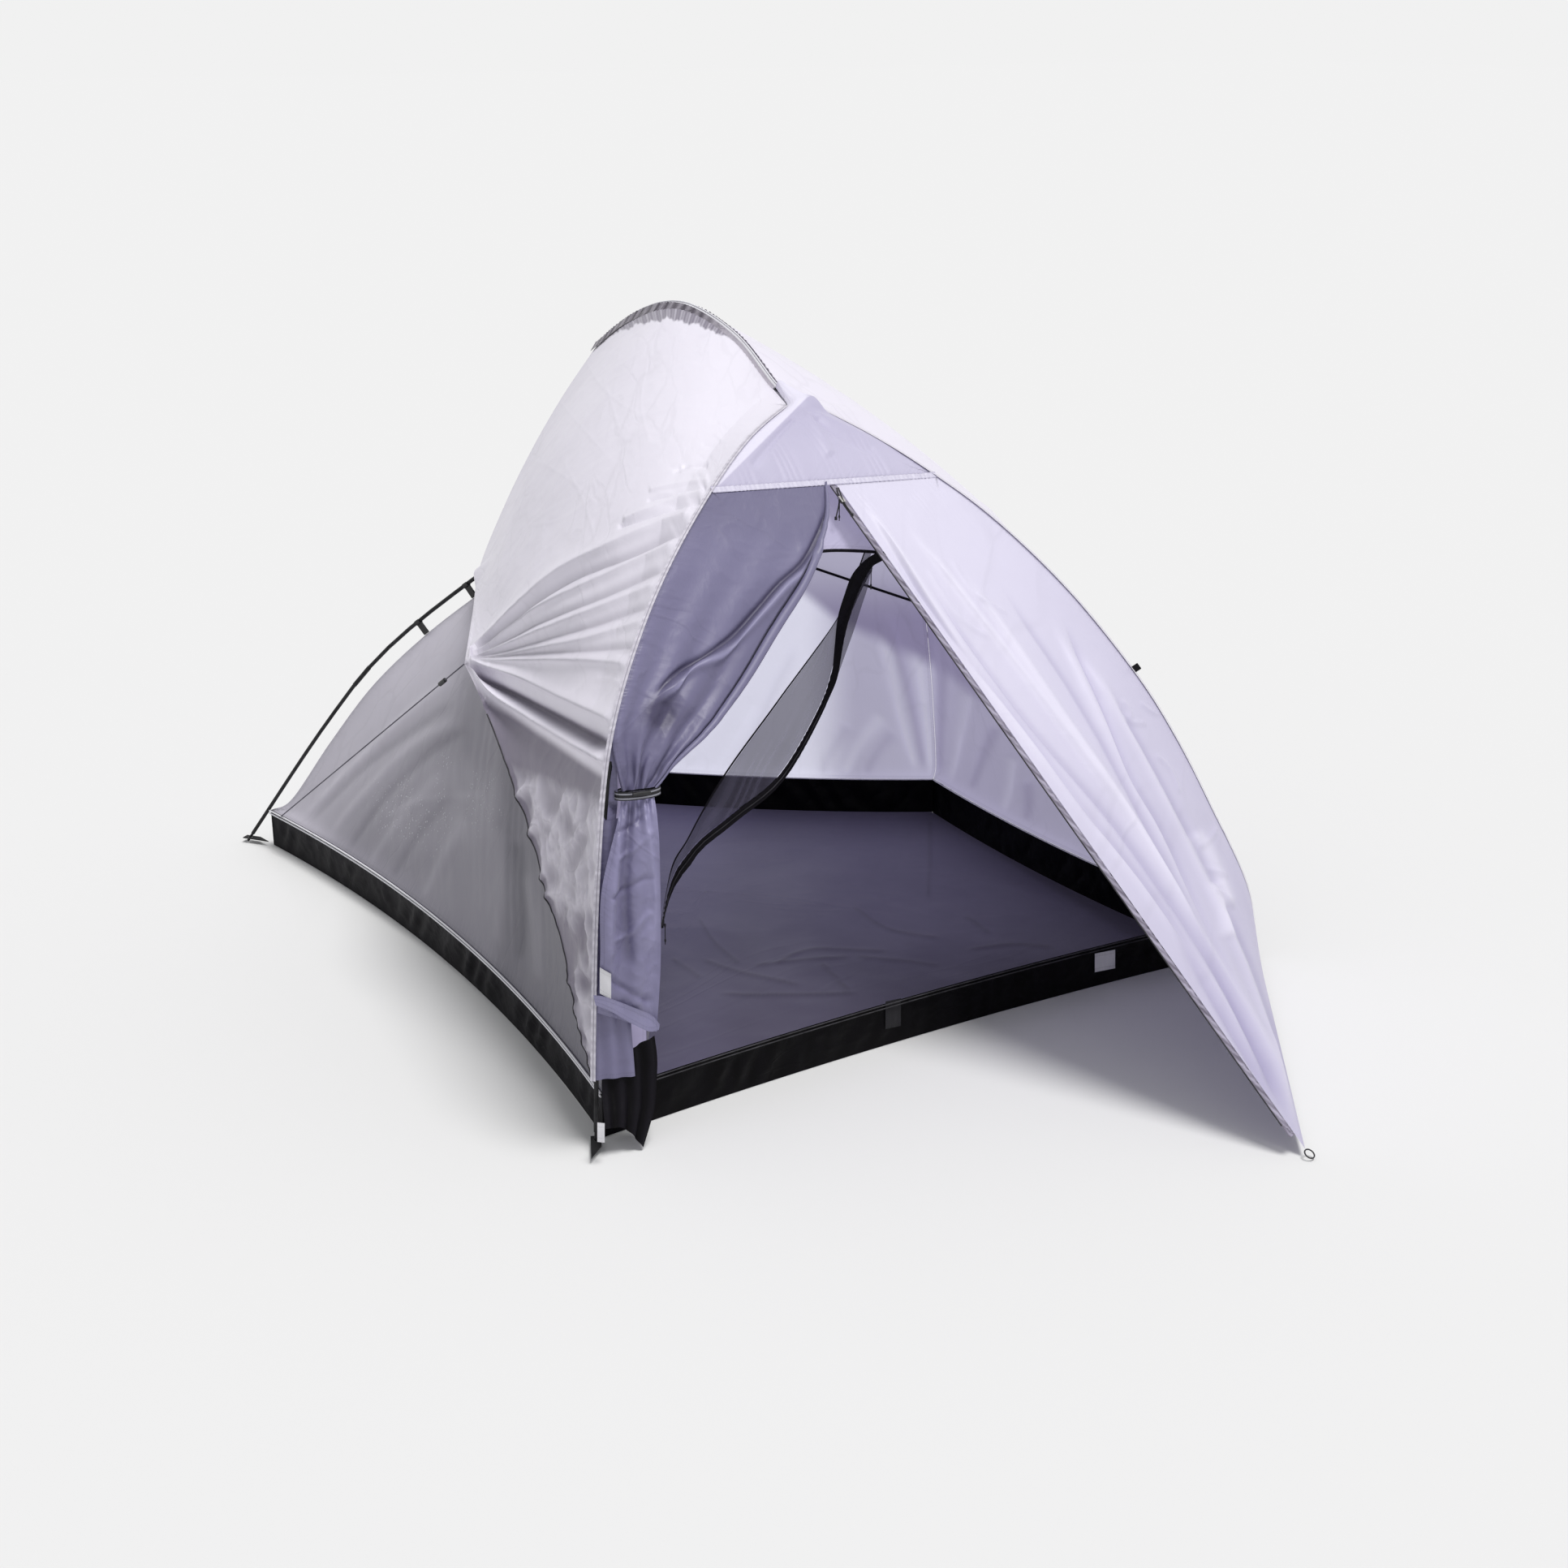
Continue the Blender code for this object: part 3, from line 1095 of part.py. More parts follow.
def main():
    clear_scene()
    skins = {
        "fly": material("lavender_silver_fly", (0.66, 0.64, 0.72), 0.45),
        "inner": material("grey_inner_cloth", (0.42, 0.41, 0.47), 0.6),
        "bathtub": material("black_bathtub_cloth", (0.02, 0.02, 0.025), 0.5),
        "floor": material("dark_floor_cloth", (0.09, 0.08, 0.12), 0.45),
        "mesh": material("black_mesh", (0.05, 0.05, 0.06), 0.8),
        "webbing": material("black_webbing", (0.02, 0.02, 0.022), 0.7),
        "pole": material("black_anodised_pole", (0.02, 0.02, 0.022), 0.35, 0.9),
        "plastic": material("black_plastic", (0.025, 0.025, 0.028), 0.4),
        "cord": material("grey_guy_cord", (0.25, 0.25, 0.27), 0.7),
    }
    corner, side, hub, leg, fly, inner, foot, ridge, back = lines()
    build_floor(side, skins)
    front = build_inner(side, inner, hub, ridge, back, skins)
    surround, arch = build_front(front, skins)
    poles = build_poles(leg, hub, ridge, skins)
    edge = fly_edges(fly, hub, ridge, back)
    build_fly(edge, fly, leg, hub, ridge, back, skins)
    build_mesh_door(surround, arch, skins)
    build_fly_zip(edge, skins)
    build_fittings(corner, side, poles, foot, hub, edge, skins)


main()
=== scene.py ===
# %% [markdown]
# # Dressing an ultralight tent
# The tent's poles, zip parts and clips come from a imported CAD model, which is loaded as a fixed
# frame. Its cloth is stiff and plain there, because the physics only needs its place. Here every
# cloth panel is made again from the same edges, with folds, seams and a woven surface. Lengths are
# in metres, +Z is up, and the door is at -Y.

import math

import bpy
import numpy as np
from mathutils import Matrix, Vector, noise


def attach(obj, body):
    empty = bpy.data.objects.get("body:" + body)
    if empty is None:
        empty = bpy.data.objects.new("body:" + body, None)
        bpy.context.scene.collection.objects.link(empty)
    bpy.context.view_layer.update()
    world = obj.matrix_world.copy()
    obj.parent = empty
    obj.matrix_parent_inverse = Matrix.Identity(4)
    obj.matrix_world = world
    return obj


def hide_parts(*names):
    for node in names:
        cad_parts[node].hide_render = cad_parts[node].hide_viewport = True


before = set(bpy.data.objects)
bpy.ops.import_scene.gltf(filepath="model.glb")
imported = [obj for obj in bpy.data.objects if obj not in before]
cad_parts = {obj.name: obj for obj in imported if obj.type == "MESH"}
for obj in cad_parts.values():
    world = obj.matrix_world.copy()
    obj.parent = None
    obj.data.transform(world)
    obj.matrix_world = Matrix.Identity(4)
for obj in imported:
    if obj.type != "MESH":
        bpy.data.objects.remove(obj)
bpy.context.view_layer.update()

# %% [markdown]
# ## Camera
# The picture was taken from the left of the door at about head height, looking 19.7 degrees down. A
# camera could be aimed with a constraint, but a matrix built from its own right, up and back
# directions says exactly where it looks.

# %% Camera
CAMERA_PLACE = (-2.1754, -3.7152, 1.7985)
CAMERA_HEADING = (0.534, 0.845)
CAMERA_PITCH = math.radians(19.7)
PHOTO_SIDE = 1932
FOCAL_PIXELS = 2663
SENSOR_WIDTH = 36

heading = Vector((*CAMERA_HEADING, 0)).normalized()
forward = heading * math.cos(CAMERA_PITCH) - Vector((0, 0, math.sin(CAMERA_PITCH)))
right = Vector((heading.y, -heading.x, 0))
up = right.cross(forward)
camera = bpy.data.objects.new("camera", bpy.data.cameras.new("camera"))
camera.data.sensor_width = SENSOR_WIDTH
camera.data.lens = SENSOR_WIDTH * FOCAL_PIXELS / PHOTO_SIDE
camera.matrix_world = Matrix((
    (right.x, up.x, -forward.x, CAMERA_PLACE[0]),
    (right.y, up.y, -forward.y, CAMERA_PLACE[1]),
    (right.z, up.z, -forward.z, CAMERA_PLACE[2]),
    (0, 0, 0, 1),
))
bpy.context.scene.collection.objects.link(camera)
bpy.context.scene.camera = camera
print("lens:", round(camera.data.lens, 2), "mm")

# %% [markdown]
# ## Nodes in few words
# A material is a small tree of nodes. Writing each node and link out takes many lines, so one
# helper places a node, sets its values and joins its inputs to the outputs of other nodes.

# %% Node helper and colours
def srgb(red, green, blue):
    """A colour as a picture editor gives it, 0 to 255, in the linear values that a shader takes."""
    shares = [c / 255 for c in (red, green, blue)]
    return tuple(c / 12.92 if c <= 0.04045 else ((c + 0.055) / 1.055) ** 2.4 for c in shares) + (1,)


def place(tree, kind, inputs=(), **settings):
    """A shader node whose inputs are set to values or joined to other nodes' sockets."""
    made = tree.nodes.new("ShaderNode" + kind)
    for key, value in settings.items():
        setattr(made, key, value)
    for key, value in dict(inputs).items():
        if isinstance(value, bpy.types.NodeSocket):
            tree.links.new(value, made.inputs[key])
        else:
            made.inputs[key].default_value = value
    return made


def calc(tree, operation, *values):
    """The output of a Math node."""
    return place(tree, "Math", dict(enumerate(values)), operation=operation).outputs[0]


def ramp(tree, value, low, high, to_low=0.0, to_high=1.0):
    """The value carried from one range to another along a smooth step."""
    ends = {"Value": value, "From Min": low, "From Max": high, "To Min": to_low, "To Max": to_high}
    return place(tree, "MapRange", ends, interpolation_type="SMOOTHSTEP").outputs["Result"]


def mixed(tree, share, first, second):
    """One colour or another by a share from 0 to 1."""
    made = place(tree, "Mix", {"Factor": share}, data_type="RGBA")
    for socket, value in ((made.inputs[6], first), (made.inputs[7], second)):
        if isinstance(value, bpy.types.NodeSocket):
            tree.links.new(value, socket)
        else:
            socket.default_value = value
    return made.outputs[2]


print("white is", srgb(255, 255, 255))

# %% [markdown]
# ## Studio
# The photograph's background is one pale grey. A floor and a sky of that grey would do, but a floor
# that is lit also keeps the tent's soft shadow. A wide sun lights it evenly, which lamps close by
# would not.

# %% Studio
BACKDROP = srgb(241, 241, 241)
PAPER = (0.802, 0.802, 0.802, 1)
SKY_COLOUR, SKY_STRENGTH = (0.97, 0.98, 1, 1), 0.44
SUN_COLOUR, SUN_STRENGTH = (1, 0.992, 0.98), 2.2
SUN_FROM, SUN_SPREAD = (0.18, -0.22, 1.0), math.radians(24)

world = bpy.data.worlds.new("studio")
bpy.context.scene.world = world
world.use_nodes = True
sky = world.node_tree
sky.nodes.clear()
seen = place(sky, "LightPath")
plain = calc(sky, "MAXIMUM", seen.outputs["Is Camera Ray"], seen.outputs["Is Glossy Ray"])
plain = calc(sky, "MAXIMUM", plain, seen.outputs["Is Transmission Ray"])
light = place(sky, "Background", {"Color": SKY_COLOUR, "Strength": SKY_STRENGTH})
card = place(sky, "Background", {"Color": BACKDROP, "Strength": 1.0})
blend = place(sky, "MixShader", {0: plain, 1: light.outputs[0], 2: card.outputs[0]})
place(sky, "OutputWorld", {"Surface": blend.outputs[0]})

sun = bpy.data.objects.new("key_light", bpy.data.lights.new("key_light", "SUN"))
sun.data.energy = SUN_STRENGTH
sun.data.angle = SUN_SPREAD
sun.data.color = SUN_COLOUR
sun.rotation_euler = Vector(SUN_FROM).to_track_quat("Z", "Y").to_euler()
bpy.context.scene.collection.objects.link(sun)

bpy.ops.mesh.primitive_plane_add(size=120, location=(0, 0, -0.001))
floor = bpy.context.object
floor.name = "studio_floor"
floor_skin = bpy.data.materials.new("studio_floor")
floor_skin.use_nodes = True
paper = floor_skin.node_tree.nodes["Principled BSDF"]
paper.inputs["Base Color"].default_value = PAPER
paper.inputs["Roughness"].default_value = 0.9
paper.inputs["Specular IOR Level"].default_value = 0.0
floor.data.materials.append(floor_skin)

view = bpy.context.scene.view_settings
view.view_transform = "Standard"
print("sun:", sun.data.energy, "sky:", light.inputs["Strength"].default_value)

# %% [markdown]
# ## Effects that several cloths share
# Thin coated nylon shows its weave only close up, keeps sharp creases from its bag, and puckers
# along every seam. Each of these is a node group with its own sizes, so that one material can be
# crisp and another soft. They read two maps that every panel carries: `cloth`, in metres over the
# sheet, and `edge`, in metres along the nearest seam and away from it.

# %% Group maker
def new_group(name, inputs, outputs):
    """An empty shader group with named number sockets, and its two ends."""
    made = bpy.data.node_groups.new(name, "ShaderNodeTree")
    for label, value in inputs.items():
        socket = made.interface.new_socket(
            name=label, in_out="INPUT", socket_type="NodeSocketFloat"
        )
        socket.default_value = value
    for label in outputs:
        made.interface.new_socket(name=label, in_out="OUTPUT", socket_type="NodeSocketFloat")
    start = made.nodes.new("NodeGroupInput")
    end = made.nodes.new("NodeGroupOutput")
    return made, start.outputs, end.inputs


def use(tree, group, **values):
    """A group's outputs in a material, with some of its inputs set."""
    made = tree.nodes.new("ShaderNodeGroup")
    made.node_tree = group
    for label, value in values.items():
        socket = made.inputs[label.replace("_", " ").capitalize()]
        if isinstance(value, bpy.types.NodeSocket):
            tree.links.new(value, socket)
        else:
            socket.default_value = value
    return made.outputs


print("groups are made by new_group and used by use")

# %% Weave
weave, given, wanted = new_group("weave", {"Thread": 0.0011, "Ripstop": 0.006}, ["Height"])
uv = place(weave, "UVMap", uv_map="cloth").outputs["UV"]
parts = place(weave, "SeparateXYZ", {0: uv})
heights = []
for spacing, power in ((given["Thread"], 1.0), (given["Ripstop"], 12.0)):
    turns = [calc(weave, "DIVIDE", parts.outputs[k], spacing) for k in (0, 1)]
    waves = [calc(weave, "COSINE", calc(weave, "MULTIPLY", turn, 2 * math.pi)) for turn in turns]
    lifted = [calc(weave, "MULTIPLY_ADD", wave, 0.5, 0.5) for wave in waves]
    peaks = [calc(weave, "POWER", lift, power) for lift in lifted]
    heights.append(calc(weave, "MAXIMUM", *peaks))
total = calc(weave, "MULTIPLY_ADD", heights[1], 1.5, heights[0])
weave.links.new(total, wanted["Height"])
print("weave:", len(weave.nodes), "nodes")

# %% Creases
creases, given, wanted = new_group(
    "creases", {"Size": 0.05, "Stretch": 1.0, "Turn": 0.0, "Seed": 0.0}, ["Height", "Lines"]
)
uv = place(creases, "UVMap", uv_map="cloth").outputs["UV"]
turned = place(
    creases, "VectorRotate", {"Vector": uv, "Angle": given["Turn"]}, rotation_type="Z_AXIS"
)
size = calc(creases, "DIVIDE", 1.0, given["Size"])
longer = calc(creases, "DIVIDE", size, given["Stretch"])
scale = place(creases, "CombineXYZ", {0: longer, 1: size, 2: 1.0})
scaled = place(
    creases, "VectorMath", {0: turned.outputs[0], 1: scale.outputs[0]}, operation="MULTIPLY"
)
offset = place(creases, "CombineXYZ", {0: given["Seed"], 1: given["Seed"], 2: given["Seed"]})
moved = place(creases, "VectorMath", {0: scaled.outputs[0], 1: offset.outputs[0]}, operation="ADD")
bend = place(creases, "TexNoise", {"Vector": moved.outputs[0], "Scale": 0.9, "Detail": 2.0})
shift = place(creases, "VectorMath", {0: bend.outputs["Color"], "Scale": 0.9}, operation="SCALE")
warped = place(creases, "VectorMath", {0: moved.outputs[0], 1: shift.outputs[0]}, operation="ADD")
cells = place(
    creases, "TexVoronoi", {"Vector": warped.outputs[0], "Scale": 1.0}, feature="DISTANCE_TO_EDGE"
)
lines = ramp(creases, cells.outputs["Distance"], 0.0, 0.10, 1.0, 0.0)
soft = place(
    creases,
    "TexNoise",
    {"Vector": warped.outputs[0], "Scale": 0.8, "Detail": 4.0, "Roughness": 0.55},
    noise_type="RIDGED_MULTIFRACTAL",
    normalize=True,
)
some = place(creases, "TexNoise", {"Vector": moved.outputs[0], "Scale": 0.35, "Detail": 1.0})
patchy = ramp(creases, some.outputs[0], 0.42, 0.62)
kept = calc(creases, "MULTIPLY", lines, patchy)
height = calc(creases, "MULTIPLY_ADD", kept, 0.22, soft.outputs[0])
creases.links.new(height, wanted["Height"])
# Lines marks the crease lines, which the cloths paint darker as shade.
creases.links.new(kept, wanted["Lines"])
print("creases:", len(creases.nodes), "nodes")

# %% Seams
seams, given, wanted = new_group(
    "seams", {"Hem": 0.008, "Pucker": 0.012, "Reach": 0.018}, ["Height", "Hem", "Stitch"]
)
uv = place(seams, "UVMap", uv_map="edge").outputs["UV"]
parts = place(seams, "SeparateXYZ", {0: uv})
along, off = parts.outputs[0], parts.outputs[1]
inside = calc(seams, "LESS_THAN", off, given["Hem"])
seams.links.new(inside, wanted["Hem"])
rows = []
for share in (0.18, 0.85):
    apart = calc(
        seams, "ABSOLUTE",
        calc(seams, "SUBTRACT", off, calc(seams, "MULTIPLY", given["Hem"], share))
    )
    near = calc(seams, "LESS_THAN", apart, 0.0006)
    dash = calc(seams, "LESS_THAN", calc(seams, "PINGPONG", along, 0.0018), 0.0013)
    rows.append(calc(seams, "MULTIPLY", near, dash))
stitch = calc(seams, "MAXIMUM", *rows)
seams.links.new(stitch, wanted["Stitch"])
fade = calc(
    seams, "EXPONENT", calc(seams, "MULTIPLY", calc(seams, "DIVIDE", off, given["Reach"]), -1.0)
)
turns = calc(seams, "DIVIDE", along, given["Pucker"])
spots = place(seams, "CombineXYZ", {0: turns, 1: calc(seams, "MULTIPLY", off, 14.0)})
gather = place(
    seams, "TexNoise", {"Vector": spots.outputs[0], "Scale": 1.0, "Detail": 3.0, "Roughness": 0.6}
)
ruffle = calc(seams, "MULTIPLY", calc(seams, "SUBTRACT", gather.outputs[0], 0.5), fade)
ledge = calc(seams, "MULTIPLY", inside, 0.12)
seams.links.new(calc(seams, "ADD", ruffle, ledge), wanted["Height"])
print("seams:", len(seams.nodes), "nodes")

# %% Water beads
beads, given, wanted = new_group("beads", {"Size": 0.008, "Seed": 0.0}, ["Height", "Mask"])
uv = place(beads, "UVMap", uv_map="cloth").outputs["UV"]
fine = calc(beads, "DIVIDE", 1.0, given["Size"])
cell = place(beads, "TexVoronoi", {"Vector": uv, "Scale": fine, "Randomness": 1.0})
drop = ramp(beads, cell.outputs["Distance"], 0.16, 0.34, 1.0, 0.0)
lot = place(beads, "SeparateColor", {0: cell.outputs["Color"]})
few = calc(beads, "GREATER_THAN", lot.outputs[0], 0.45)
runs = place(beads, "TexNoise", {"Vector": uv, "Scale": 9.0, "Detail": 3.0})
wet = ramp(beads, runs.outputs[0], 0.45, 0.58)
mask = calc(beads, "MULTIPLY", calc(beads, "MULTIPLY", drop, few), wet)
beads.links.new(mask, wanted["Height"])
beads.links.new(mask, wanted["Mask"])
print("beads:", len(beads.nodes), "nodes")

# %% Wear and dust
grime, given, wanted = new_group("grime", {"Size": 0.25, "Seed": 0.0}, ["Mask"])
spot = place(grime, "TexCoord").outputs["Object"]
size = calc(grime, "DIVIDE", 1.0, given["Size"])
cloud = place(
    grime, "TexNoise", {"Vector": spot, "W": given["Seed"], "Scale": size, "Detail": 5.0},
    noise_dimensions="4D"
)
grime.links.new(ramp(grime, cloud.outputs[0], 0.35, 0.7), wanted["Mask"])
print("grime:", len(grime.nodes), "nodes")

# %% [markdown]
# ## Cloth materials
# All the cloths share one recipe: a light and a shaded colour, a little sheen, creases, weave and
# seams. They differ in their values alone, so a function builds each from them. Where a panel's
# `tone` is 1 the light colour shows, and where it is 0 the shaded one. The tone is painted light
# and shade: the shade of folds, cast shadows and a second layer behind the first, and highlights.
# Crease lines are painted darker, as shade, and some cloths glow as painted light.

# %% Cloth recipe
def cloth_skin(
    name, light, shade, roughness, crease, crease_height, thread=0.0011, sheen=0.15, stretch=1.0,
    turn=0.0, seam_height=0.003, wet=False, alpha=1.0, glow=0.0, specular=0.5,
):
    """A woven cloth: painted light and shade, creases, weave, seams, dust and a glow painted for
    daylight.
    """
    made = bpy.data.materials.new(name)
    made.use_nodes = True
    tree = made.node_tree
    shader = tree.nodes["Principled BSDF"]
    tone = place(tree, "Attribute", attribute_name="tone").outputs["Fac"]
    folds = use(tree, creases, size=crease, stretch=stretch, turn=turn)
    fine = use(tree, creases, size=crease * 0.3, stretch=2.5 * stretch, turn=turn + 0.9, seed=3.0)
    threads = use(tree, weave, thread=thread, ripstop=thread * 5)
    sewn = use(tree, seams)
    dust = use(tree, grime, seed=len(name))
    # Painted light and shade: the tone mixes the shaded and the light colour.
    colour = mixed(tree, tone, shade, light)
    darker = place(tree, "HueSaturation", {"Value": 0.82, "Color": colour}).outputs[0]
    # Painted shade: crease lines are mixed towards the darker colour.
    crease_shade = calc(tree, "MULTIPLY", folds["Lines"], 0.25)
    sewn_share = calc(tree, "MULTIPLY", sewn["Hem"], 0.3)
    seam_tone = calc(tree, "MULTIPLY", sewn["Stitch"], 0.8)
    worn = calc(tree, "MULTIPLY", dust["Mask"], 0.2)
    for share in (worn, calc(tree, "MAXIMUM", crease_shade, sewn_share), seam_tone):
        colour = mixed(tree, share, colour, darker)
    height = calc(tree, "MULTIPLY", folds["Height"], crease_height)
    height = calc(tree, "MULTIPLY_ADD", fine["Height"], crease_height * 0.22, height)
    height = calc(tree, "MULTIPLY_ADD", threads["Height"], thread * 0.02, height)
    height = calc(tree, "MULTIPLY_ADD", sewn["Height"], seam_height, height)
    dull = calc(tree, "MULTIPLY_ADD", dust["Mask"], 0.12, roughness)
    if wet:
        drops = use(tree, beads)
        rained = place(tree, "Attribute", attribute_name="wet").outputs["Fac"]
        low = calc(tree, "MULTIPLY", drops["Mask"], rained)
        colour = mixed(tree, calc(tree, "MULTIPLY", low, 0.85), colour, srgb(206, 205, 216))
        height = calc(tree, "MULTIPLY_ADD", low, 0.0015, height)
        dull = calc(tree, "MULTIPLY_ADD", low, -0.3, dull)
    bump = place(tree, "Bump", {"Strength": 1.0, "Distance": 1.0, "Height": height})
    tree.links.new(colour, shader.inputs["Base Color"])
    tree.links.new(dull, shader.inputs["Roughness"])
    tree.links.new(bump.outputs[0], shader.inputs["Normal"])
    # Painted light: the front face glows in the cloth's own colour, for the daylight through it.
    if glow:
        behind = place(tree, "NewGeometry").outputs["Backfacing"]
        tree.links.new(mixed(tree, behind, colour, (0, 0, 0, 1)), shader.inputs["Emission Color"])
        shader.inputs["Emission Strength"].default_value = glow
    shader.inputs["Sheen Weight"].default_value = sheen
    shader.inputs["Sheen Roughness"].default_value = 0.4
    shader.inputs["Specular IOR Level"].default_value = specular
    shader.inputs["Alpha"].default_value = alpha
    return made


white, lilac, shadow = srgb(238, 234, 246), srgb(232, 228, 246), srgb(150, 143, 180)
skins = {
    "hood": cloth_skin(
        "silver_hood_cloth", white, srgb(128, 122, 138), 0.36, 0.09, 0.0015, sheen=0.1,
    ),
    "porch": cloth_skin(
        "silver_porch_cloth", lilac, shadow, 0.45, 0.12, 0.0022, stretch=2.5,
    ),
    # A darker copy of the porch cloth: painted shade on the tied-back door, its tail and the leg
    # strip.
    "tied": cloth_skin(
        "shaded_door_cloth", srgb(152, 148, 184), srgb(70, 65, 95), 0.38, 0.07, 0.0024,
        stretch=2.0, sheen=0.1,
    ),
    "inner_out": cloth_skin(
        "grey_inner_cloth", srgb(206, 202, 214), srgb(84, 82, 95), 0.42, 0.06, 0.0018,
        wet=True, stretch=3.0, turn=1.2,
    ),
    # The glow of the inner cloth is painted light, for the daylight through it.
    "inner_in": cloth_skin(
        "bright_inner_cloth", srgb(226, 226, 238), srgb(120, 112, 144), 0.55, 0.07,
        0.0018, stretch=2.0, turn=1.4, glow=0.72,
    ),
    "bathtub": cloth_skin(
        "black_bathtub_cloth", srgb(22, 20, 26), srgb(4, 3, 5), 0.42, 0.04, 0.0018,
        stretch=2.0, sheen=0.0, specular=0.08,
    ),
    # The floor's glow is painted light.
    "ground": cloth_skin(
        "dark_floor_cloth", srgb(106, 101, 130), srgb(42, 37, 53), 0.42, 0.10, 0.0012,
        stretch=3.0, seam_height=0.001, glow=0.16,
    ),
}
print("cloths:", ", ".join(sorted(m.name for m in skins.values())))

# %% [markdown]
# ## Poles, plastic, webbing and net
# The poles are black anodised tubes with a fine drawn grain and some bare wear. Moulded clips have
# a grained skin. Webbing is a coarse weave. The net of the inner door lets light through, which an
# alpha below one shows without modelling a million threads.

# %% Hard and narrow materials
def plain_skin(name, colour, worn, roughness, metallic=0.0, grain=0.002, depth=0.0001, wear=0.3):
    """A solid material with a fine grain, small changes of gloss and worn spots."""
    made = bpy.data.materials.new(name)
    made.use_nodes = True
    tree = made.node_tree
    shader = tree.nodes["Principled BSDF"]
    spot = place(tree, "TexCoord").outputs["Object"]
    fine = place(tree, "TexNoise", {"Vector": spot, "Scale": 1 / grain, "Detail": 3.0}).outputs[0]
    dust = use(tree, grime, size=0.03, seed=len(name))
    amount = calc(tree, "MULTIPLY", calc(tree, "MULTIPLY", dust["Mask"], fine), wear)
    tree.links.new(mixed(tree, amount, colour, worn), shader.inputs["Base Color"])
    tree.links.new(calc(tree, "MULTIPLY_ADD", fine, 0.2, roughness), shader.inputs["Roughness"])
    bump = place(tree, "Bump", {"Distance": 1.0, "Height": calc(tree, "MULTIPLY", fine, depth)})
    tree.links.new(bump.outputs[0], shader.inputs["Normal"])
    shader.inputs["Metallic"].default_value = metallic
    return made


skins["pole"] = plain_skin(
    "black_anodised_tube", srgb(22, 22, 24), srgb(110, 110, 115), 0.3, metallic=0.6, grain=0.0015,
    depth=0.00004, wear=0.2
)
skins["plastic"] = plain_skin("black_moulded_plastic", srgb(20, 20, 22), srgb(64, 64, 68), 0.38)
skins["slider"] = plain_skin(
    "nickel_slider", srgb(205, 203, 200), srgb(120, 118, 116), 0.25, metallic=0.9, grain=0.001,
    depth=0.00003
)
skins["cord"] = plain_skin(
    "black_braided_cord", srgb(30, 29, 33), srgb(96, 94, 100), 0.7, grain=0.0012, depth=0.0004,
    wear=0.7
)
skins["guy"] = plain_skin(
    "grey_braided_cord", srgb(74, 72, 84), srgb(150, 148, 158), 0.7, grain=0.0016, depth=0.0004,
    wear=0.6
)
skins["piping"] = plain_skin(
    "white_piping", srgb(238, 237, 243), srgb(200, 198, 208), 0.6, grain=0.0015, depth=0.0003,
    wear=0.5
)
skins["webbing"] = cloth_skin(
    "black_webbing", srgb(40, 39, 43), srgb(20, 19, 22), 0.7, 0.02, 0.0003, thread=0.0022,
    specular=0.2
)
skins["band"] = cloth_skin(
    "grey_sleeve_band", srgb(206, 200, 212), srgb(84, 78, 90), 0.4, 0.02, 0.003, thread=0.0016
)
skins["tape"] = cloth_skin(
    "zip_tape_cloth", srgb(188, 182, 204), srgb(88, 80, 98), 0.5, 0.016, 0.002, thread=0.0012
)
skins["black_tape"] = cloth_skin(
    "black_zip_tape", srgb(30, 27, 34), srgb(14, 12, 16), 0.65, 0.02, 0.0008, specular=0.15,
    sheen=0.0
)
skins["tag"] = cloth_skin(
    "pale_tag_cloth", srgb(226, 225, 230), srgb(150, 148, 156), 0.6, 0.03, 0.001
)


def striped_skin(name, colour, stripe):
    """Narrow webbing whose two light stripes run along it."""
    made = plain_skin(name, colour, stripe, 0.6, grain=0.0016, depth=0.0002, wear=0.2)
    tree = made.node_tree
    spot = place(tree, "TexCoord").outputs["Generated"]
    height = place(tree, "SeparateXYZ", {0: spot}).outputs["Z"]
    both = [calc(tree, "COMPARE", height, middle, 0.1) for middle in (0.22, 0.78)]
    striped = mixed(tree, calc(tree, "MAXIMUM", *both), colour, stripe)
    tree.links.new(striped, tree.nodes["Principled BSDF"].inputs["Base Color"])
    return made


skins["striped"] = striped_skin("striped_webbing", srgb(24, 23, 28), srgb(150, 150, 160))
skins["net"] = cloth_skin(
    "black_net", srgb(104, 100, 122), srgb(60, 56, 72), 0.8, 0.08, 0.0012, thread=0.0014, alpha=0.7
)
print("materials:", len(skins))

# %% [markdown]
# ## Lines that the cloth hangs on
# Each pole leg is bent, so its line is a smooth curve through a few measured points. The fly lies
# just above those lines and the inner tent hangs just below them. The points are the same as in the
# CAD, so every panel meets its poles.

# %% Points and curves
EDGE_STEPS = 121


def at(x, y, z=0.0):
    """A place measured from the front left floor corner, in the tent's frame."""
    return np.array((x - 0.70, y - 0.8075, z), float)


def at_all(points):
    """Several places measured from that corner."""
    return [at(*point) for point in points]


def unit(vector):
    return vector / np.linalg.norm(vector)


def unit_rows(rows):
    return rows / np.linalg.norm(rows, axis=-1, keepdims=True)


def distance_along(line):
    """Metres from a line's start to each of its points."""
    return np.concatenate([[0], np.cumsum(np.linalg.norm(np.diff(line, axis=0), axis=1))])


def evenly(points, count=EDGE_STEPS):
    """The line through the points again, as count points at even steps."""
    points = np.asarray(points, float)
    along = distance_along(points)
    steps = np.linspace(0, along[-1], count)
    return np.stack([np.interp(steps, along, points[:, k]) for k in range(3)], axis=1)


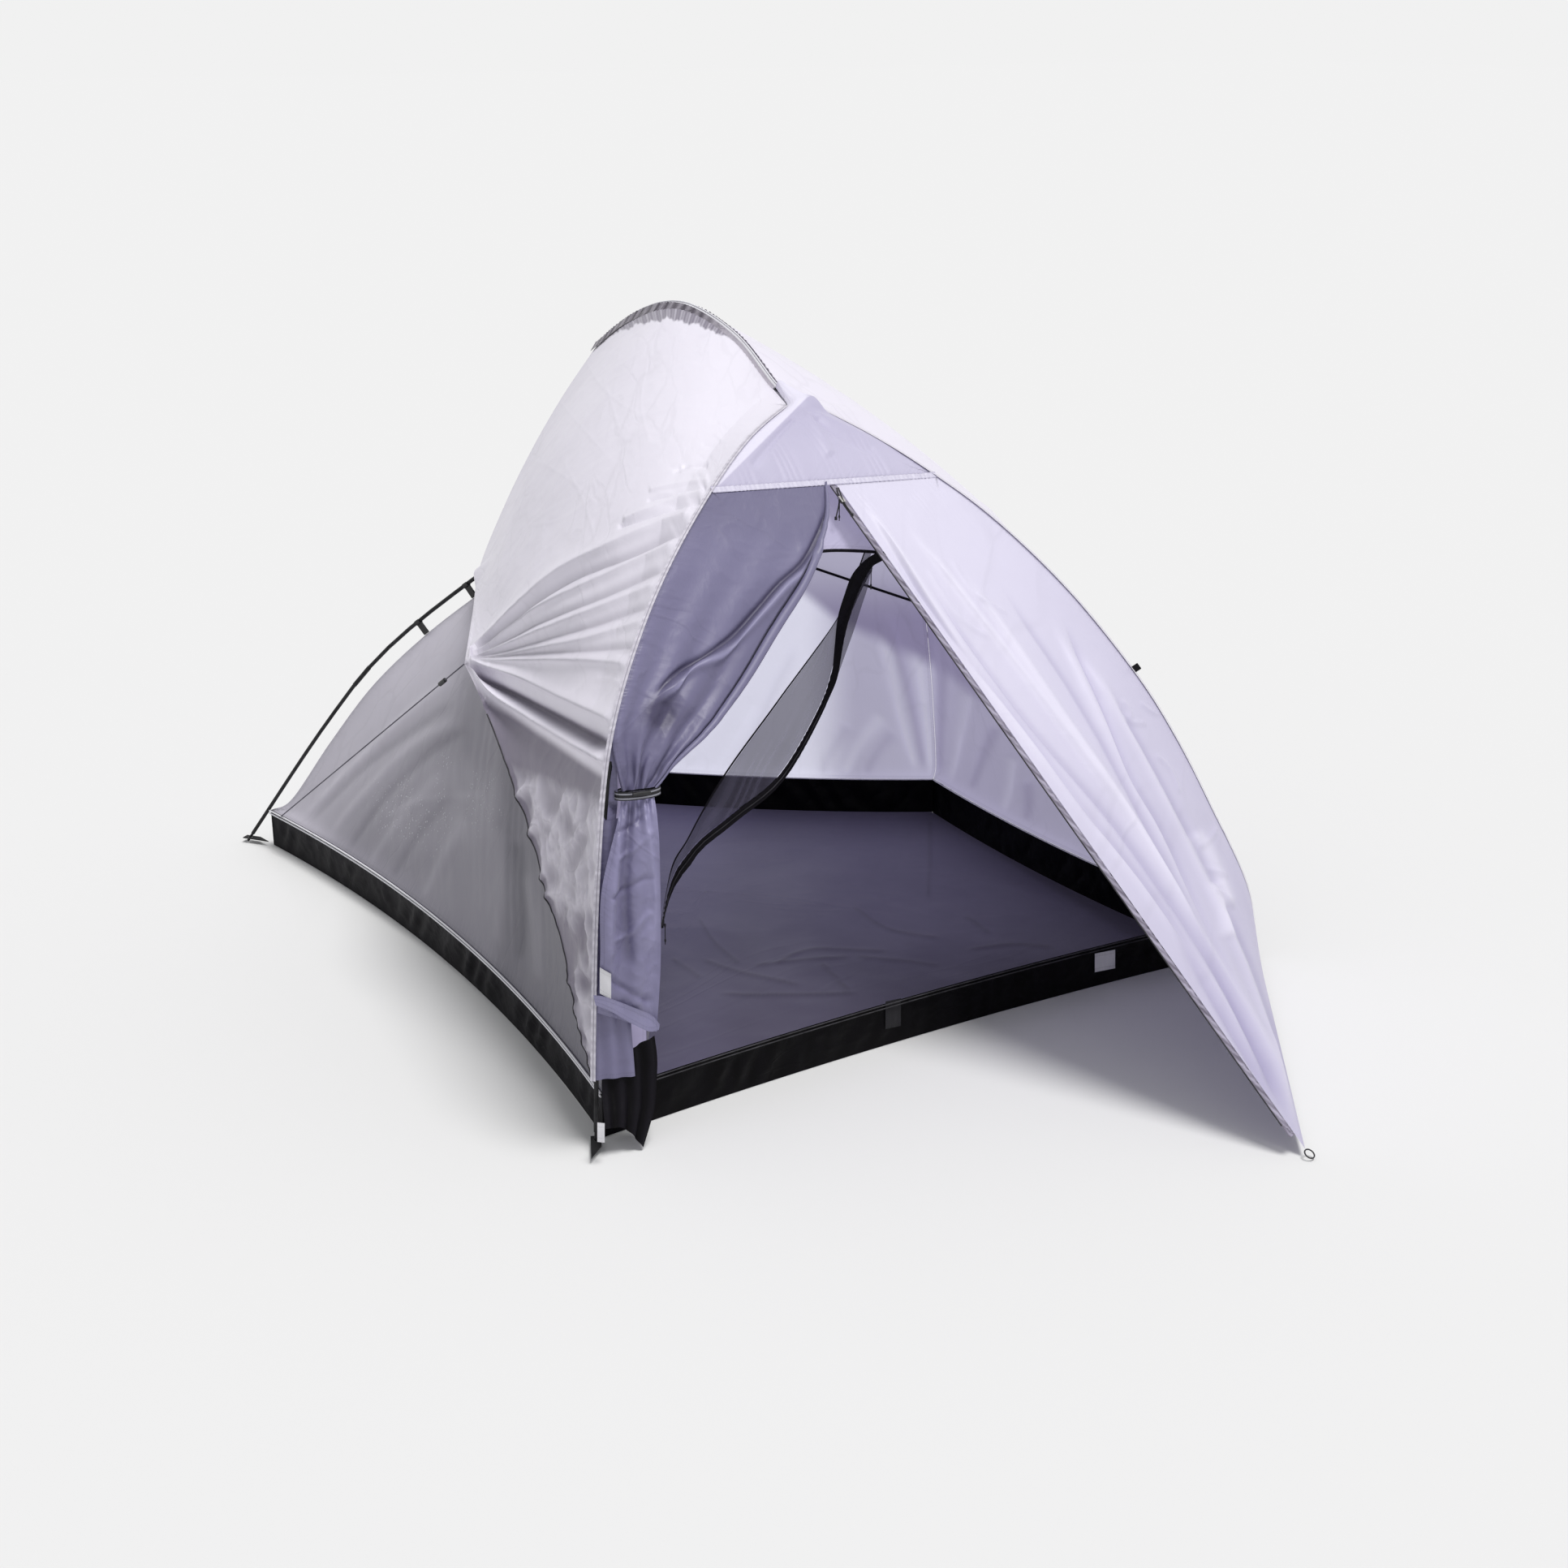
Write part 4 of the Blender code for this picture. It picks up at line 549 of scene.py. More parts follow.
def smooth(points, count=EDGE_STEPS):
    """A smooth curve through the points, as count points at even steps."""
    points = np.asarray(points, float)
    ends = np.vstack([2 * points[0] - points[1], points, 2 * points[-1] - points[-2]])
    dense = []
    for before, start, end, after in zip(ends[:-3], ends[1:-2], ends[2:-1], ends[3:]):
        for t in np.linspace(0, 1, 16, endpoint=False):
            bend = before - 2.5 * start + 2 * end - 0.5 * after
            turn = 1.5 * (start - end) + 0.5 * (after - before)
            dense.append(start + 0.5 * t * (end - before) + t * t * bend + t * t * t * turn)
    dense.append(points[-1])
    return evenly(dense, count)


def hollow(start, end, depth, count=EDGE_STEPS):
    """A line from start to end, bowed by depth at its middle."""
    t = np.linspace(0, 1, count)[:, None]
    return start + (end - start) * t + depth * 4 * t * (1 - t)


def between(curve, low, high):
    """The stretch of a rising curve between two heights."""
    dense = evenly(curve, 600)
    ends = [dense[np.searchsorted(dense[:, 2], height)] for height in (low, high)]
    middle = dense[(dense[:, 2] > low) & (dense[:, 2] < high)]
    return evenly(np.vstack([ends[0], middle, ends[1]]))


def raised(line, towards, lift):
    """A line in an upright plane, moved square to itself by lift, up and outwards."""
    along = unit_rows(np.gradient(line, axis=0))
    level = along @ towards
    square = level[:, None] * np.array((0, 0, 1)) - along[:, 2:3] * towards
    return line + lift * square


def pictured(points):
    """Where the camera sees points in space, in the picture's pixels."""
    away = np.asarray(points) - np.array(CAMERA_PLACE)
    scale = FOCAL_PIXELS / (away @ np.array(forward))
    across, rise = away @ np.array(right), away @ np.array(up)
    return np.stack([PHOTO_SIDE / 2 + across * scale, PHOTO_SIDE / 2 - rise * scale], axis=-1)


print("the door's corner is seen at", pictured(at(0, 0)).round())

# %% Floor corners, legs and ridge
SEAM = 0.0011
FLY_LIFT = 0.012
INNER_DROP = 0.032
BATHTUB_HEIGHT = 0.085
corner = {
    "front_left": at(0, 0), "front_right": at(1.40, 0), "right_rear": at(1.40, 0.98),
    "back": at(0.65, 1.615), "left_rear": at(0, 1.615),
}
hub = at(0.77, 0.60, 1.085)
LEGS = {
    "front_left": (0.03, (
        (0, 0), (0.02, 0.21), (0.05, 0.42), (0.11, 0.62), (0.25, 0.765), (0.45, 0.875),
        (0.72, 0.965), (1, 1),
    )),
    "left_rear": (0.067, (
        (0, 0), (0.17, 0.28), (0.29, 0.45), (0.45, 0.61), (0.62, 0.755), (0.82, 0.9), (1, 1),
    )),
    "front_right": (0.065, (
        (0, 0), (0.03, 0.135), (0.12, 0.29), (0.2, 0.415), (0.29, 0.53),
        (0.434, 0.675), (0.587, 0.795), (0.72, 0.875), (0.85, 0.94), (1, 1),
    )),
    "right_rear": (0.06, (
        (0, 0), (0.04, 0.21), (0.11, 0.43), (0.2, 0.6), (0.36, 0.765), (0.58, 0.88), (0.8, 0.96),
        (1, 1),
    )),
}
leg, fly_leg, inner_leg = {}, {}, {}
for name, (reach, bends) in LEGS.items():
    out = unit((corner[name] - hub) * (1, 1, 0))
    foot = corner[name] + reach * out + (0, 0, 0.002)
    leg[name] = smooth([foot + (hub - foot) * (run, run, rise) for run, rise in bends], 240)
    fly_leg[name] = raised(leg[name], -out, FLY_LIFT)
    inner_leg[name] = raised(leg[name], -out, -INNER_DROP)
RIDGE = ((0, 0), (0.1, 0.17), (0.27, 0.7), (0.47, 1), (0.63, 1), (0.81, 0.73), (1, 0.24))
back = unit(np.array((-0.063, 0.69, 0)))
ridge = smooth([hub + (s * -0.063, s * 0.69, h * 0.143) for s, h in RIDGE], 160)
side = {}
for name, start, end, bow in (
    ("front", "front_left", "front_right", 0.03), ("right", "front_right", "right_rear", 0.03),
    ("rear_right", "right_rear", "back", 0.04), ("rear_left", "back", "left_rear", 0.03),
    ("left", "left_rear", "front_left", 0.07),
):
    run = unit(corner[end] - corner[start])
    side[name] = hollow(corner[start], corner[end], bow * np.array((-run[1], run[0], 0)))
print(
    "leg lengths:", {name: round(float(distance_along(line)[-1]), 2) for name, line in leg.items()}
)

# %% Edges of the fly
def trimmed(line, clear):
    """The line up to where it comes within clear of the hub, in plan."""
    return line[np.linalg.norm((line - hub)[:, :2], axis=1) > clear]


def over_leg(name, low, high=None, short=0.0003):
    """The fly's line over a leg between two heights, or up to just short of its end."""
    return between(tops[name], low, tops[name][-1][2] - short if high is None else high)


BESIDE = np.array((back[1], -back[0], 0))
CREST_GAP = 0.00645
ZIP_STEP = 63
GATHER_HEIGHT = {"left": 1.005, "right": 0.957}
crest = ridge[(ridge - hub) @ back > 0.062]
tops = {name: trimmed(line, 0.045) for name, line in fly_leg.items()}
peg = at(0.958, -0.682, 0.013)
left_pull = at(0.108, 0.728, 0.636)
right_pull = at(1.36, 0.50, 0.62)
crest_edge, porch_side = {}, {}
for name, sign in (("left", -1), ("right", 1)):
    line = crest + sign * BESIDE * CREST_GAP
    over_hub = evenly([tops["front_" + name][-1], line[0]], 9)
    crest_edge[name] = np.vstack([over_hub, evenly(line, 80)[1:]])
    porch_side[name] = np.vstack([over_leg("front_" + name, GATHER_HEIGHT[name]), over_hub[1:]])
gathered = evenly([porch_side["left"][0], porch_side["right"][0]])
zip_top = gathered[ZIP_STEP]
zip_line = evenly([peg, zip_top])
print("porch seam:", round(float(np.linalg.norm(gathered[-1] - gathered[0])), 3), "m long")

# %% [markdown]
# ## From four edges to a panel
# A cloth panel is stretched between four edges, so a Coons patch gives its smooth shape: it blends
# the two pairs of opposite edges. A NURBS surface could do it too, but the patch passes exactly
# through the seams. Folds are then added along the surface's own normals.

# %% Panels
MIDDLE = np.array((0, 0, 0.45))
TO_THE_DOOR = np.array((0, -1, 0.3))


def patch(bottom, right, top, left):
    """The surface between four edges; bottom and top run left to right, the sides upwards."""

    def on(edge, share):
        steps = np.linspace(0, 1, len(edge))
        return np.stack([np.interp(share, steps, edge[:, k]) for k in range(3)], axis=-1)

    def surface(u, v):
        rise = (1 - v)[..., None] * on(bottom, u) + v[..., None] * on(top, u)
        cross = (1 - u)[..., None] * on(left, v) + u[..., None] * on(right, v)
        ends = ((1 - u) * (1 - v))[..., None] * bottom[0] + (u * (1 - v))[..., None] * bottom[-1]
        ends = ends + ((1 - u) * v)[..., None] * top[0] + (u * v)[..., None] * top[-1]
        return rise + cross - ends

    return surface


def grid_of(edges, rows, cols, low=0.0, first=0.0, last=1.0, inset=SEAM):
    """Points over the surface between four edges, a seam's width inside them, and their shares."""
    surface = patch(*edges)
    u = np.linspace(first, last, cols)[None, :] + np.zeros((rows, 1))
    v = low + (1 - low) * np.linspace(0, 1, rows)[:, None] + 0 * u
    grid = surface(u, v)
    width = np.linalg.norm(np.diff(grid, axis=1), axis=2).sum(axis=1)[:, None]
    height = np.linalg.norm(np.diff(grid, axis=0), axis=2).sum(axis=0)[None, :]
    cut_u = inset / width * (last - first)
    cut_v = inset / height * (1 - low)
    u = first + cut_u + (last - first - 2 * cut_u) * np.linspace(0, 1, cols)[None, :]
    v = low + cut_v + (1 - low - 2 * cut_v) * np.linspace(0, 1, rows)[:, None]
    return surface(u, v), u, v


def normals_of(grid):
    return unit_rows(np.cross(np.gradient(grid, axis=1), np.gradient(grid, axis=0)))


def folded(grid, depth):
    """The grid moved along its normals by depth, a number for each point."""
    return grid + normals_of(grid) * depth[..., None]


def middle_of(grid):
    return grid[grid.shape[0] // 2, grid.shape[1] // 2]


def faces(grid, way):
    """1 where the normal at a grid's middle points along a direction, otherwise -1."""
    return 1 if middle_of(normals_of(grid)) @ np.asarray(way) > 0 else -1


def outward(grid):
    """1 where a grid's normals point away from the tent's middle, otherwise -1."""
    return faces(grid, middle_of(grid) - MIDDLE)


def turn_sheet(made, grid, way):
    """Turns a sheet's faces to look along a direction; a glow shows on that side alone."""
    if faces(grid, way) < 0:
        made.data.flip_normals()


def rising(share, rate):
    """0 where a share is 0, up to 1, which a higher rate reaches sooner."""
    return np.clip(rate * share, 0, 1)


def ends_held(share, rate):
    """0 at both ends of a share and 1 between them."""
    return rising(np.minimum(share, 1 - share), rate)


print("a panel is a grid of points with rows, columns and three coordinates")

# %% Sheets as meshes
def measured(grid):
    """Metres across and up the sheet at each point."""
    across = np.linalg.norm(np.diff(grid, axis=1), axis=2).cumsum(axis=1)
    climb = np.linalg.norm(np.diff(grid, axis=0), axis=2).cumsum(axis=0)
    return np.pad(across, ((0, 0), (1, 0))), np.pad(climb, ((1, 0), (0, 0)))


def edge_map(across, climb, sides):
    """Metres along the nearest sewn edge and away from it; sides names the edges, such as 'bl'."""
    along = np.zeros_like(across)
    off = np.full_like(across, 9.0)
    choices = {"l": (climb, across), "r": (climb, across[:, -1:] - across),
               "b": (across, climb), "t": (across, climb[-1:, :] - climb)}
    for key in sides:
        run, away = choices[key]
        nearer = away < off
        along = np.where(nearer, run, along)
        off = np.where(nearer, away, off)
    return along, off


def sheet_mesh(name, grid, skin, sides="", tone=1.0, wet=0.0):
    """A cloth panel as a mesh object, with its two maps and its tone."""
    rows, cols = grid.shape[:2]
    index = np.arange(rows * cols).reshape(rows, cols)
    quads = [index[:-1, :-1], index[:-1, 1:], index[1:, 1:], index[1:, :-1]]
    quads = np.stack(quads, axis=-1).reshape(-1, 4)
    mesh = bpy.data.meshes.new(name)
    mesh.from_pydata(grid.reshape(-1, 3).tolist(), [], quads.tolist())
    mesh.polygons.foreach_set("use_smooth", np.ones(len(quads), bool))
    corners = np.empty(len(mesh.loops), np.int32)
    mesh.loops.foreach_get("vertex_index", corners)
    across, climb = measured(grid)
    for label, pair in (("cloth", (across, climb)), ("edge", edge_map(across, climb, sides))):
        flat = np.stack([pair[0].reshape(-1)[corners], pair[1].reshape(-1)[corners]], axis=1)
        mesh.uv_layers.new(name=label).data.foreach_set("uv", flat.astype(np.float32).ravel())
    for label, value in (("tone", tone), ("wet", wet)):
        values = np.broadcast_to(np.asarray(value, np.float32), (rows, cols)).ravel()
        mesh.attributes.new(label, "FLOAT", "POINT").data.foreach_set("value", values.copy())
    made = bpy.data.objects.new(name, mesh)
    bpy.context.scene.collection.objects.link(made)
    mesh.materials.append(skin)
    return made


def area_of(grid):
    """Square metres of a grid."""
    first = np.cross(grid[:-1, 1:] - grid[:-1, :-1], grid[1:, 1:] - grid[:-1, :-1])
    second = np.cross(grid[1:, 1:] - grid[:-1, :-1], grid[1:, :-1] - grid[:-1, :-1])
    return float(np.linalg.norm(first, axis=2).sum() + np.linalg.norm(second, axis=2).sum()) / 2


def hang(made, flat_grid, nodes):
    """The panel rides on the tent and stands for its CAD nodes, which are hidden; its cut size is
    printed.
    """
    across, climb = measured(flat_grid)
    area = area_of(flat_grid)
    width = float(across[:, -1].max())
    length = max(float(np.median(climb[-1])), area / width)
    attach(made, "tent")
    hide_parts(*nodes)
    print(made.name, "cut", round(width, 2), "x", round(length, 2), "m, area", round(area, 2))


print("sheets carry the maps cloth and edge, and the values tone and wet")

# %% Folds that follow paths in the picture
def beside(places, path):
    """How far places in the picture lie from a path, how far along it, and on which side."""
    flat = np.pad(np.asarray(path, float), ((0, 0), (0, 1)))
    line = (smooth(flat, 31) if len(path) > 2 else evenly(flat, 3))[:, :2]
    nearest = np.full(places.shape[:-1], 1e9)
    share, side_of = np.zeros_like(nearest), np.zeros_like(nearest)
    for k, (start, end) in enumerate(zip(line[:-1], line[1:])):
        run = end - start
        away = places - start
        t = np.clip((away @ run) / (run @ run), 0, 1)
        gap = np.linalg.norm(away - t[..., None] * run, axis=-1)
        closer = gap < nearest
        nearest = np.where(closer, gap, nearest)
        share = np.where(closer, (k + t) / (len(line) - 1), share)
        side_of = np.where(closer, run[0] * away[..., 1] - run[1] * away[..., 0], side_of)
    return nearest, share, np.sign(side_of)


def laid(places, folds, lead=0.12, sharp=2.0, lean=0.0):
    """Ridges along paths in the picture: each has its path, height, and width at both ends."""
    total = np.zeros(places.shape[:-1])
    for path, height, narrow, wide in folds:
        off, share, side_of = beside(places, path)
        width = (narrow + (wide - narrow) * share) * (1 - lean * side_of)
        fade = step(share, 0, lead) * (1 - step(share, 1 - lead, 1))
        total += height * fade * np.exp(-((off / width) ** sharp))
    return total


def alike(paths, height, narrow, wide):
    """Folds of one height and width along several paths."""
    return [(path, height, narrow, wide) for path in paths]


def paths_of(folds):
    return [fold[0] for fold in folds]


def scaled_folds(folds, factor):
    """The folds with each height times a factor, which lays a tone where the folds are."""
    return [(path, factor * height, narrow, wide) for path, height, narrow, wide in folds]


def side_share(places, start, end, soft):
    """0 on the left of a line in the picture and 1 on its right, going from start to end."""
    run = np.array(end, float) - start
    away = places - np.array(start, float)
    off = (run[0] * away[..., 1] - run[1] * away[..., 0]) / np.linalg.norm(run)
    return step(off, -soft, soft)


def seen_on(grid, path, count, lift=0.0):
    """Points on a sheet where the camera sees a path, lifted towards the camera."""
    places = pictured(grid).reshape(-1, 2)
    points = grid.reshape(-1, 3)
    flat = np.pad(np.asarray(path, float), ((0, 0), (0, 1)))
    wanted = (smooth(flat, count) if len(path) > 2 else evenly(flat, count))[:, :2]
    depths = (points - np.array(CAMERA_PLACE)) @ np.array(forward)
    found = []
    for spot in wanted:
        gaps = np.linalg.norm(places - spot, axis=1)
        best = np.argsort(gaps)[:6]
        weight = 1 / (gaps[best] + 0.05)
        depth = (depths[best] * weight).sum() / weight.sum() - lift
        across = (spot[0] - PHOTO_SIDE / 2) / FOCAL_PIXELS
        rise = (PHOTO_SIDE / 2 - spot[1]) / FOCAL_PIXELS
        ray = np.array(forward) + np.array(right) * across + np.array(up) * rise
        found.append(np.array(CAMERA_PLACE) + ray * depth)
    return np.array(found)


def fold_between(grid, start, end, depth, width):
    """A straight fold between two places on a sheet, given as column and row shares."""
    rows, cols = grid.shape[0] - 1, grid.shape[1] - 1
    a, b = (grid[int(round(p[1] * rows)), int(round(p[0] * cols))] for p in (start, end))
    run = b - a
    along = np.clip(((grid - a) @ run) / (run @ run), -0.5, 1.5)
    square = unit_rows(np.cross(normals_of(grid), unit(run)))
    off = ((grid - a - along[..., None] * run) * square).sum(axis=2)
    wide = width * (0.45 + 0.55 * np.clip(along, 0, 1))
    swell = np.clip(1 - (2 * along - 1) ** 2, 0, 1) ** 0.8
    return depth * swell * np.exp(-np.abs(off / wide) ** 1.4)


def ripples(grid, heading, period, depth, seed, wander=0.35):
    """Uneven parallel folds that run along a heading in space."""
    square = unit_rows(np.cross(normals_of(grid), unit(np.array(heading, float))))
    middle = grid.reshape(-1, 3).mean(axis=0)
    off = ((grid - middle) * square).sum(axis=2) / period
    rng = np.random.default_rng(seed)
    phase = rng.uniform(0, 6, 4)
    along = (grid - middle) @ unit(np.array(heading, float)) / period
    turn = off + wander * np.sin(1.7 * off + phase[0]) + 0.25 * wander * np.sin(
        0.9 * along + phase[1]
    )
    swell = 0.65 + 0.35 * np.sin(0.61 * off + 0.4 * along + phase[2])
    return depth * swell * np.sin(2 * math.pi * turn + phase[3])


def crumple(grid, size, depth, seed=0.0, octaves=4):
    """Sharp random creases over a sheet, as in nylon out of its bag."""
    flat = grid.reshape(-1, 3)
    start = Vector((seed, 0, 0))
    spots = [Vector(point / size) + start for point in flat]
    found = [noise.ridged_multi_fractal(spot, 0.9, 2.1, octaves, 0.9, 1.6) for spot in spots]
    found = np.array(found).reshape(grid.shape[:2])
    return depth * (found - found.mean())


def step(value, low, high):
    """0 at low and 1 at high, smooth between, whichever of the two is larger."""
    t = np.clip((value - low) / (high - low), 0, 1)
    return t * t * (3 - 2 * t)


def lift_over(grid, line, towards, lift, weight, flat=0.008, reach=0.09):
    """Cloth draped over a pole: points lower than lift above its line are raised, less far off."""
    square = unit_rows(raised(line, towards, 1) - line)
    points = grid.reshape(-1, 3)
    nearest = np.argmin(np.linalg.norm(points[:, None] - line[None], axis=2), axis=1)
    out = square[nearest]
    height = ((points - line[nearest]) * out).sum(axis=1)
    beside = np.linalg.norm(points - line[nearest] - height[:, None] * out, axis=1)
    fade = 1 - step(beside, flat, reach)
    moved = points + out * (np.maximum(0, lift - height) * fade * weight.reshape(-1))[:, None]
    return moved.reshape(grid.shape)


print("folds are heights added to a panel: laid along a path, in ripples or crumpled")

# %% [markdown]
# ## The hood
# The hood is the fly's rounded back part. Each half runs from a front leg's seam, over a rear leg,
# to the corner that a guy cord pulls out. The pull throws long folds across the panel to the seam,
# and the slack flank below them is crumpled. A simulation would choose its own folds, so each one
# is laid along the path where the picture shows it, and the other half gets the same folds mirrored
# along its own rows.

# %% Hood panels
SEAM_FOOT = 0.12


def hood_grid(front, rear, pull, over, crest_line, mirrored, rows, cols):
    """One half of the hood between its seam, its hem, its open rear edge and the crown."""
    seam = over_leg(front, SEAM_FOOT)
    top = between(fly_leg[rear], over, over + FLY_LIFT)[0]
    hem = hollow(seam[0], pull, 0.08 * np.array((0, 0, 1)))
    chord = unit(crest_line[-1] - top)
    out = (top + crest_line[-1]) / 2 - hub * (1, 1, 0.4)
    out = unit(out - chord * (out @ chord))
    drop = hollow(top, crest_line[-1], 0.02 * out, 5)[1:]
    edge = smooth([pull, (pull + top) / 2, top, *drop])
    edges = (hem[::-1], seam, crest_line[::-1], edge) if mirrored else (hem, edge, crest_line, seam)
    grid, u, v = grid_of(edges, rows, cols)
    away = 1 - u if mirrored else u
    towards = unit((hub - leg[rear][0]) * (1, 1, 0))
    return lift_over(grid, leg[rear], towards, FLY_LIFT, rising(away, 8)), away, v


left_flat, away, v = hood_grid(
    "front_left", "left_rear", left_pull, 0.70, crest_edge["left"], False, 330, 300
)
places = pictured(left_flat)
hood_free = rising(away, 40) * rising(1 - away, 20) * rising(1 - v, 12)
print("hood half:", left_flat.shape[:2], "points")

# %% Long folds of the left half
PULLED = (572, 817)
HOOD_RIDGES = (
    ((PULLED, (676, 716), (768, 668), (862, 632)), 0.012, 4, 11),
    ((PULLED, (661, 752), (745, 712), (842, 668)), 0.009, 4, 9),
    ((PULLED, (670, 776), (745, 748), (824, 716)), 0.007, 4, 9),
    ((PULLED, (660, 800), (730, 786), (804, 763)), 0.005, 4, 8),
    ((PULLED, (650, 814), (720, 815), (792, 822)), 0.008, 4, 12),
    ((PULLED, (640, 834), (700, 862), (764, 892)), 0.012, 4, 12),
    ((PULLED, (600, 850), (650, 881), (690, 906), (750, 941)), 0.016, 3, 8),
    (((768, 642), (806, 628), (868, 606)), 0.006, 3, 8),
    (((800, 606), (826, 600), (874, 592)), 0.004, 3, 6),
)
HOOD_VALLEYS = (
    ((PULLED, (688, 722), (776, 684), (854, 648)), -0.010, 3, 6),
    ((PULLED, (668, 765), (750, 731), (832, 692)), -0.008, 3, 6),
    ((PULLED, (664, 790), (736, 768), (812, 741)), -0.006, 3, 6),
    ((PULLED, (650, 806), (720, 802), (798, 796)), -0.005, 3, 6),
    ((PULLED, (600, 838), (650, 867), (702, 896), (752, 922)), -0.020, 3, 9),
    (((596, 862), (650, 906), (748, 970)), -0.012, 8, 20),
    (((762, 650), (800, 638), (864, 618)), -0.007, 2, 5),
    (((798, 618), (822, 612), (870, 600)), -0.004, 2, 4),
    (((830, 582), (850, 574), (872, 574)), -0.004, 2, 4),
)
CRINKLES = (
    ((911, 474), (920, 476), (928, 487)), ((879, 517), (888, 524), (896, 531)),
    ((884, 505), (898, 500), (911, 507)), ((873, 519), (880, 521), (887, 520)),
    ((838, 571), (840, 578), (841, 585)), ((821, 576), (836, 578), (853, 575)),
    ((804, 612), (822, 609), (844, 615)), ((795, 630), (822, 624), (844, 626)),
    ((878, 535), (886, 540), (892, 548)), ((858, 560), (868, 566), (880, 563)),
    ((852, 590), (862, 584), (870, 590)), ((862, 545), (872, 550), (884, 552)),
    ((830, 742), (812, 752), (796, 756)), ((800, 800), (782, 806), (756, 806)),
    ((774, 846), (756, 838), (728, 836)),
)
FINE_LINES = (
    ((668, 470), (720, 530), (764, 580)), ((708, 420), (745, 480), (800, 520)),
    ((648, 560), (700, 590), (756, 640)), ((690, 560), (720, 620), (740, 690)),
    ((740, 455), (760, 520), (768, 560)), ((800, 430), (790, 500), (806, 560)),
    ((612, 690), (660, 640), (712, 610)), ((630, 650), (690, 640), (750, 600)),
    ((760, 600), (800, 560), (850, 520)),
)
depth = laid(places, HOOD_RIDGES, 0.03, 1.35, 0.5) + laid(places, HOOD_VALLEYS, 0.03, 1.35)
depth += laid(places, alike(CRINKLES[::2], 0.0016, 2.4, 3.2), 0.3, 1.3, 0.4)
depth -= laid(places, alike(CRINKLES[1::2], 0.0016, 2.4, 3.2), 0.3, 1.3, 0.4)
depth += laid(places, alike(FINE_LINES, 0.0006, 1.6, 1.6), 0.3, 1.2)
flank = side_share(places, (600, 862), (740, 960), 7) * (places[..., 0] < 760)
rough = side_share(places, (625, 942), (742, 990), 12) * (places[..., 0] < 760)
depth += crumple(left_flat, 0.06, 0.010, 2.0, 3) * rough + crumple(left_flat, 0.2, 0.0012, 5.0)
depth += crumple(left_flat, 0.05, 0.0007, 8.0)
CROWN_BAND = ((735, 424), (757, 401), (799, 384), (831, 381), (872, 394), (910, 418))
off, share, _ = beside(places, CROWN_BAND)
teeth = 1 + 0.07 * np.sin(share * 170) + 0.12 * np.sin(share * 59) + 0.08 * np.sin(share * 31 + 1)
reach = 13 * np.sqrt(np.sin(math.pi * np.clip(share, 0.02, 0.98))) * teeth
crown_band = step(off, reach + 1.5, reach - 1.5) * (share > 0.01) * (share < 0.99)
depth += crown_band * (0.0015 * np.sin(share * 260) + 0.0012 * np.sin(share * 151))
hood_left = folded(left_flat, outward(left_flat) * depth * hood_free)
print(
    "folds:", len(HOOD_RIDGES) + len(HOOD_VALLEYS), "deepest",
    round(float(np.abs(depth).max()) * 1000), "mm"
)

# %% Painted light and shade of the left half
# Painted shade: darker lower down and towards the open edge, on the slack flank, in the fold
# valleys and along the hem; painted highlights on a ridge and on the crumples.
tone = 0.98 - 0.05 * step(v, 0.75, 0.35) - 0.06 * step(away, 0.6, 1.0)
tone = tone - 1.0 * flank * (1 - 0.55 * rough)
tone = tone + laid(places, alike(paths_of(HOOD_VALLEYS[:4]), -0.30, 3, 7))
tone = tone + laid(
    places, [((PULLED, (600, 838), (650, 867), (702, 896), (752, 922)), -1.1, 3, 10)]
)
tone = tone + laid(places, [((PULLED, (600, 851), (650, 882), (690, 907), (750, 942)), 0.5, 3, 6)])
tone = tone + laid(places, [(((640, 1130), (700, 1140), (716, 1230)), -0.3, 26, 30)])
tone = tone + rough * np.clip(crumple(left_flat, 0.06, 0.45, 2.0, 3), -0.45, 0.4)
tone = tone - 0.5 * step(v, 0.03, 0.012)
# Painted shade on the crown band's gathers, with flickering painted glints.
band_shade_and_glints = 0.12 + 0.3 * np.sin(share * 231) * np.sin(share * 97)
tone = tone * (1 - crown_band) + crown_band * band_shade_and_glints
made = sheet_mesh("hood_left", hood_left, skins["hood"], "lbrt", np.clip(tone, 0, 1))
hang(made, left_flat, ["fly_hood_left"])
foot_edge = hood_left[0][pictured(hood_left[0])[:, 0] > 600]

# %% Right half of the hood
MIRRORED_FOLDS = (
    ((0.02, 0.02), (0.97, 0.36), 0.014, 0.030), ((0.02, 0.02), (0.97, 0.42), -0.016, 0.026),
    ((0.02, 0.02), (0.97, 0.49), 0.012, 0.026), ((0.02, 0.02), (0.97, 0.30), -0.012, 0.026),
    ((0.05, 0.05), (0.97, 0.57), -0.007, 0.024), ((0.05, 0.06), (0.96, 0.64), 0.007, 0.026),
    ((0.10, 0.10), (0.96, 0.70), -0.006, 0.022), ((0.12, 0.14), (0.96, 0.76), 0.005, 0.022),
)
right_flat, away, v = hood_grid(
    "front_right", "right_rear", right_pull, 0.75, crest_edge["right"], True, 150, 130
)
free = rising(away, 30) * rising(1 - away, 20) * rising(1 - v, 12)
depth = 0.8 * sum(fold_between(right_flat, *fold) for fold in MIRRORED_FOLDS)
flank = step(v, 0.45, 0.2) * rising(v, 25)
depth += crumple(right_flat, 0.05, 0.0035, 9.0) * flank + crumple(right_flat, 0.16, 0.0012, 7.0)
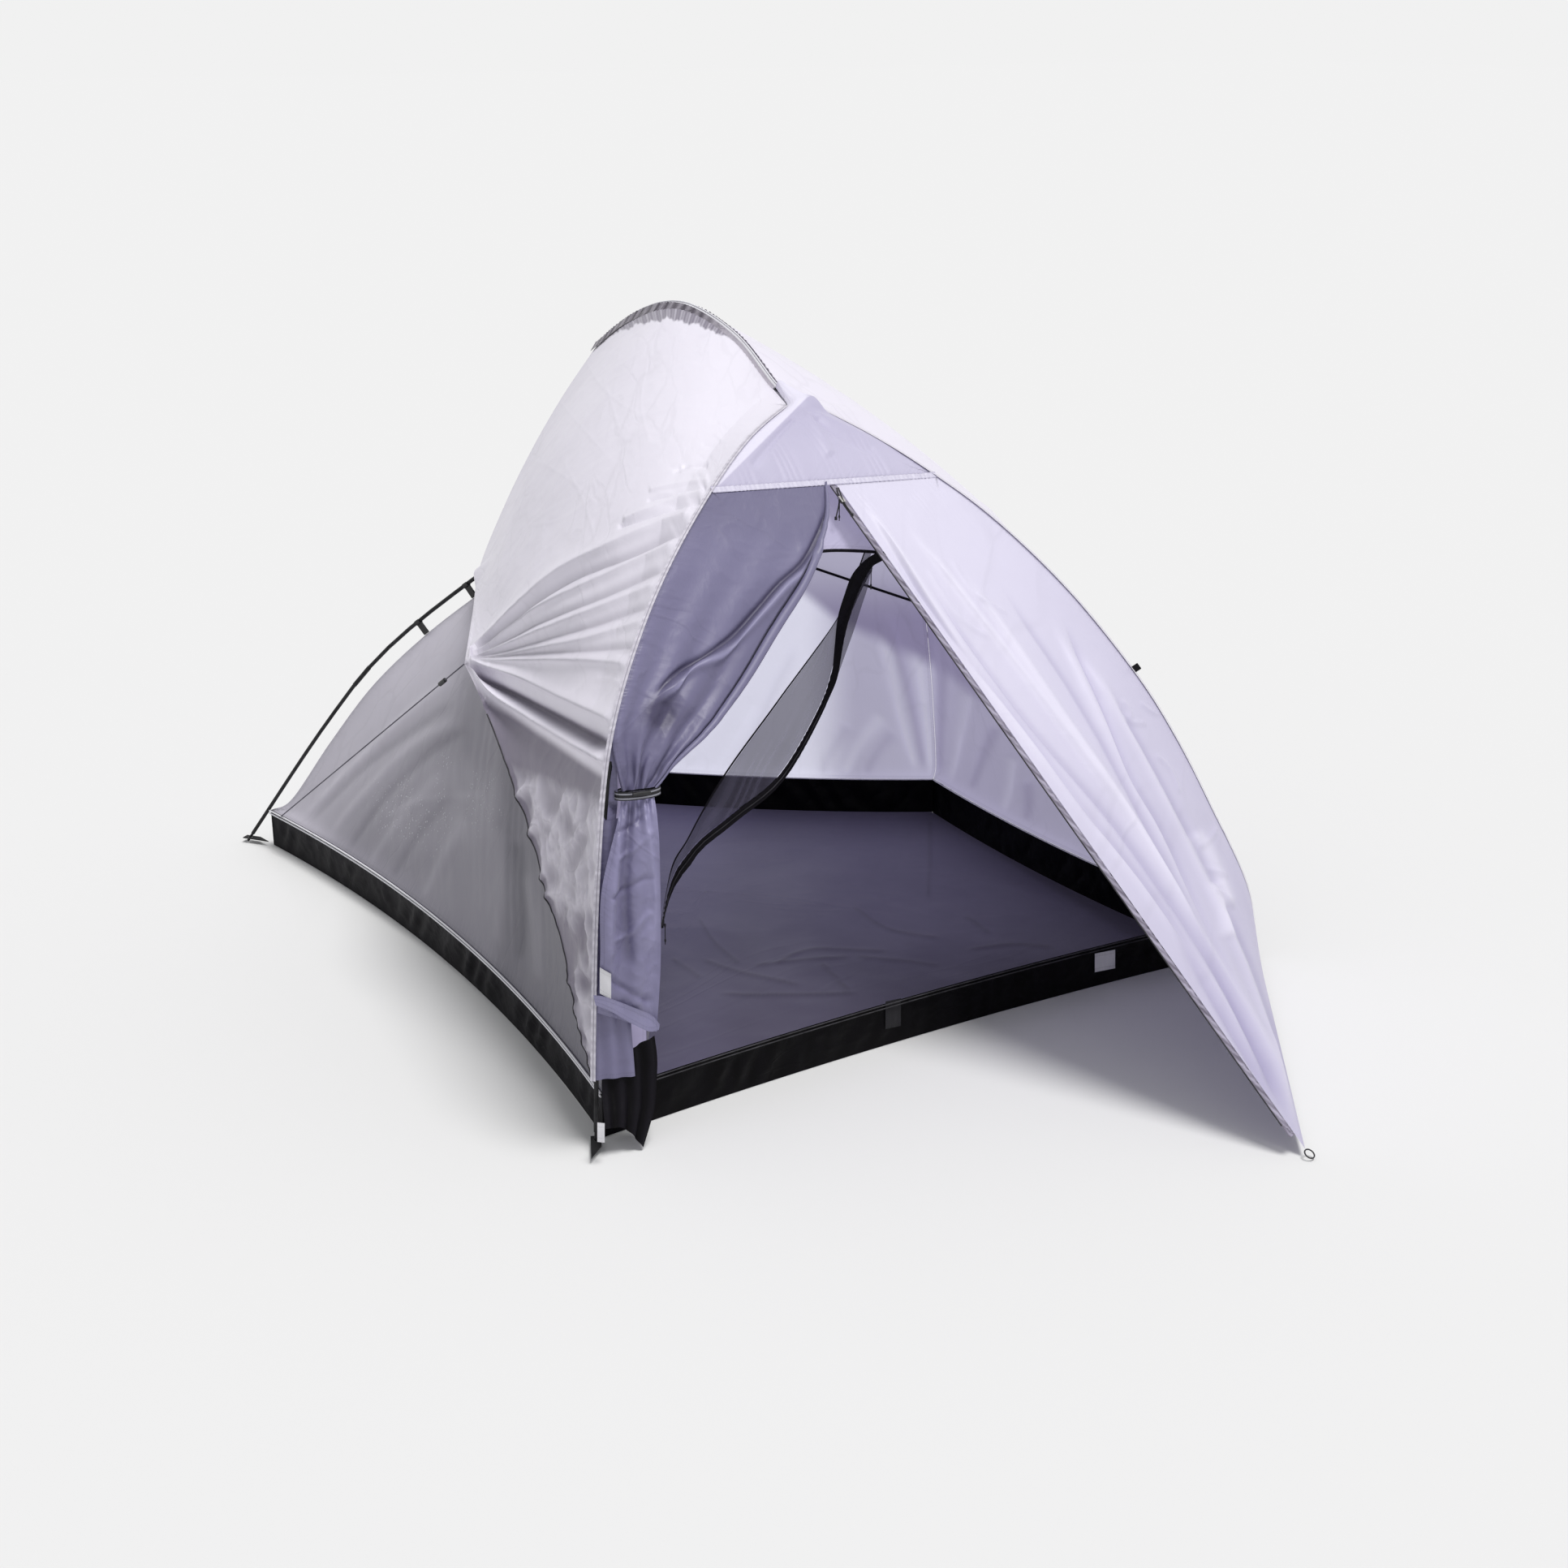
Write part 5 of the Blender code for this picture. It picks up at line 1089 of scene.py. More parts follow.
# Painted shade: darker towards the hem.
tone = 0.92 - 0.4 * step(v, 0.42, 0.05)
hood_right = folded(right_flat, outward(right_flat) * depth * free)
made = sheet_mesh("hood_right", hood_right, skins["hood"], "lbrt", tone)
hang(made, right_flat, ["fly_hood_right"])

# %% [markdown]
# ## The porch
# In front of the hub the fly becomes a porch: a small top panel with fine gathers into a cross
# seam, and two doors below it that meet at a zip. The right door is pegged out to a point, which
# draws long straight folds up from the peg.

# %% Porch top
bulge = np.sin(math.pi * np.linspace(0, 1, EDGE_STEPS))[:, None]
top_line = evenly([porch_side["left"][-1], porch_side["right"][-1]])
top_line = top_line + np.array((0, 0, 0.014)) * bulge
porch_flat, u, v = grid_of((gathered, porch_side["right"], top_line, porch_side["left"]), 90, 180)
near = evenly(np.vstack([hub - 0.01 * back, hub, ridge[(ridge - hub) @ back < 0.092]]), 40)
sides = ends_held(u, 6)
porch_flat = lift_over(porch_flat, near, back, 0.0185, sides, 0.018, 0.06)
places = pictured(porch_flat)
pleats = ripples(porch_flat, (0, 0.5, 0.5), 0.03, 0.0014, 4, 0.8) * (1 - v) ** 1.5 * rising(v, 20)
PORCH_FOLDS = (
    (((968, 492), (925, 530), (888, 584)), 0.005, 3, 6),
    (((962, 488), (914, 530), (880, 588)), -0.005, 3, 4),
    (((990, 506), (1008, 530), (1024, 564)), 0.004, 3, 7),
    (((996, 506), (1050, 530), (1110, 552)), 0.005, 3, 7),
    (((982, 512), (955, 540), (924, 578)), -0.004, 3, 6),
    (((1000, 512), (1040, 540), (1080, 558)), -0.004, 3, 6),
)
depth = (pleats + laid(places, PORCH_FOLDS)) * ends_held(u, 8)
# Painted shadow: the porch top is darker beyond a line across it, a little lighter lower down.
porch_shadow = side_share(places, (892, 592), (984, 500), 1.5)
tone = 1 - 0.62 * porch_shadow + 0.12 * step(places[..., 1], 500, 570) * porch_shadow
made = sheet_mesh(
    "porch_top", folded(porch_flat, outward(porch_flat) * depth), skins["porch"], "blr", tone
)
hang(made, porch_flat, ["fly_porch_top"])

# %% Right porch door
DOOR_RIDGES = (
    (((1056, 604), (1162, 768), (1262, 907), (1370, 1050), (1500, 1225), (1596, 1396)),
     0.009, 4, 9),
    (((1110, 640), (1228, 792), (1327, 928), (1410, 1050), (1530, 1250), (1600, 1400)),
     0.007, 5, 8),
    (((1180, 700), (1300, 880), (1400, 1030), (1480, 1160), (1570, 1320), (1604, 1408)),
     0.010, 7, 9),
    (((1290, 760), (1372, 930), (1440, 1060), (1500, 1180), (1600, 1390)), 0.008, 7, 8),
    (((1330, 800), (1410, 950), (1466, 1060), (1530, 1190), (1604, 1400)), 0.007, 8, 8),
)
DOOR_VALLEYS = (
    (((1086, 660), (1172, 785), (1262, 899), (1336, 1001), (1430, 1120), (1590, 1390)),
     -0.009, 3, 7),
    (((1140, 715), (1212, 818), (1286, 915), (1392, 1042), (1510, 1222), (1600, 1402)),
     -0.006, 3, 6),
    (((1306, 760), (1355, 866), (1392, 960), (1433, 1030), (1486, 1152), (1596, 1380)),
     -0.011, 4, 8),
    (((1230, 720), (1330, 870), (1420, 1040), (1500, 1200), (1600, 1396)), -0.006, 5, 7),
    (((1360, 840), (1440, 985), (1510, 1120), (1560, 1240), (1606, 1400)), -0.007, 5, 8),
)
DOOR_CRINKLES = (
    ((1380, 882), (1396, 892), (1412, 892)), ((1404, 866), (1416, 876), (1430, 880)),
    ((1380, 864), (1388, 874), (1392, 888)), ((1500, 1020), (1490, 1034), (1474, 1046)),
    ((1512, 1080), (1496, 1076), (1480, 1070)), ((1520, 1120), (1504, 1104), (1488, 1100)),
    ((1170, 690), (1200, 735), (1240, 760)), ((1140, 700), (1180, 760), (1220, 790)),
    ((1420, 930), (1440, 950), (1452, 980)),
)
# Bulges whose lighter tone is a painted highlight.
LIT_BULGES = (((1466, 1024), (1490, 1060), (1514, 1120)), ((1492, 1085), (1504, 1120), (1510, 1160)))
right_low = over_leg("front_right", 0.03, GATHER_HEIGHT["right"])
door_hem = evenly([peg, right_low[0]])
door_flat, u, v = grid_of((door_hem, right_low, evenly(gathered[ZIP_STEP:]), zip_line), 260, 170)
places = pictured(door_flat)
free = rising(u, 30) * rising(1 - u, 16) * rising(1 - v, 20) * rising(v, 20)
depth = laid(places, DOOR_RIDGES, 0.1, 1.5, 0.4) + laid(places, DOOR_VALLEYS, 0.1, 1.5)
depth += laid(places, alike(DOOR_CRINKLES, 0.003, 3, 3))
depth += laid(places, alike(LIT_BULGES, 0.005, 9, 9))
depth += crumple(door_flat, 0.2, 0.0012, 3.0) + 0.006 * np.sin(math.pi * u) * np.sin(math.pi * v)
gathers = ripples(door_flat, (0.2, -0.6, -0.7), 0.018, 0.0015, 6) * np.exp(-(1 - v) / 0.05)
# Painted light and shade: darker to the right and towards the hem, darker in the valleys, and
# painted highlights on the ridges and the lit bulges.
tone = 0.84 - 0.34 * step(places[..., 0], 1120, 1560) - 0.10 * step(v, 0.35, 0.0)
tone += laid(places, alike(paths_of(DOOR_VALLEYS), -0.22, 3, 6))
tone += laid(places, alike(paths_of(DOOR_RIDGES), 0.16, 4, 6))
tone += laid(places, alike(LIT_BULGES, 0.25, 10, 10))
door_right = folded(door_flat, outward(door_flat) * (depth + gathers) * free)
made = sheet_mesh("porch_door_right", door_right, skins["porch"], "btr", np.clip(tone, 0, 1))
hang(made, door_flat, ["fly_door_right"])

# %% [markdown]
# ## The tied-back door
# The left door is gathered to a strap at knee height. Above the strap it hangs in soft upright
# folds, and its free edge is folded back over itself, which shows as a lip with a dark gap under
# it. Below the strap hang its tail and the hem strip of the leg.

# %% Left porch door
tie_middle = at(0.093, 0.021, 0.602)
tie_across = unit(np.array((0.058, -0.01, 0)))
tie_left, tie_right = tie_middle - tie_across * 0.029, tie_middle + tie_across * 0.029
shift = unit(gathered[0] - gathered[-1]) * 0.021
FREE_EDGE = (
    (0.156, 0.024, 0.63), (0.19, 0.03, 0.65), (0.253, 0.052, 0.684), (0.34, 0.098, 0.737),
    (0.433, 0.152, 0.798), (0.519, 0.2, 0.849), (0.589, 0.251, 0.895), (0.639, 0.295, 0.932),
)
door_side = smooth([tie_left, *evenly(over_leg("front_left", 0.692, GATHER_HEIGHT["left"]), 7)])
free_edge = smooth([tie_right, *at_all(FREE_EDGE), zip_top + shift])
tied_top = evenly([gathered[0], zip_top + shift])
tied_flat, u, v = grid_of((evenly([tie_left, tie_right]), free_edge, tied_top, door_side), 260, 220)
cad_pleats = 0.006 * np.sin(7 * math.pi * u) * (1 - v) ** 1.5
tied_flat = folded(tied_flat, cad_pleats)
facing = faces(tied_flat, TO_THE_DOOR)
places = pictured(tied_flat)
print("tied door:", tied_flat.shape[:2], "points")

# %% Folds and lip of the left door
LIP = (
    (1026, 615), (1014, 655), (992, 694), (962, 722), (936, 752), (905, 786), (872, 810),
    (836, 832), (806, 862),
)
TIED_FOLDS = (
    (((880, 610), (868, 680), (836, 730), (826, 770), (808, 830)), -0.008, 8, 9),
    (((930, 610), (920, 652), (878, 720), (858, 756), (838, 800)), -0.010, 8, 9),
    (((968, 600), (944, 675), (926, 698), (900, 731), (872, 772)), -0.008, 7, 8),
    (((1000, 610), (989, 646), (972, 675), (955, 700), (925, 735)), -0.006, 6, 6),
    (((858, 620), (820, 690), (794, 764), (780, 815)), -0.006, 6, 8),
    (((905, 606), (892, 670), (858, 728), (846, 770), (822, 826)), 0.008, 8, 9),
    (((950, 604), (934, 660), (904, 706), (884, 740), (856, 786)), 0.008, 7, 9),
    (((836, 660), (812, 720), (800, 790), (792, 850)), 0.006, 7, 9),
)
LOWER_FOLDS = (
    (((965, 745), (920, 800), (870, 862), (820, 920)), -0.006, 4, 8),
    (((952, 770), (905, 830), (858, 885), (812, 935)), 0.006, 4, 8),
    (((935, 790), (890, 850), (850, 900), (810, 945)), -0.005, 4, 6),
    (((840, 870), (816, 896), (796, 930), (790, 955)), 0.007, 5, 5),
    (((826, 868), (806, 892), (794, 915)), -0.006, 4, 5),
)
BELOW_LIP = (200, 215)
off, share, side_of = beside(places, LIP)
signed = off * side_of
lower = step(signed, -1.5, 1.5)
if lower[BELOW_LIP] < 0.5:
    signed, lower = -signed, 1 - lower
lip_ends = step(share, 0.0, 0.10) * step(share, 1.0, 0.92)
overlap = 0.010 * lip_ends * (1 - lower) * np.exp(-((off / 60) ** 2))
rolled = 0.006 * lip_ends * np.exp(-(((signed + 6) / 5) ** 2))
gap = -0.004 * lip_ends * np.exp(-(((signed - 4) / 4) ** 2))
upper_folds = laid(places, TIED_FOLDS) * (1 - lower)
depth = upper_folds + laid(places, LOWER_FOLDS) * lower + overlap + rolled + gap
low_creases = crumple(tied_flat, 0.05, 0.0012, 3.0) * step(v, 0.3, 0.1)
depth += crumple(tied_flat, 0.07, 0.0012, 1.0) + low_creases
ruffles = 0.004 * np.sin(11 * math.pi * u + 2.5 * np.sin(9 * v)) * step(v, 0.16, 0.03)
held_fast = ends_held(u, 22) * ends_held(v, 26)
tied = folded(tied_flat, facing * (depth + ruffles) * held_fast)
# Painted light and shade: darker in the fold valleys and near the top, lighter on the ridges, a
# painted highlight on the rolled lip, and painted shadow in the gap under it and in a low crumple.
shade = 0.40 + laid(places, scaled_folds(TIED_FOLDS, 22)) * (1 - lower)
shade += laid(places, scaled_folds(LOWER_FOLDS, 18)) * lower
lip_light = 0.35 * lip_ends * np.exp(-(((signed + 5) / 3) ** 2))
shade += 0.10 * lower - 0.12 * step(v, 0.7, 0.95) + lip_light
shade -= 0.75 * lip_ends * np.exp(-(((signed - 3.5) / 3.2) ** 2))
shade -= 0.7 * np.exp(-((np.linalg.norm(places - np.array((815, 880)), axis=-1) / 18) ** 2))

# %% Rolled edge of the left door
radius = 0.0024 + 0.0066 * np.sin(math.pi * v[:, -1:])
beyond = unit_rows(tied[:, -1] - tied[:, -4])
curl = []
for turn in np.radians(np.arange(15, 316, 15)):
    lift = (1 - math.cos(turn)) * facing * normals_of(tied)[:, -1] * radius
    curl.append(tied[:, -1] + math.sin(turn) * radius * beyond + lift)
tied = np.concatenate([tied, np.stack(curl, axis=1)], axis=1)
shade = np.concatenate([shade, np.full((len(tied), len(curl)), 0.5)], axis=1)
made = sheet_mesh("porch_door_left", tied, skins["tied"], "lt", np.clip(shade, 0, 1))
hang(made, tied, ["fly_door_left"])

# %% Tail of the left door
TAIL_LEFT = (
    (-0.02, -0.03, 0.25), (-0.012, -0.03, 0.347), (-0.005, -0.028, 0.461), (0.045, 0.006, 0.56)
)
TAIL_RIGHT = (
    (0.092, -0.03, 0.185), (0.103, -0.03, 0.32), (0.105, -0.03, 0.494), (0.11, -0.016, 0.56)
)
below = np.array((0, 0, -0.0029))
tail_left = smooth([*at_all(TAIL_LEFT), tie_left + below])
tail_right = smooth([*at_all(TAIL_RIGHT), tie_right + below])
tail_bottom, tail_top = (evenly([tail_left[end], tail_right[end]], 41) for end in (0, -1))
tail_flat, u, v = grid_of((tail_bottom, tail_right, tail_top, tail_left), 190, 100)
waves = 0.006 * np.sin(4 * math.pi * u) * np.sin(math.pi * np.clip(v + 0.15, 0, 1))
tail_flat = folded(tail_flat, waves)
places = pictured(tail_flat)
TAIL_FOLDS = (
    (((792, 975), (800, 1040), (806, 1110), (800, 1180)), 0.006, 4, 7),
    (((778, 975), (774, 1040), (770, 1110), (776, 1200)), -0.006, 4, 8),
    (((764, 990), (760, 1060), (752, 1130), (750, 1190)), 0.005, 4, 6),
    (((752, 1030), (776, 1018), (800, 1000)), -0.004, 3, 4),
    (((758, 1060), (782, 1046), (806, 1020)), 0.003, 3, 4),
    (((750, 1110), (780, 1090), (808, 1078)), -0.003, 3, 4),
    (((752, 1160), (776, 1150), (804, 1120)), 0.003, 3, 4),
    (((745, 1196), (765, 1215), (806, 1236)), -0.004, 3, 5),
)
pinch = 0.003 * np.sin(9 * math.pi * u + 2 * v) * step(v, 0.78, 0.96)
free = ends_held(u, 14) * rising(1 - v, 20)
depth = (laid(places, TAIL_FOLDS) + crumple(tail_flat, 0.05, 0.0018, 4.0)) * free + pinch
tail_facing = faces(tail_flat, TO_THE_DOOR)
# Painted light and shade along the tail's folds, lighter to the right and on a lit fold under the
# strap.
tone = 0.60 + laid(places, scaled_folds(TAIL_FOLDS, 36))
lit_fold_under_strap = 0.30 * step(places[..., 1], 1010, 960) * step(places[..., 0], 752, 770)
tone += 0.16 * step(places[..., 0], 770, 805) + lit_fold_under_strap
tail_shown = folded(tail_flat, tail_facing * depth)
made = sheet_mesh("porch_door_tail", tail_shown, skins["tied"], "bl", np.clip(tone, 0, 1))
hang(made, tail_flat, ["fly_door_left_tail"])

# %% Leg strip and tip flap
STRIP_RIGHT = ((0.046, -0.036, 0.118), (0.05, -0.016, 0.26), (0.06, 0, 0.44), (0.078, 0.026, 0.56))
strip_left = over_leg("front_left", SEAM_FOOT, 0.56)
strip_right = smooth(at_all(STRIP_RIGHT))
strip_bottom, strip_top = (evenly([strip_left[end], strip_right[end]], 41) for end in (0, -1))
strip_flat, u, v = grid_of((strip_bottom, strip_right, strip_top, strip_left), 160, 60)
wave = np.sin(5 * math.pi * u + 3 * v)
pleats = 0.0018 * wave * ends_held(u, 10)
pleats = pleats + crumple(strip_flat, 0.06, 0.0012, 6.0) * ends_held(u, 10)
# Painted light and shade along the pleats, and painted shade on the upper part of its door side.
tone = 0.46 + 0.06 * wave - 0.5 * step(u, 0.72, 0.95) * step(v, 0.15, 0.3)
made = sheet_mesh("leg_strip", folded(strip_flat, pleats), skins["tied"], "lb", np.clip(tone, 0, 1))
hang(made, strip_flat, ["fly_front_left_strip"])

FLAP_LEFT = ((-0.028, -0.06, 0.051), (-0.012, -0.021, 0.105), (-0.008, -0.0195, 0.15))
FLAP_HEM = ((-0.028, -0.06, 0.051), (0.008, -0.065, 0.043), (0.037, -0.074, 0.003))
FLAP_RIGHT = (
    (0.037, -0.074, 0.003), (0.057, -0.065, 0.039), (0.072, -0.055, 0.065), (0.092, -0.03, 0.13),
    (0.092, -0.022, 0.178),
)
flap_left, flap_right = smooth(at_all(FLAP_LEFT)), smooth(at_all(FLAP_RIGHT))
flap_top = evenly([flap_left[-1], flap_right[-1]], 41)
flap_flat, u, v = grid_of((smooth(at_all(FLAP_HEM)), flap_right, flap_top, flap_left), 60, 50)
wave = np.sin(7 * math.pi * u + v)
waves = 0.0025 * wave * ends_held(u, 9)
# Painted light and shade along the flap's waves.
tone = 0.5 + 0.45 * wave
made = sheet_mesh("tip_flap", folded(flap_flat, waves), skins["bathtub"], "b", tone)
hang(made, flap_flat, ["door_tip_flap"])

# %% [markdown]
# ## The inner tent
# Grey see-through nylon hangs from the poles to the top of the bathtub. Daylight comes through it,
# so from inside it is bright. Real translucency needs many light paths to look clean; a faint glow
# in the cloth's own colour, painted light, is quiet and quick. The fly's shadow across the rear
# walls and the light and shade of the walls' folds are painted into their tone, and rain beads sit
# on the left one, so the walls' tone and wetness follow the picture.

# %% Edges of the inner walls
def inset_side(line, depth):
    """A floor side moved inwards by depth, and shortened by it at both ends."""
    run = unit(line[-1] - line[0])
    shifted = line + depth * np.array((-run[1], run[0], 0))
    shifted[0] += depth * run
    shifted[-1] -= depth * run
    return shifted


TUB_INSET = 0.00075
INNER_SEAM = 0.0004
sill = {name: inset_side(line, TUB_INSET) + (0, 0, BATHTUB_HEIGHT) for name, line in side.items()}
wall_foot = {
    "front_left": sill["front"][0], "front_right": sill["front"][-1],
    "right_rear": sill["right"][-1], "left_rear": sill["rear_left"][-1],
}
rise = {}
for name, line in inner_leg.items():
    upper = trimmed(line, 0.04)
    upper = upper[upper[:, 2] > BATHTUB_HEIGHT + 0.03]
    rise[name] = smooth([wall_foot[name], *evenly(upper, 9)])
ridge_in = raised(ridge, back, -INNER_DROP)
ridge_in = ridge_in[(ridge_in - hub) @ back > 0.04]
CEILING_GAP = 0.0006
over_left = smooth([rise["left_rear"][-1], *evenly(ridge_in - BESIDE * CEILING_GAP, 7)])
over_right = smooth([rise["right_rear"][-1], *evenly(ridge_in + BESIDE * CEILING_GAP, 7)])
inward = unit((hub - ridge_in[-1]) * (1, 1, 0))
crease = hollow(sill["rear_right"][-1], (over_left[-1] + over_right[-1]) / 2, 0.04 * inward)
wall_top = {}
for name in ("left", "right"):
    wall_top[name] = evenly([rise["front_" + name][-1], rise[name + "_rear"][-1]], 41)
walls = {
    "left": (evenly(sill["left"][::-1]), rise["left_rear"], wall_top["left"], rise["front_left"]),
    "right": (evenly(sill["right"]), rise["right_rear"], wall_top["right"], rise["front_right"]),
    "rear_right": (evenly(sill["rear_right"]), crease, over_right, rise["right_rear"]),
    "rear_left": (evenly(sill["rear_left"]), rise["left_rear"], over_left[::-1], crease),
}
print("walls:", ", ".join(walls))

# %% Folds of the walls
LEFT_WALL_FOLDS = (
    (((366, 1014), (430, 950), (500, 880), (560, 830)), 0.004, 4, 7),
    (((377, 1019), (440, 952), (489, 913), (560, 860)), -0.004, 4, 7),
    (((401, 1036), (455, 971), (508, 918), (570, 880)), 0.004, 4, 8),
    (((425, 1053), (474, 981), (532, 922), (580, 890)), -0.004, 4, 8),
    (((452, 1070), (500, 1000), (545, 950)), 0.003, 4, 9),
    (((480, 1086), (520, 1020), (560, 970)), -0.003, 4, 9),
    (((520, 1110), (548, 1050), (575, 1000)), 0.003, 4, 9),
    (((612, 1170), (615, 1090), (612, 1010)), 0.003, 6, 10),
    (((640, 1190), (640, 1110), (632, 1030)), -0.003, 6, 10),
    (((664, 1214), (660, 1140), (648, 1070)), 0.003, 6, 10),
    (((470, 1010), (520, 985), (600, 975)), 0.002, 4, 5),
)
REAR_WALL_FOLDS = (
    (((1148, 958), (1141, 880), (1128, 800), (1108, 740)), 0.007, 4, 9),
    (((1140, 955), (1124, 870), (1106, 800), (1090, 750)), -0.007, 4, 9),
    (((1130, 955), (1110, 880), (1092, 800), (1078, 760)), 0.006, 4, 9),
    (((1158, 960), (1160, 880), (1162, 820), (1156, 780)), -0.005, 4, 9),
    (((1170, 965), (1184, 900), (1196, 850)), 0.004, 4, 10),
    (((1196, 975), (1214, 930), (1232, 890)), -0.004, 4, 9),
    (((1236, 1000), (1244, 970), (1250, 930)), 0.004, 5, 8),
    (((1265, 1012), (1270, 985), (1268, 960)), -0.004, 5, 8),
    (((900, 948), (930, 900), (958, 840), (985, 790)), -0.004, 5, 8),
    (((880, 948), (905, 905), (930, 860)), 0.004, 5, 8),
    (((1040, 955), (1060, 915), (1090, 880)), 0.005, 5, 10),
    (((1066, 955), (1082, 925), (1102, 900)), -0.004, 5, 9),
    (((1010, 955), (1024, 925), (1046, 890)), -0.004, 5, 9),
)
FLY_SHADOW = ((975, 712), (1030, 758), (1095, 792), (1160, 822), (1250, 885))
print("wall folds:", len(LEFT_WALL_FOLDS) + len(REAR_WALL_FOLDS))

# %% Inner walls
rear_seen = []
for name, edges in walls.items():
    flat, u, v = grid_of(edges, 180, 180, inset=INNER_SEAM)
    places = pictured(flat)
    free = ends_held(u, 12) * ends_held(v, 14)
    sag = 0.015 * np.sin(math.pi * u) * np.sin(math.pi * v)
    wet = 0.0
    if name == "left":
        drape = laid(places, LEFT_WALL_FOLDS) + ripples(flat, (0.0, 0.35, 0.94), 0.05, 0.0006, 3)
        beads_at = np.linalg.norm((places - np.array((535, 990))) / np.array((95, 75)), axis=-1)
        wet = step(beads_at, 1.0, 0.55)
        # Painted light and shade: lighter towards the upper left, the light and shade of the folds,
        # the hood's shadow on the right part, and a little lighter where it is wet.
        tone = 0.30 + 0.62 * (1 - side_share(places, (392, 1024), (632, 752), 60))
        tone = tone + laid(places, scaled_folds(LEFT_WALL_FOLDS, 34))
        tone -= 0.20 * step(places[..., 0], 596, 626)
        tone += 0.08 * wet
    else:
        foot_waves = 0.0015 * np.sin(18 * math.pi * u) * step(v, 0.3, 0.0)
        drape = laid(places, REAR_WALL_FOLDS, lean=0.3) + foot_waves
        # Painted light and shade: the fly's shadow above its edge, sunlight on the left part,
        # darker past the corner, and the light and shade of the folds.
        edge_y = np.interp(places[..., 0], *np.array(FLY_SHADOW).T)
        under = step(edge_y - places[..., 1], -14, 10)
        past_corner = step(places[..., 0], 1146, 1158)
        tone = 0.44 + 0.56 * step(places[..., 0], 1060, 985) - 0.14 * past_corner
        tone = tone + laid(places, scaled_folds(REAR_WALL_FOLDS, 22))
        tone = tone * (1 - under) + under * (0.10 + 0.34 * step(places[..., 1], 770, 680))
    drape = drape + crumple(flat, 0.14, 0.0012, 2.0)
    shaped = folded(flat, outward(flat) * (drape * free - sag))
    skin = skins["inner_out"] if name == "left" else skins["inner_in"]
    made = sheet_mesh(
        "inner_wall_" + name + "_cloth", shaped, skin, "blrt", np.clip(tone, 0, 1), wet
    )
    turn_sheet(made, shaped, MIDDLE - middle_of(shaped))
    if name != "left":
        rear_seen.append(shaped.reshape(-1, 3))
    hang(made, flat, ["inner_wall_" + name])

# %% Door side of the inner tent
front_top = evenly([rise["front_left"][-1], rise["front_right"][-1]], 41)
door_side_edges = (evenly(sill["front"]), rise["front_right"], front_top, rise["front_left"])
SURROUND = 0.06
DOOR_HEIGHT = 0.865
ARCH_DROP = 0.35
shares = np.linspace(0, 1, 200)
middle_heights = patch(*door_side_edges)(np.full(200, 0.5), shares)[:, 2]
door_top = np.interp(DOOR_HEIGHT, middle_heights, shares)
# The door side takes a low tone of the bright inner cloth: painted shade under the porch.
for name, first, last in (("left", 0, SURROUND), ("right", 1 - SURROUND, 1)):
    flat, u, v = grid_of(door_side_edges, 90, 14, first=first, last=last, inset=INNER_SEAM)
    made = sheet_mesh("inner_front_" + name + "_cloth", flat, skins["inner_in"], "lr", 0.1)
    turn_sheet(made, flat, (0, -1, 0))
    hang(made, flat, ["inner_front_" + name])
u = np.linspace(SURROUND, 1 - SURROUND, 110)[None, :]
arch = door_top - ARCH_DROP * np.abs(2 * u - 1) ** 3
front_flat, u, v = grid_of(
    door_side_edges, 60, 110, low=arch, first=SURROUND, last=1 - SURROUND, inset=INNER_SEAM
)
arch_line = front_flat[0] - (0, 0, 0.0003)
# Painted shade, lighter just above the doorway's arch.
tone = 0.22 + 0.35 * step(v, 0.10, 0.06)
made = sheet_mesh("inner_front_top_cloth", front_flat, skins["inner_in"], "b", tone)
turn_sheet(made, front_flat, (0, -1, 0))
hang(made, front_flat, ["inner_front_top"])
surround_line = patch(*door_side_edges)(np.full(200, SURROUND), shares) + (0.0003, 0, 0)
facing_door = 0.0016 * unit(np.array((0.0, -0.8, 0.6)))

# %% [markdown]
# ## Bathtub and floor
# The floor is a coated black sheet turned up at its edges like a tub. Its upright sides are slack,
# so they wave between the pegged corners, and the floor keeps the straight creases that it was
# folded along.

# %% Bathtub sides
for name, line in side.items():
    base = evenly(inset_side(line, TUB_INSET), 260)
    run = unit(line[-1] - line[0])
    levels = np.linspace(0, 1, 30)
    flat = np.stack([base + (0, 0, BATHTUB_HEIGHT * level) for level in levels])
    v = levels[:, None] + np.zeros((30, 260))
    u = np.linspace(0, 1, 260)[None, :] + np.zeros((30, 260))
    slack = ripples(flat, (0.5 * run[0], 0.5 * run[1], 0.87), 0.07, 0.0035, len(name) + 2)
    slack = (slack + crumple(flat, 0.06, 0.003, len(name))) * np.sin(math.pi * v)
    shaped = folded(flat, slack * ends_held(u, 25))
    # Painted highlights: light streaks up the sides, and the left side lighter, most towards its
    # top, where the light falls.
    highlight_streaks = 0.15 * ripples(flat, (0, 0, 1), 0.05, 1.0, 5)
    tone = 0.10 + (0.3 + 0.5 * step(v, 0.45, 0.95)) * (name == "left") + highlight_streaks
    made = sheet_mesh(
        "bathtub_" + name + "_cloth", shaped, skins["bathtub"], "t", np.clip(tone, 0, 1)
    )
    hang(made, flat, ["bathtub_" + name])
    if name == "front":
        tub_front = shaped

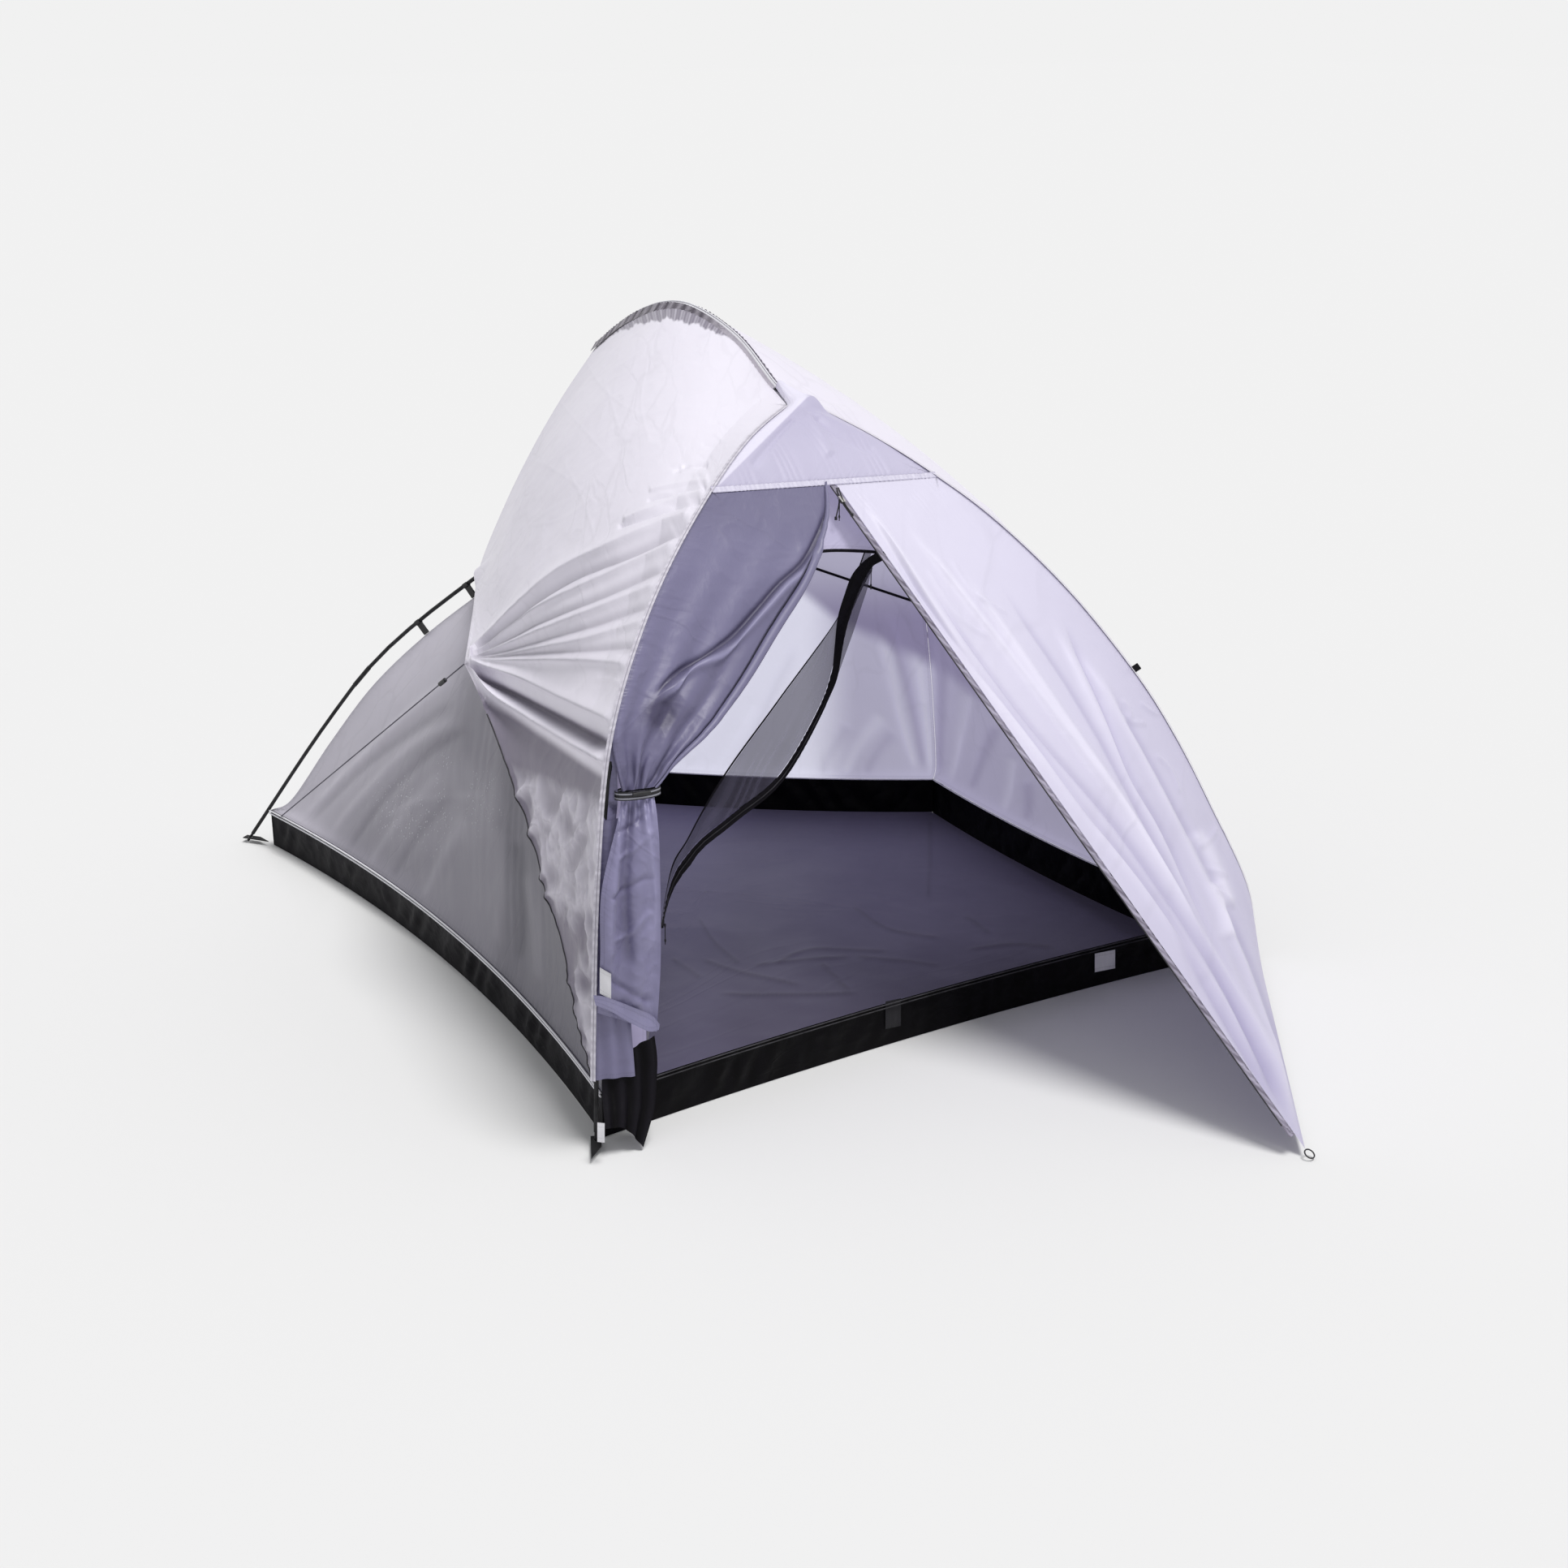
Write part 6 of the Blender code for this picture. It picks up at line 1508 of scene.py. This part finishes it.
# %% Floor
FLOOR_CREASES = (
    ((1048, 1115), (1095, 1144), (1162, 1157)), ((859, 1127), (880, 1160), (914, 1190)),
    ((926, 1190), (977, 1184), (1052, 1178)), ((1052, 1178), (1110, 1184), (1162, 1190)),
    ((1010, 1186), (1030, 1205), (1048, 1224)), ((1187, 1127), (1205, 1140), (1221, 1152)),
    ((1145, 1004), (1145, 1060), (1144, 1112)), ((880, 1224), (940, 1226), (1062, 1224)),
    ((860, 1180), (905, 1196), (990, 1215)), ((950, 1190), (1000, 1170), (1100, 1172)),
    ((1190, 1170), (1250, 1164), (1300, 1168)), ((826, 1180), (845, 1192), (864, 1206)),
)
outline = []
for name in ("front", "right", "rear_right", "rear_left", "left"):
    outline.extend(evenly(inset_side(side[name], 0.0022), 101)[:-1])
outline = np.array(outline + [outline[0]])
rings = np.linspace(1.0, 0.002, 130)[:, None, None]
middle = outline[:-1].mean(axis=0)
floor_flat = middle + (outline - middle)[None] * rings + (0, 0, 0.0022)
places = pictured(floor_flat)
inner = rising(1 - rings[..., 0], 20)
rumple = np.clip(crumple(floor_flat, 0.22, 0.0016, 6.0, 5), -0.0016, 0.003)
lines = laid(places, alike(FLOOR_CREASES, 1.0, 2.2, 2.2))
shaped = floor_flat + ((rumple + 0.0016 * lines) * inner)[..., None] * np.array((0, 0, 1))
near_rear = side_share(places, (1145, 1001), (1381, 1148), 6)
# Painted light and shade of the floor: darker to the right, at the back, at the front, along the
# creases and near the rear right wall, lighter on the left.
tone = 0.62 - 0.34 * step(places[..., 0], 1000, 1380) + 0.22 * step(places[..., 0], 930, 840)
tone = tone - 0.22 * step(places[..., 1], 1050, 1000) * step(places[..., 0], 860, 960)
tone = tone - 0.16 * lines
tone = tone - 0.42 * step(places[..., 1], 1110, 1270)
tone = tone * (0.45 + 0.55 * (near_rear if near_rear[60, 60] > 0.5 else 1 - near_rear))
made = sheet_mesh("groundsheet_cloth", shaped, skins["ground"], tone=np.clip(tone, 0, 1))
turn_sheet(made, shaped, (0, 0, 1))
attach(made, "tent")
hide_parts("groundsheet")
print("floor area", round(area_of(floor_flat), 2))

# %% [markdown]
# ## The mesh door and its zip
# The net door is unzipped and hangs drawn to the left. Its free edge carries a wide black tape with
# the zip's teeth, and a second tape runs round the arch of the doorway.

# %% Ribbons and cords
def ribbon(
        name, line, across, width, skin, rows=5, ruffle=0.0, period=0.02, lift=0.0, tone=0.5,
        sides="", seed=1
):
    """A narrow tape along a line; across is its direction at each point, and ruffle waves it."""
    across = unit_rows(across)
    widths = np.broadcast_to(np.asarray(width, float), (len(line),))[:, None]
    flat = np.stack([line + across * widths * share for share in np.linspace(0, 1, rows)])
    along = distance_along(line)
    phases = np.random.default_rng(seed).uniform(0, 6, 3)
    wave = np.sin(
        2 * math.pi * along / period + phases[0] + 1.2 * np.sin(along / period + phases[1])
    )
    wave = wave * (0.6 + 0.4 * np.sin(0.7 * along / period + phases[2]))
    height = lift + ruffle * wave[None, :] * np.linspace(1, 0.4, rows)[:, None]
    made = sheet_mesh(name, flat + normals_of(flat) * height[..., None], skin, sides, tone)
    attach(made, "tent")
    return made


def tube(name, points, radius, skin, body="tent"):
    """A round cord or piping along the points."""
    curve = bpy.data.curves.new(name, "CURVE")
    curve.dimensions = "3D"
    curve.bevel_depth = radius
    curve.bevel_resolution = 3
    curve.use_fill_caps = True
    line = curve.splines.new("POLY")
    line.points.add(len(points) - 1)
    for i, point in enumerate(points):
        line.points[i].co = (*point, 1)
    made = bpy.data.objects.new(name, curve)
    bpy.context.scene.collection.objects.link(made)
    curve.materials.append(skin)
    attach(made, body)
    return made


print("tapes are grids of points, cords are round curves")

# %% Mesh door
MESH_UPPER = (
    (0.273, 0.253, 0.312), (0.347, 0.298, 0.378), (0.45, 0.339, 0.468), (0.576, 0.356, 0.584),
    (0.723, 0.379, 0.719)
)
MESH_LOWER = (
    (0.264, 0.243, 0.288), (0.347, 0.295, 0.352), (0.448, 0.322, 0.391), (0.572, 0.349, 0.439),
    (0.681, 0.377, 0.55), (0.722, 0.389, 0.63), (0.757, 0.4, 0.711),
)
cad_arch = arch_line[np.linspace(0, len(arch_line) - 1, 15).round().astype(int)]
seats = [surround_line[np.searchsorted(surround_line[:, 2], height)] for height in (0.12, 0.165)]
upper = smooth([seats[1], *at_all(MESH_UPPER), 0.35 * cad_arch[7] + 0.65 * cad_arch[8]])
lower = smooth([seats[0], *at_all(MESH_LOWER), cad_arch[8]])
ends = [evenly([lower[k], upper[k]], 41) for k in (-1, 0)]
net_flat, u, v = grid_of((lower, ends[0], upper, ends[1]), 40, 200)
NET_HEADING = (0.55, 0.1, 0.6)
slack = ripples(net_flat, NET_HEADING, 0.03, 0.0016, 4) * np.sin(math.pi * v)
slack = slack * np.sin(math.pi * u)
# Painted light and shade along the net's slack folds.
tone = np.clip(0.5 + 0.3 * ripples(net_flat, NET_HEADING, 0.022, 1.0, 6), 0, 1)
made = sheet_mesh("net_door", folded(net_flat, slack), skins["net"], tone=tone)
hang(made, net_flat, ["inner_mesh_door"])
CAD_STEPS = 46
first, last = int(round(0.24 * CAD_STEPS)), int(round(0.96 * CAD_STEPS))
cad_lower, cad_upper = (evenly(line, CAD_STEPS)[first:last] for line in (lower, upper))
band_line = evenly(cad_lower, 260)
down = unit_rows(band_line - evenly(cad_upper, 260))
along = unit_rows(np.gradient(band_line, axis=0))
down = unit_rows(down - along * (down * along).sum(axis=1)[:, None])
band_width = np.interp(np.linspace(0, 1, 260), (0, 0.4, 0.8, 1), (0.021, 0.016, 0.015, 0.019))
made = ribbon(
    "net_door_zip_tape", band_line + down * 0.0003, down, band_width, skins["black_tape"],
    9, 0.0008, 0.013, sides="bt",
)
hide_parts("inner_door_zip_tape")
teeth = band_line + down * 0.009 + facing_door
tube("net_door_zip_teeth", teeth, 0.0011, skins["cord"])
hem_line = evenly(upper, 160)
ribbon(
    "net_door_binding", hem_line, hem_line - evenly(lower, 160), 0.004, skins["black_tape"],
    lift=0.0008
)
arch_run = arch_line[4:-4]
ribbon(
    "arch_zip_tape", arch_run + facing_door, np.tile((0, 0, -1.0), (len(arch_run), 1)), 0.006,
    skins["black_tape"]
)
print("mesh door and its tapes:", made.name)

# %% [markdown]
# ## Seams, piping and zips
# Where panels meet over a pole, a narrow sleeve of cloth covers the joint. White piping runs along
# the crown with a grey gathered band below it. All of these are ribbons that follow a line, and
# their ruffles come from the gathers of the cloth beside them.

# %% Seam ribbons
def seam_ribbon(name, line, towards, width, skin, ruffle, period, lift, tone=0.8, seed=1):
    """A ribbon centred on a seam; towards says which way is across."""
    along = unit_rows(np.gradient(line, axis=0))
    across = unit_rows(np.cross(along, towards))
    out = unit_rows(np.cross(across, along))
    middle = len(line) // 2
    sign = 1 if out[middle] @ (line[middle] - MIDDLE) > 0 else -1
    start = line - across * width / 2 + out * sign * lift
    return ribbon(
        name, start, across, width, skin, 7, ruffle, period, tone=tone, seed=seed,
        sides="bt"
    )


def gather_flicker(count, period, low, high, seed):
    """A tone along a seam that flickers between two values: painted light and shade of its gathers.
    """
    rng = np.random.default_rng(seed)
    steps = np.arange(count)
    turns = 2 * math.pi * steps / period
    wave = 0.6 * np.sin(turns + rng.uniform(0, 6)) + 0.4 * np.sin(turns / 2.7 + rng.uniform(0, 6))
    return low + (high - low) * (0.5 + 0.5 * wave)


left_seam = evenly(over_leg("front_left", SEAM_FOOT + 0.002, short=0.001), 520)
lean = raised(left_seam, unit((hub - corner["front_left"]) * (1, 1, 0)), 1) - left_seam
# Painted light and shade of the seam's gathers; the darker middle row marks the joint.
seam_tone = np.tile(gather_flicker(520, 5, 0.6, 0.95, 3), (7, 1))
seam_tone[3] = 0.2
seam_ribbon(
    "front_left_seam", left_seam, lean, 0.0095, skins["hood"], 0.0007, 0.012, 0.0016, seam_tone, 3
)
right_seam = evenly(over_leg("front_right", 0.04, short=0.001), 300)
lean = raised(right_seam, unit((hub - corner["front_right"]) * (1, 1, 0)), 1) - right_seam
seam_ribbon(
    "front_right_seam", right_seam, lean, 0.011, skins["hood"], 0.0006, 0.02, 0.0016, seed=4
)
cross_seam = evenly(gathered, 300)
# Painted light and shade of the cross seam's gathers, darker at its edges.
flicker = np.tile(gather_flicker(300, 6, 0.74, 1.0, 5), (7, 1))
flicker[0], flicker[-1] = 0.3, 0.4
seam_ribbon(
    "porch_cross_seam", cross_seam, np.tile(unit(np.array((0, -0.75, 0.66))), (300, 1)), 0.013,
    skins["porch"], 0.0014, 0.010, 0.0018, flicker, 5
)

# %% Crown
sleeve_top = evenly(raised(crest, back, 0.0075), 120)
tube("crown_piping", sleeve_top, 0.0018, skins["piping"])
# A dark cord along the hood's flank edge: painted shadow under its hem.
tube("hood_flank_shadow_line", evenly(foot_edge, 160), 0.0014, skins["cord"])
tube("crown_pole_sleeve", evenly(crest, 120), 0.0066, skins["piping"])
crown_line = evenly(raised(crest, back, 0.0062), 300)
crown_seen = pictured(crown_line)[:, 0]
for name, sign in (("left", -1), ("right", 1)):
    drop = np.tile(unit(sign * BESIDE * 0.8 + np.array((0, 0, -1.0))), (300, 1))
    # Painted shade on the left part of the gathered band, with flickering painted highlights.
    dark = step(crown_seen, 905, 865)
    shade = 0.85 - 0.75 * dark[None, :] * np.linspace(0.8, 1, 9)[:, None]
    shade = shade + 0.25 * np.sin(np.arange(300) / 2.1)[None, :] * dark[None, :]
    start = crown_line + sign * BESIDE * 0.0078
    wide = 0.012 + 0.012 * dark
    made = ribbon(
        "crown_band_" + name, start, drop, wide, skins["band"], 9, 0.0014, 0.012,
        tone=np.clip(shade, 0, 1), sides="bt", seed=6 + sign,
    )
    if name == "left":
        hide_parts("fly_crown_sleeve")

# %% Porch zip
zip_along = unit(zip_line[-1] - zip_line[0])
zip_aside = gathered[0] - gathered[-1]
zip_aside = unit(zip_aside - zip_along * (zip_aside @ zip_along))
tape_line = evenly([zip_line[0] + zip_along * 0.03, zip_line[-1] - zip_along * SEAM], 500)
# Painted light and shade of the tape's ruffles, darker at its edges.
gathers = gather_flicker(500, 11, 0.05, 0.95, 8)
row_shade = np.array((0.5, 0.8, 1.0, 1.0, 0.9, 0.6, 0.1))[:, None]
shade = np.stack([np.roll(gathers, 2 * row) for row in range(7)]) * row_shade
made = ribbon(
    "fly_zip_tape_cloth", tape_line + zip_aside * 0.0003, np.tile(zip_aside, (500, 1)), 0.015,
    skins["tape"], 7, 0.0013, 0.016, tone=shade, sides="bt", seed=8,
)
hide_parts("fly_zip_tape")
coil = tape_line[8:-2] + zip_aside * 0.0155
tube("fly_zip_teeth", coil, 0.0012, skins["cord"])
print("ribbons and piping are on")

# %% Corner seams of the bathtub
for name, line in side.items():
    foot = inset_side(line, 0.0026)[-1]
    tube(
        "bathtub_corner_seam_after_" + name,
        np.array([foot + (0, 0, 0.004), foot + (0, 0, BATHTUB_HEIGHT)]), 0.0022, skins["bathtub"],
    )
print("corner seams:", len(side))

# %% Piping and tags on the bathtub
for name, skin, radius in (("left", "piping", 0.0018), ("front", "cord", 0.0012)):
    run = unit(side[name][-1] - side[name][0])
    out = np.array((run[1], -run[0], 0))
    rim = sill[name] + out * (0.0032 if name == "left" else 0.0042)
    for label, below_rim in (("upper", 0.001), ("lower", 0.0075)):
        tube(
            "bathtub_" + name + "_" + label + "_piping", evenly(rim - (0, 0, below_rim), 140),
            radius, skins[skin]
        )


TAG_ROWS, TAG_COLUMNS = 6, 10
STRIP_ROWS, STRIP_COLUMNS = 5, 40


def tag_on(name, grid, box, skin, lift=0.003):
    """A small cloth label on a sheet, where the camera sees a box of the picture."""
    x0, y0, x1, y1, slope = box
    paths = [((x0, y), (x1, y + slope)) for y in np.linspace(y1, y0, TAG_ROWS)]
    spots = [seen_on(grid, path, TAG_COLUMNS, lift) for path in paths]
    made = sheet_mesh(name, np.array(spots), skins[skin], "tb", 0.85)
    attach(made, "tent")


def strip_on(name, grid, upper_path, lower_path, skin, lift, tone):
    """A strip of cloth on a sheet between two paths of the picture."""
    upper_path, lower_path = np.array(upper_path, float), np.array(lower_path, float)
    rise = upper_path - lower_path
    paths = [lower_path + rise * share for share in np.linspace(0, 1, STRIP_ROWS)]
    spots = [seen_on(grid, path, STRIP_COLUMNS, lift) for path in paths]
    made = sheet_mesh(name, np.array(spots), skins[skin], "tb", tone)
    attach(made, "tent")


SEAM_SIDE = ((749, 918), (746, 945), (741, 985), (739, 1010), (736, 1040))
DOOR_SIDE = ((758, 918), (760, 945), (761, 985), (759, 1010), (756, 1040))
behind_tie = np.concatenate([tied_flat.reshape(-1, 3), strip_flat.reshape(-1, 3)])
strip_on("leg_strip_upper", behind_tie, SEAM_SIDE, DOOR_SIDE, "tied", -0.003, 0.45)
TURNED_HEM = ((731, 1226), (748, 1229), (780, 1241), (803, 1251), (813, 1262))
HEM_FOOT = ((734, 1239), (752, 1246), (780, 1262), (800, 1271), (812, 1269))
strip_on("tail_turned_hem", tail_shown, TURNED_HEM, HEM_FOOT, "tied", 0.009, 0.85)
# A black strip along a dark line across the upper rear walls.
CEILING_DARK_LINE = ((985, 692), (1050, 714), (1134, 742))
dark_line_foot = [(x, y + 3.4) for x, y in CEILING_DARK_LINE]
rear_points = np.concatenate(rear_seen)
strip_on(
    "rear_ceiling_dark_strip", rear_points, CEILING_DARK_LINE, dark_line_foot,
    "black_tape", 0.004, 0.6,
)
tube(
    "rear_corner_seam", evenly(crease, 80) + 0.0015 * inward, 0.0012, skins["piping"]
)
UPPER_TAPE = (
    (1083, 679), (1066, 690), (1050, 708), (1040, 734), (1032, 762), (1028, 800), (1024, 836),
    (1014, 864)
)
TAPE_EDGE = (
    (1087, 691), (1073, 700), (1061, 722), (1050, 750), (1041, 782), (1036, 812), (1031, 838),
    (1020, 864)
)
strip_on(
    "net_door_upper_tape", net_flat, UPPER_TAPE, TAPE_EDGE,
    "black_tape", 0.008, 0.5,
)
FOLDED_NET = ((1074, 700), (1069, 724), (1062, 746), (1052, 777), (1042, 805), (1031, 836))
strip_on("net_door_fold", net_flat, FOLDED_NET, TAPE_EDGE[1:7], "net", 0.004, 0.5)
tag_on("pale_foot_webbing", flap_flat, (736, 1383, 745, 1407, 1), "tag", 0.02)
for name in ("rear_left", "rear_right", "right"):
    rim = evenly(inset_side(side[name], 0.0032), 120) + (0, 0, BATHTUB_HEIGHT - 0.001)
    tube("bathtub_" + name + "_piping", rim, 0.0014, skins["piping"])
tag_on("pale_care_tag", tub_front, (1349, 1175, 1374, 1198, -5), "tag")
tag_on("black_corner_tag", tub_front, (1091, 1234, 1110, 1268, -4), "webbing")
tag_on("tail_plain_label", tail_shown, (739, 1192, 753, 1224, 8), "tag", 0.006)
print("tags: two on the bathtub, one on the tail, one at the foot")

# %% Knotted cords of the porch zip
for label, path in (
    ("left", ((1031, 601), (1034, 618), (1030, 638))),
    ("right", ((1033, 601), (1040, 619), (1050, 634)))
):
    tube(
        "zip_pull_cord_" + label, seen_on(door_right, path, 14, 0.012), 0.0013, skins["cord"],
        body="fly_zip_pull_body"
    )
    knot = seen_on(door_right, path[-1:] * 2, 2, 0.012)[0]
    tube(
        "zip_pull_knot_" + label, [knot - (0, 0, 0.004), knot + (0, 0, 0.002)], 0.0026,
        skins["cord"], body="fly_zip_pull_body"
    )
print("two cords hang from the zip's slider")

# %% [markdown]
# ## Cords, webbing and small parts
# A taut guy cord runs from each pulled corner of the fly to the foot of the tent, through a small
# line adjuster. Zip pulls are short knotted cords. They keep their CAD place, because the CAD model
# moves them.

# %% Guy cords
GUY_THICKNESS = 0.0026


def guy_cord(name, start, end, node):
    """A taut cord in the place of its CAD node, which is hidden; its line adjuster is the CAD part.
    """
    way = unit(end - start)
    start, end = start + way * 0.002, end - way * 0.0003
    made = tube(name, evenly([start, end], 24), GUY_THICKNESS / 2, skins["guy"])
    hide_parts(node)
    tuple(start)


on_rim = evenly(evenly(side["left"], 13), 81)[2] + (-0.0013 - 0.0007, 0, BATHTUB_HEIGHT - 0.009)
guy_cord("guy_cord_left_line", left_pull, on_rim, "guy_cord_left")
right_foot = leg["right_rear"][0]
beyond = right_foot + unit((right_foot - corner["right_rear"]) * (1, 1, 0)) * 0.031
on_foot = beyond * (1, 1, 0) + (0, 0, 0.01 + 0.0008 + 0.0013 + 0.0003)
guy_cord("guy_cord_right_line", right_pull, on_foot, "guy_cord_right")

# %% Materials for the CAD parts that stay
FINISH = {
    "pole_hub": "plastic", "fly_zip_slider": "slider", "inner_zip_slider_lower": "plastic",
    "inner_zip_slider_upper": "plastic",
    "tieback_toggle": "plastic", "guy_adjuster_left": "plastic", "guy_adjuster_right": "plastic",
    "side_guy_tab": "webbing",
    "front_peg_loop": "cord", "tieback_strap": "striped", "fly_zip_pull": "cord",
    "inner_zip_pull_lower": "cord", "inner_zip_pull_upper": "cord",
}
KIND_FINISH = {"pole_": "pole", "hook_clip": "plastic", "corner_tab": "webbing"}
for name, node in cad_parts.items():
    kinds = [finish for start, finish in KIND_FINISH.items() if name.startswith(start)]
    key = FINISH.get(name) or (kinds[0] if kinds else None)
    if key is None:
        continue
    node.data.materials.clear()
    node.data.materials.append(skins[key])
    for polygon in node.data.polygons:
        polygon.use_smooth = name.startswith("pole_") and name != "pole_hub"
print("CAD parts shown:", sorted(n for n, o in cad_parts.items() if not o.hide_render))
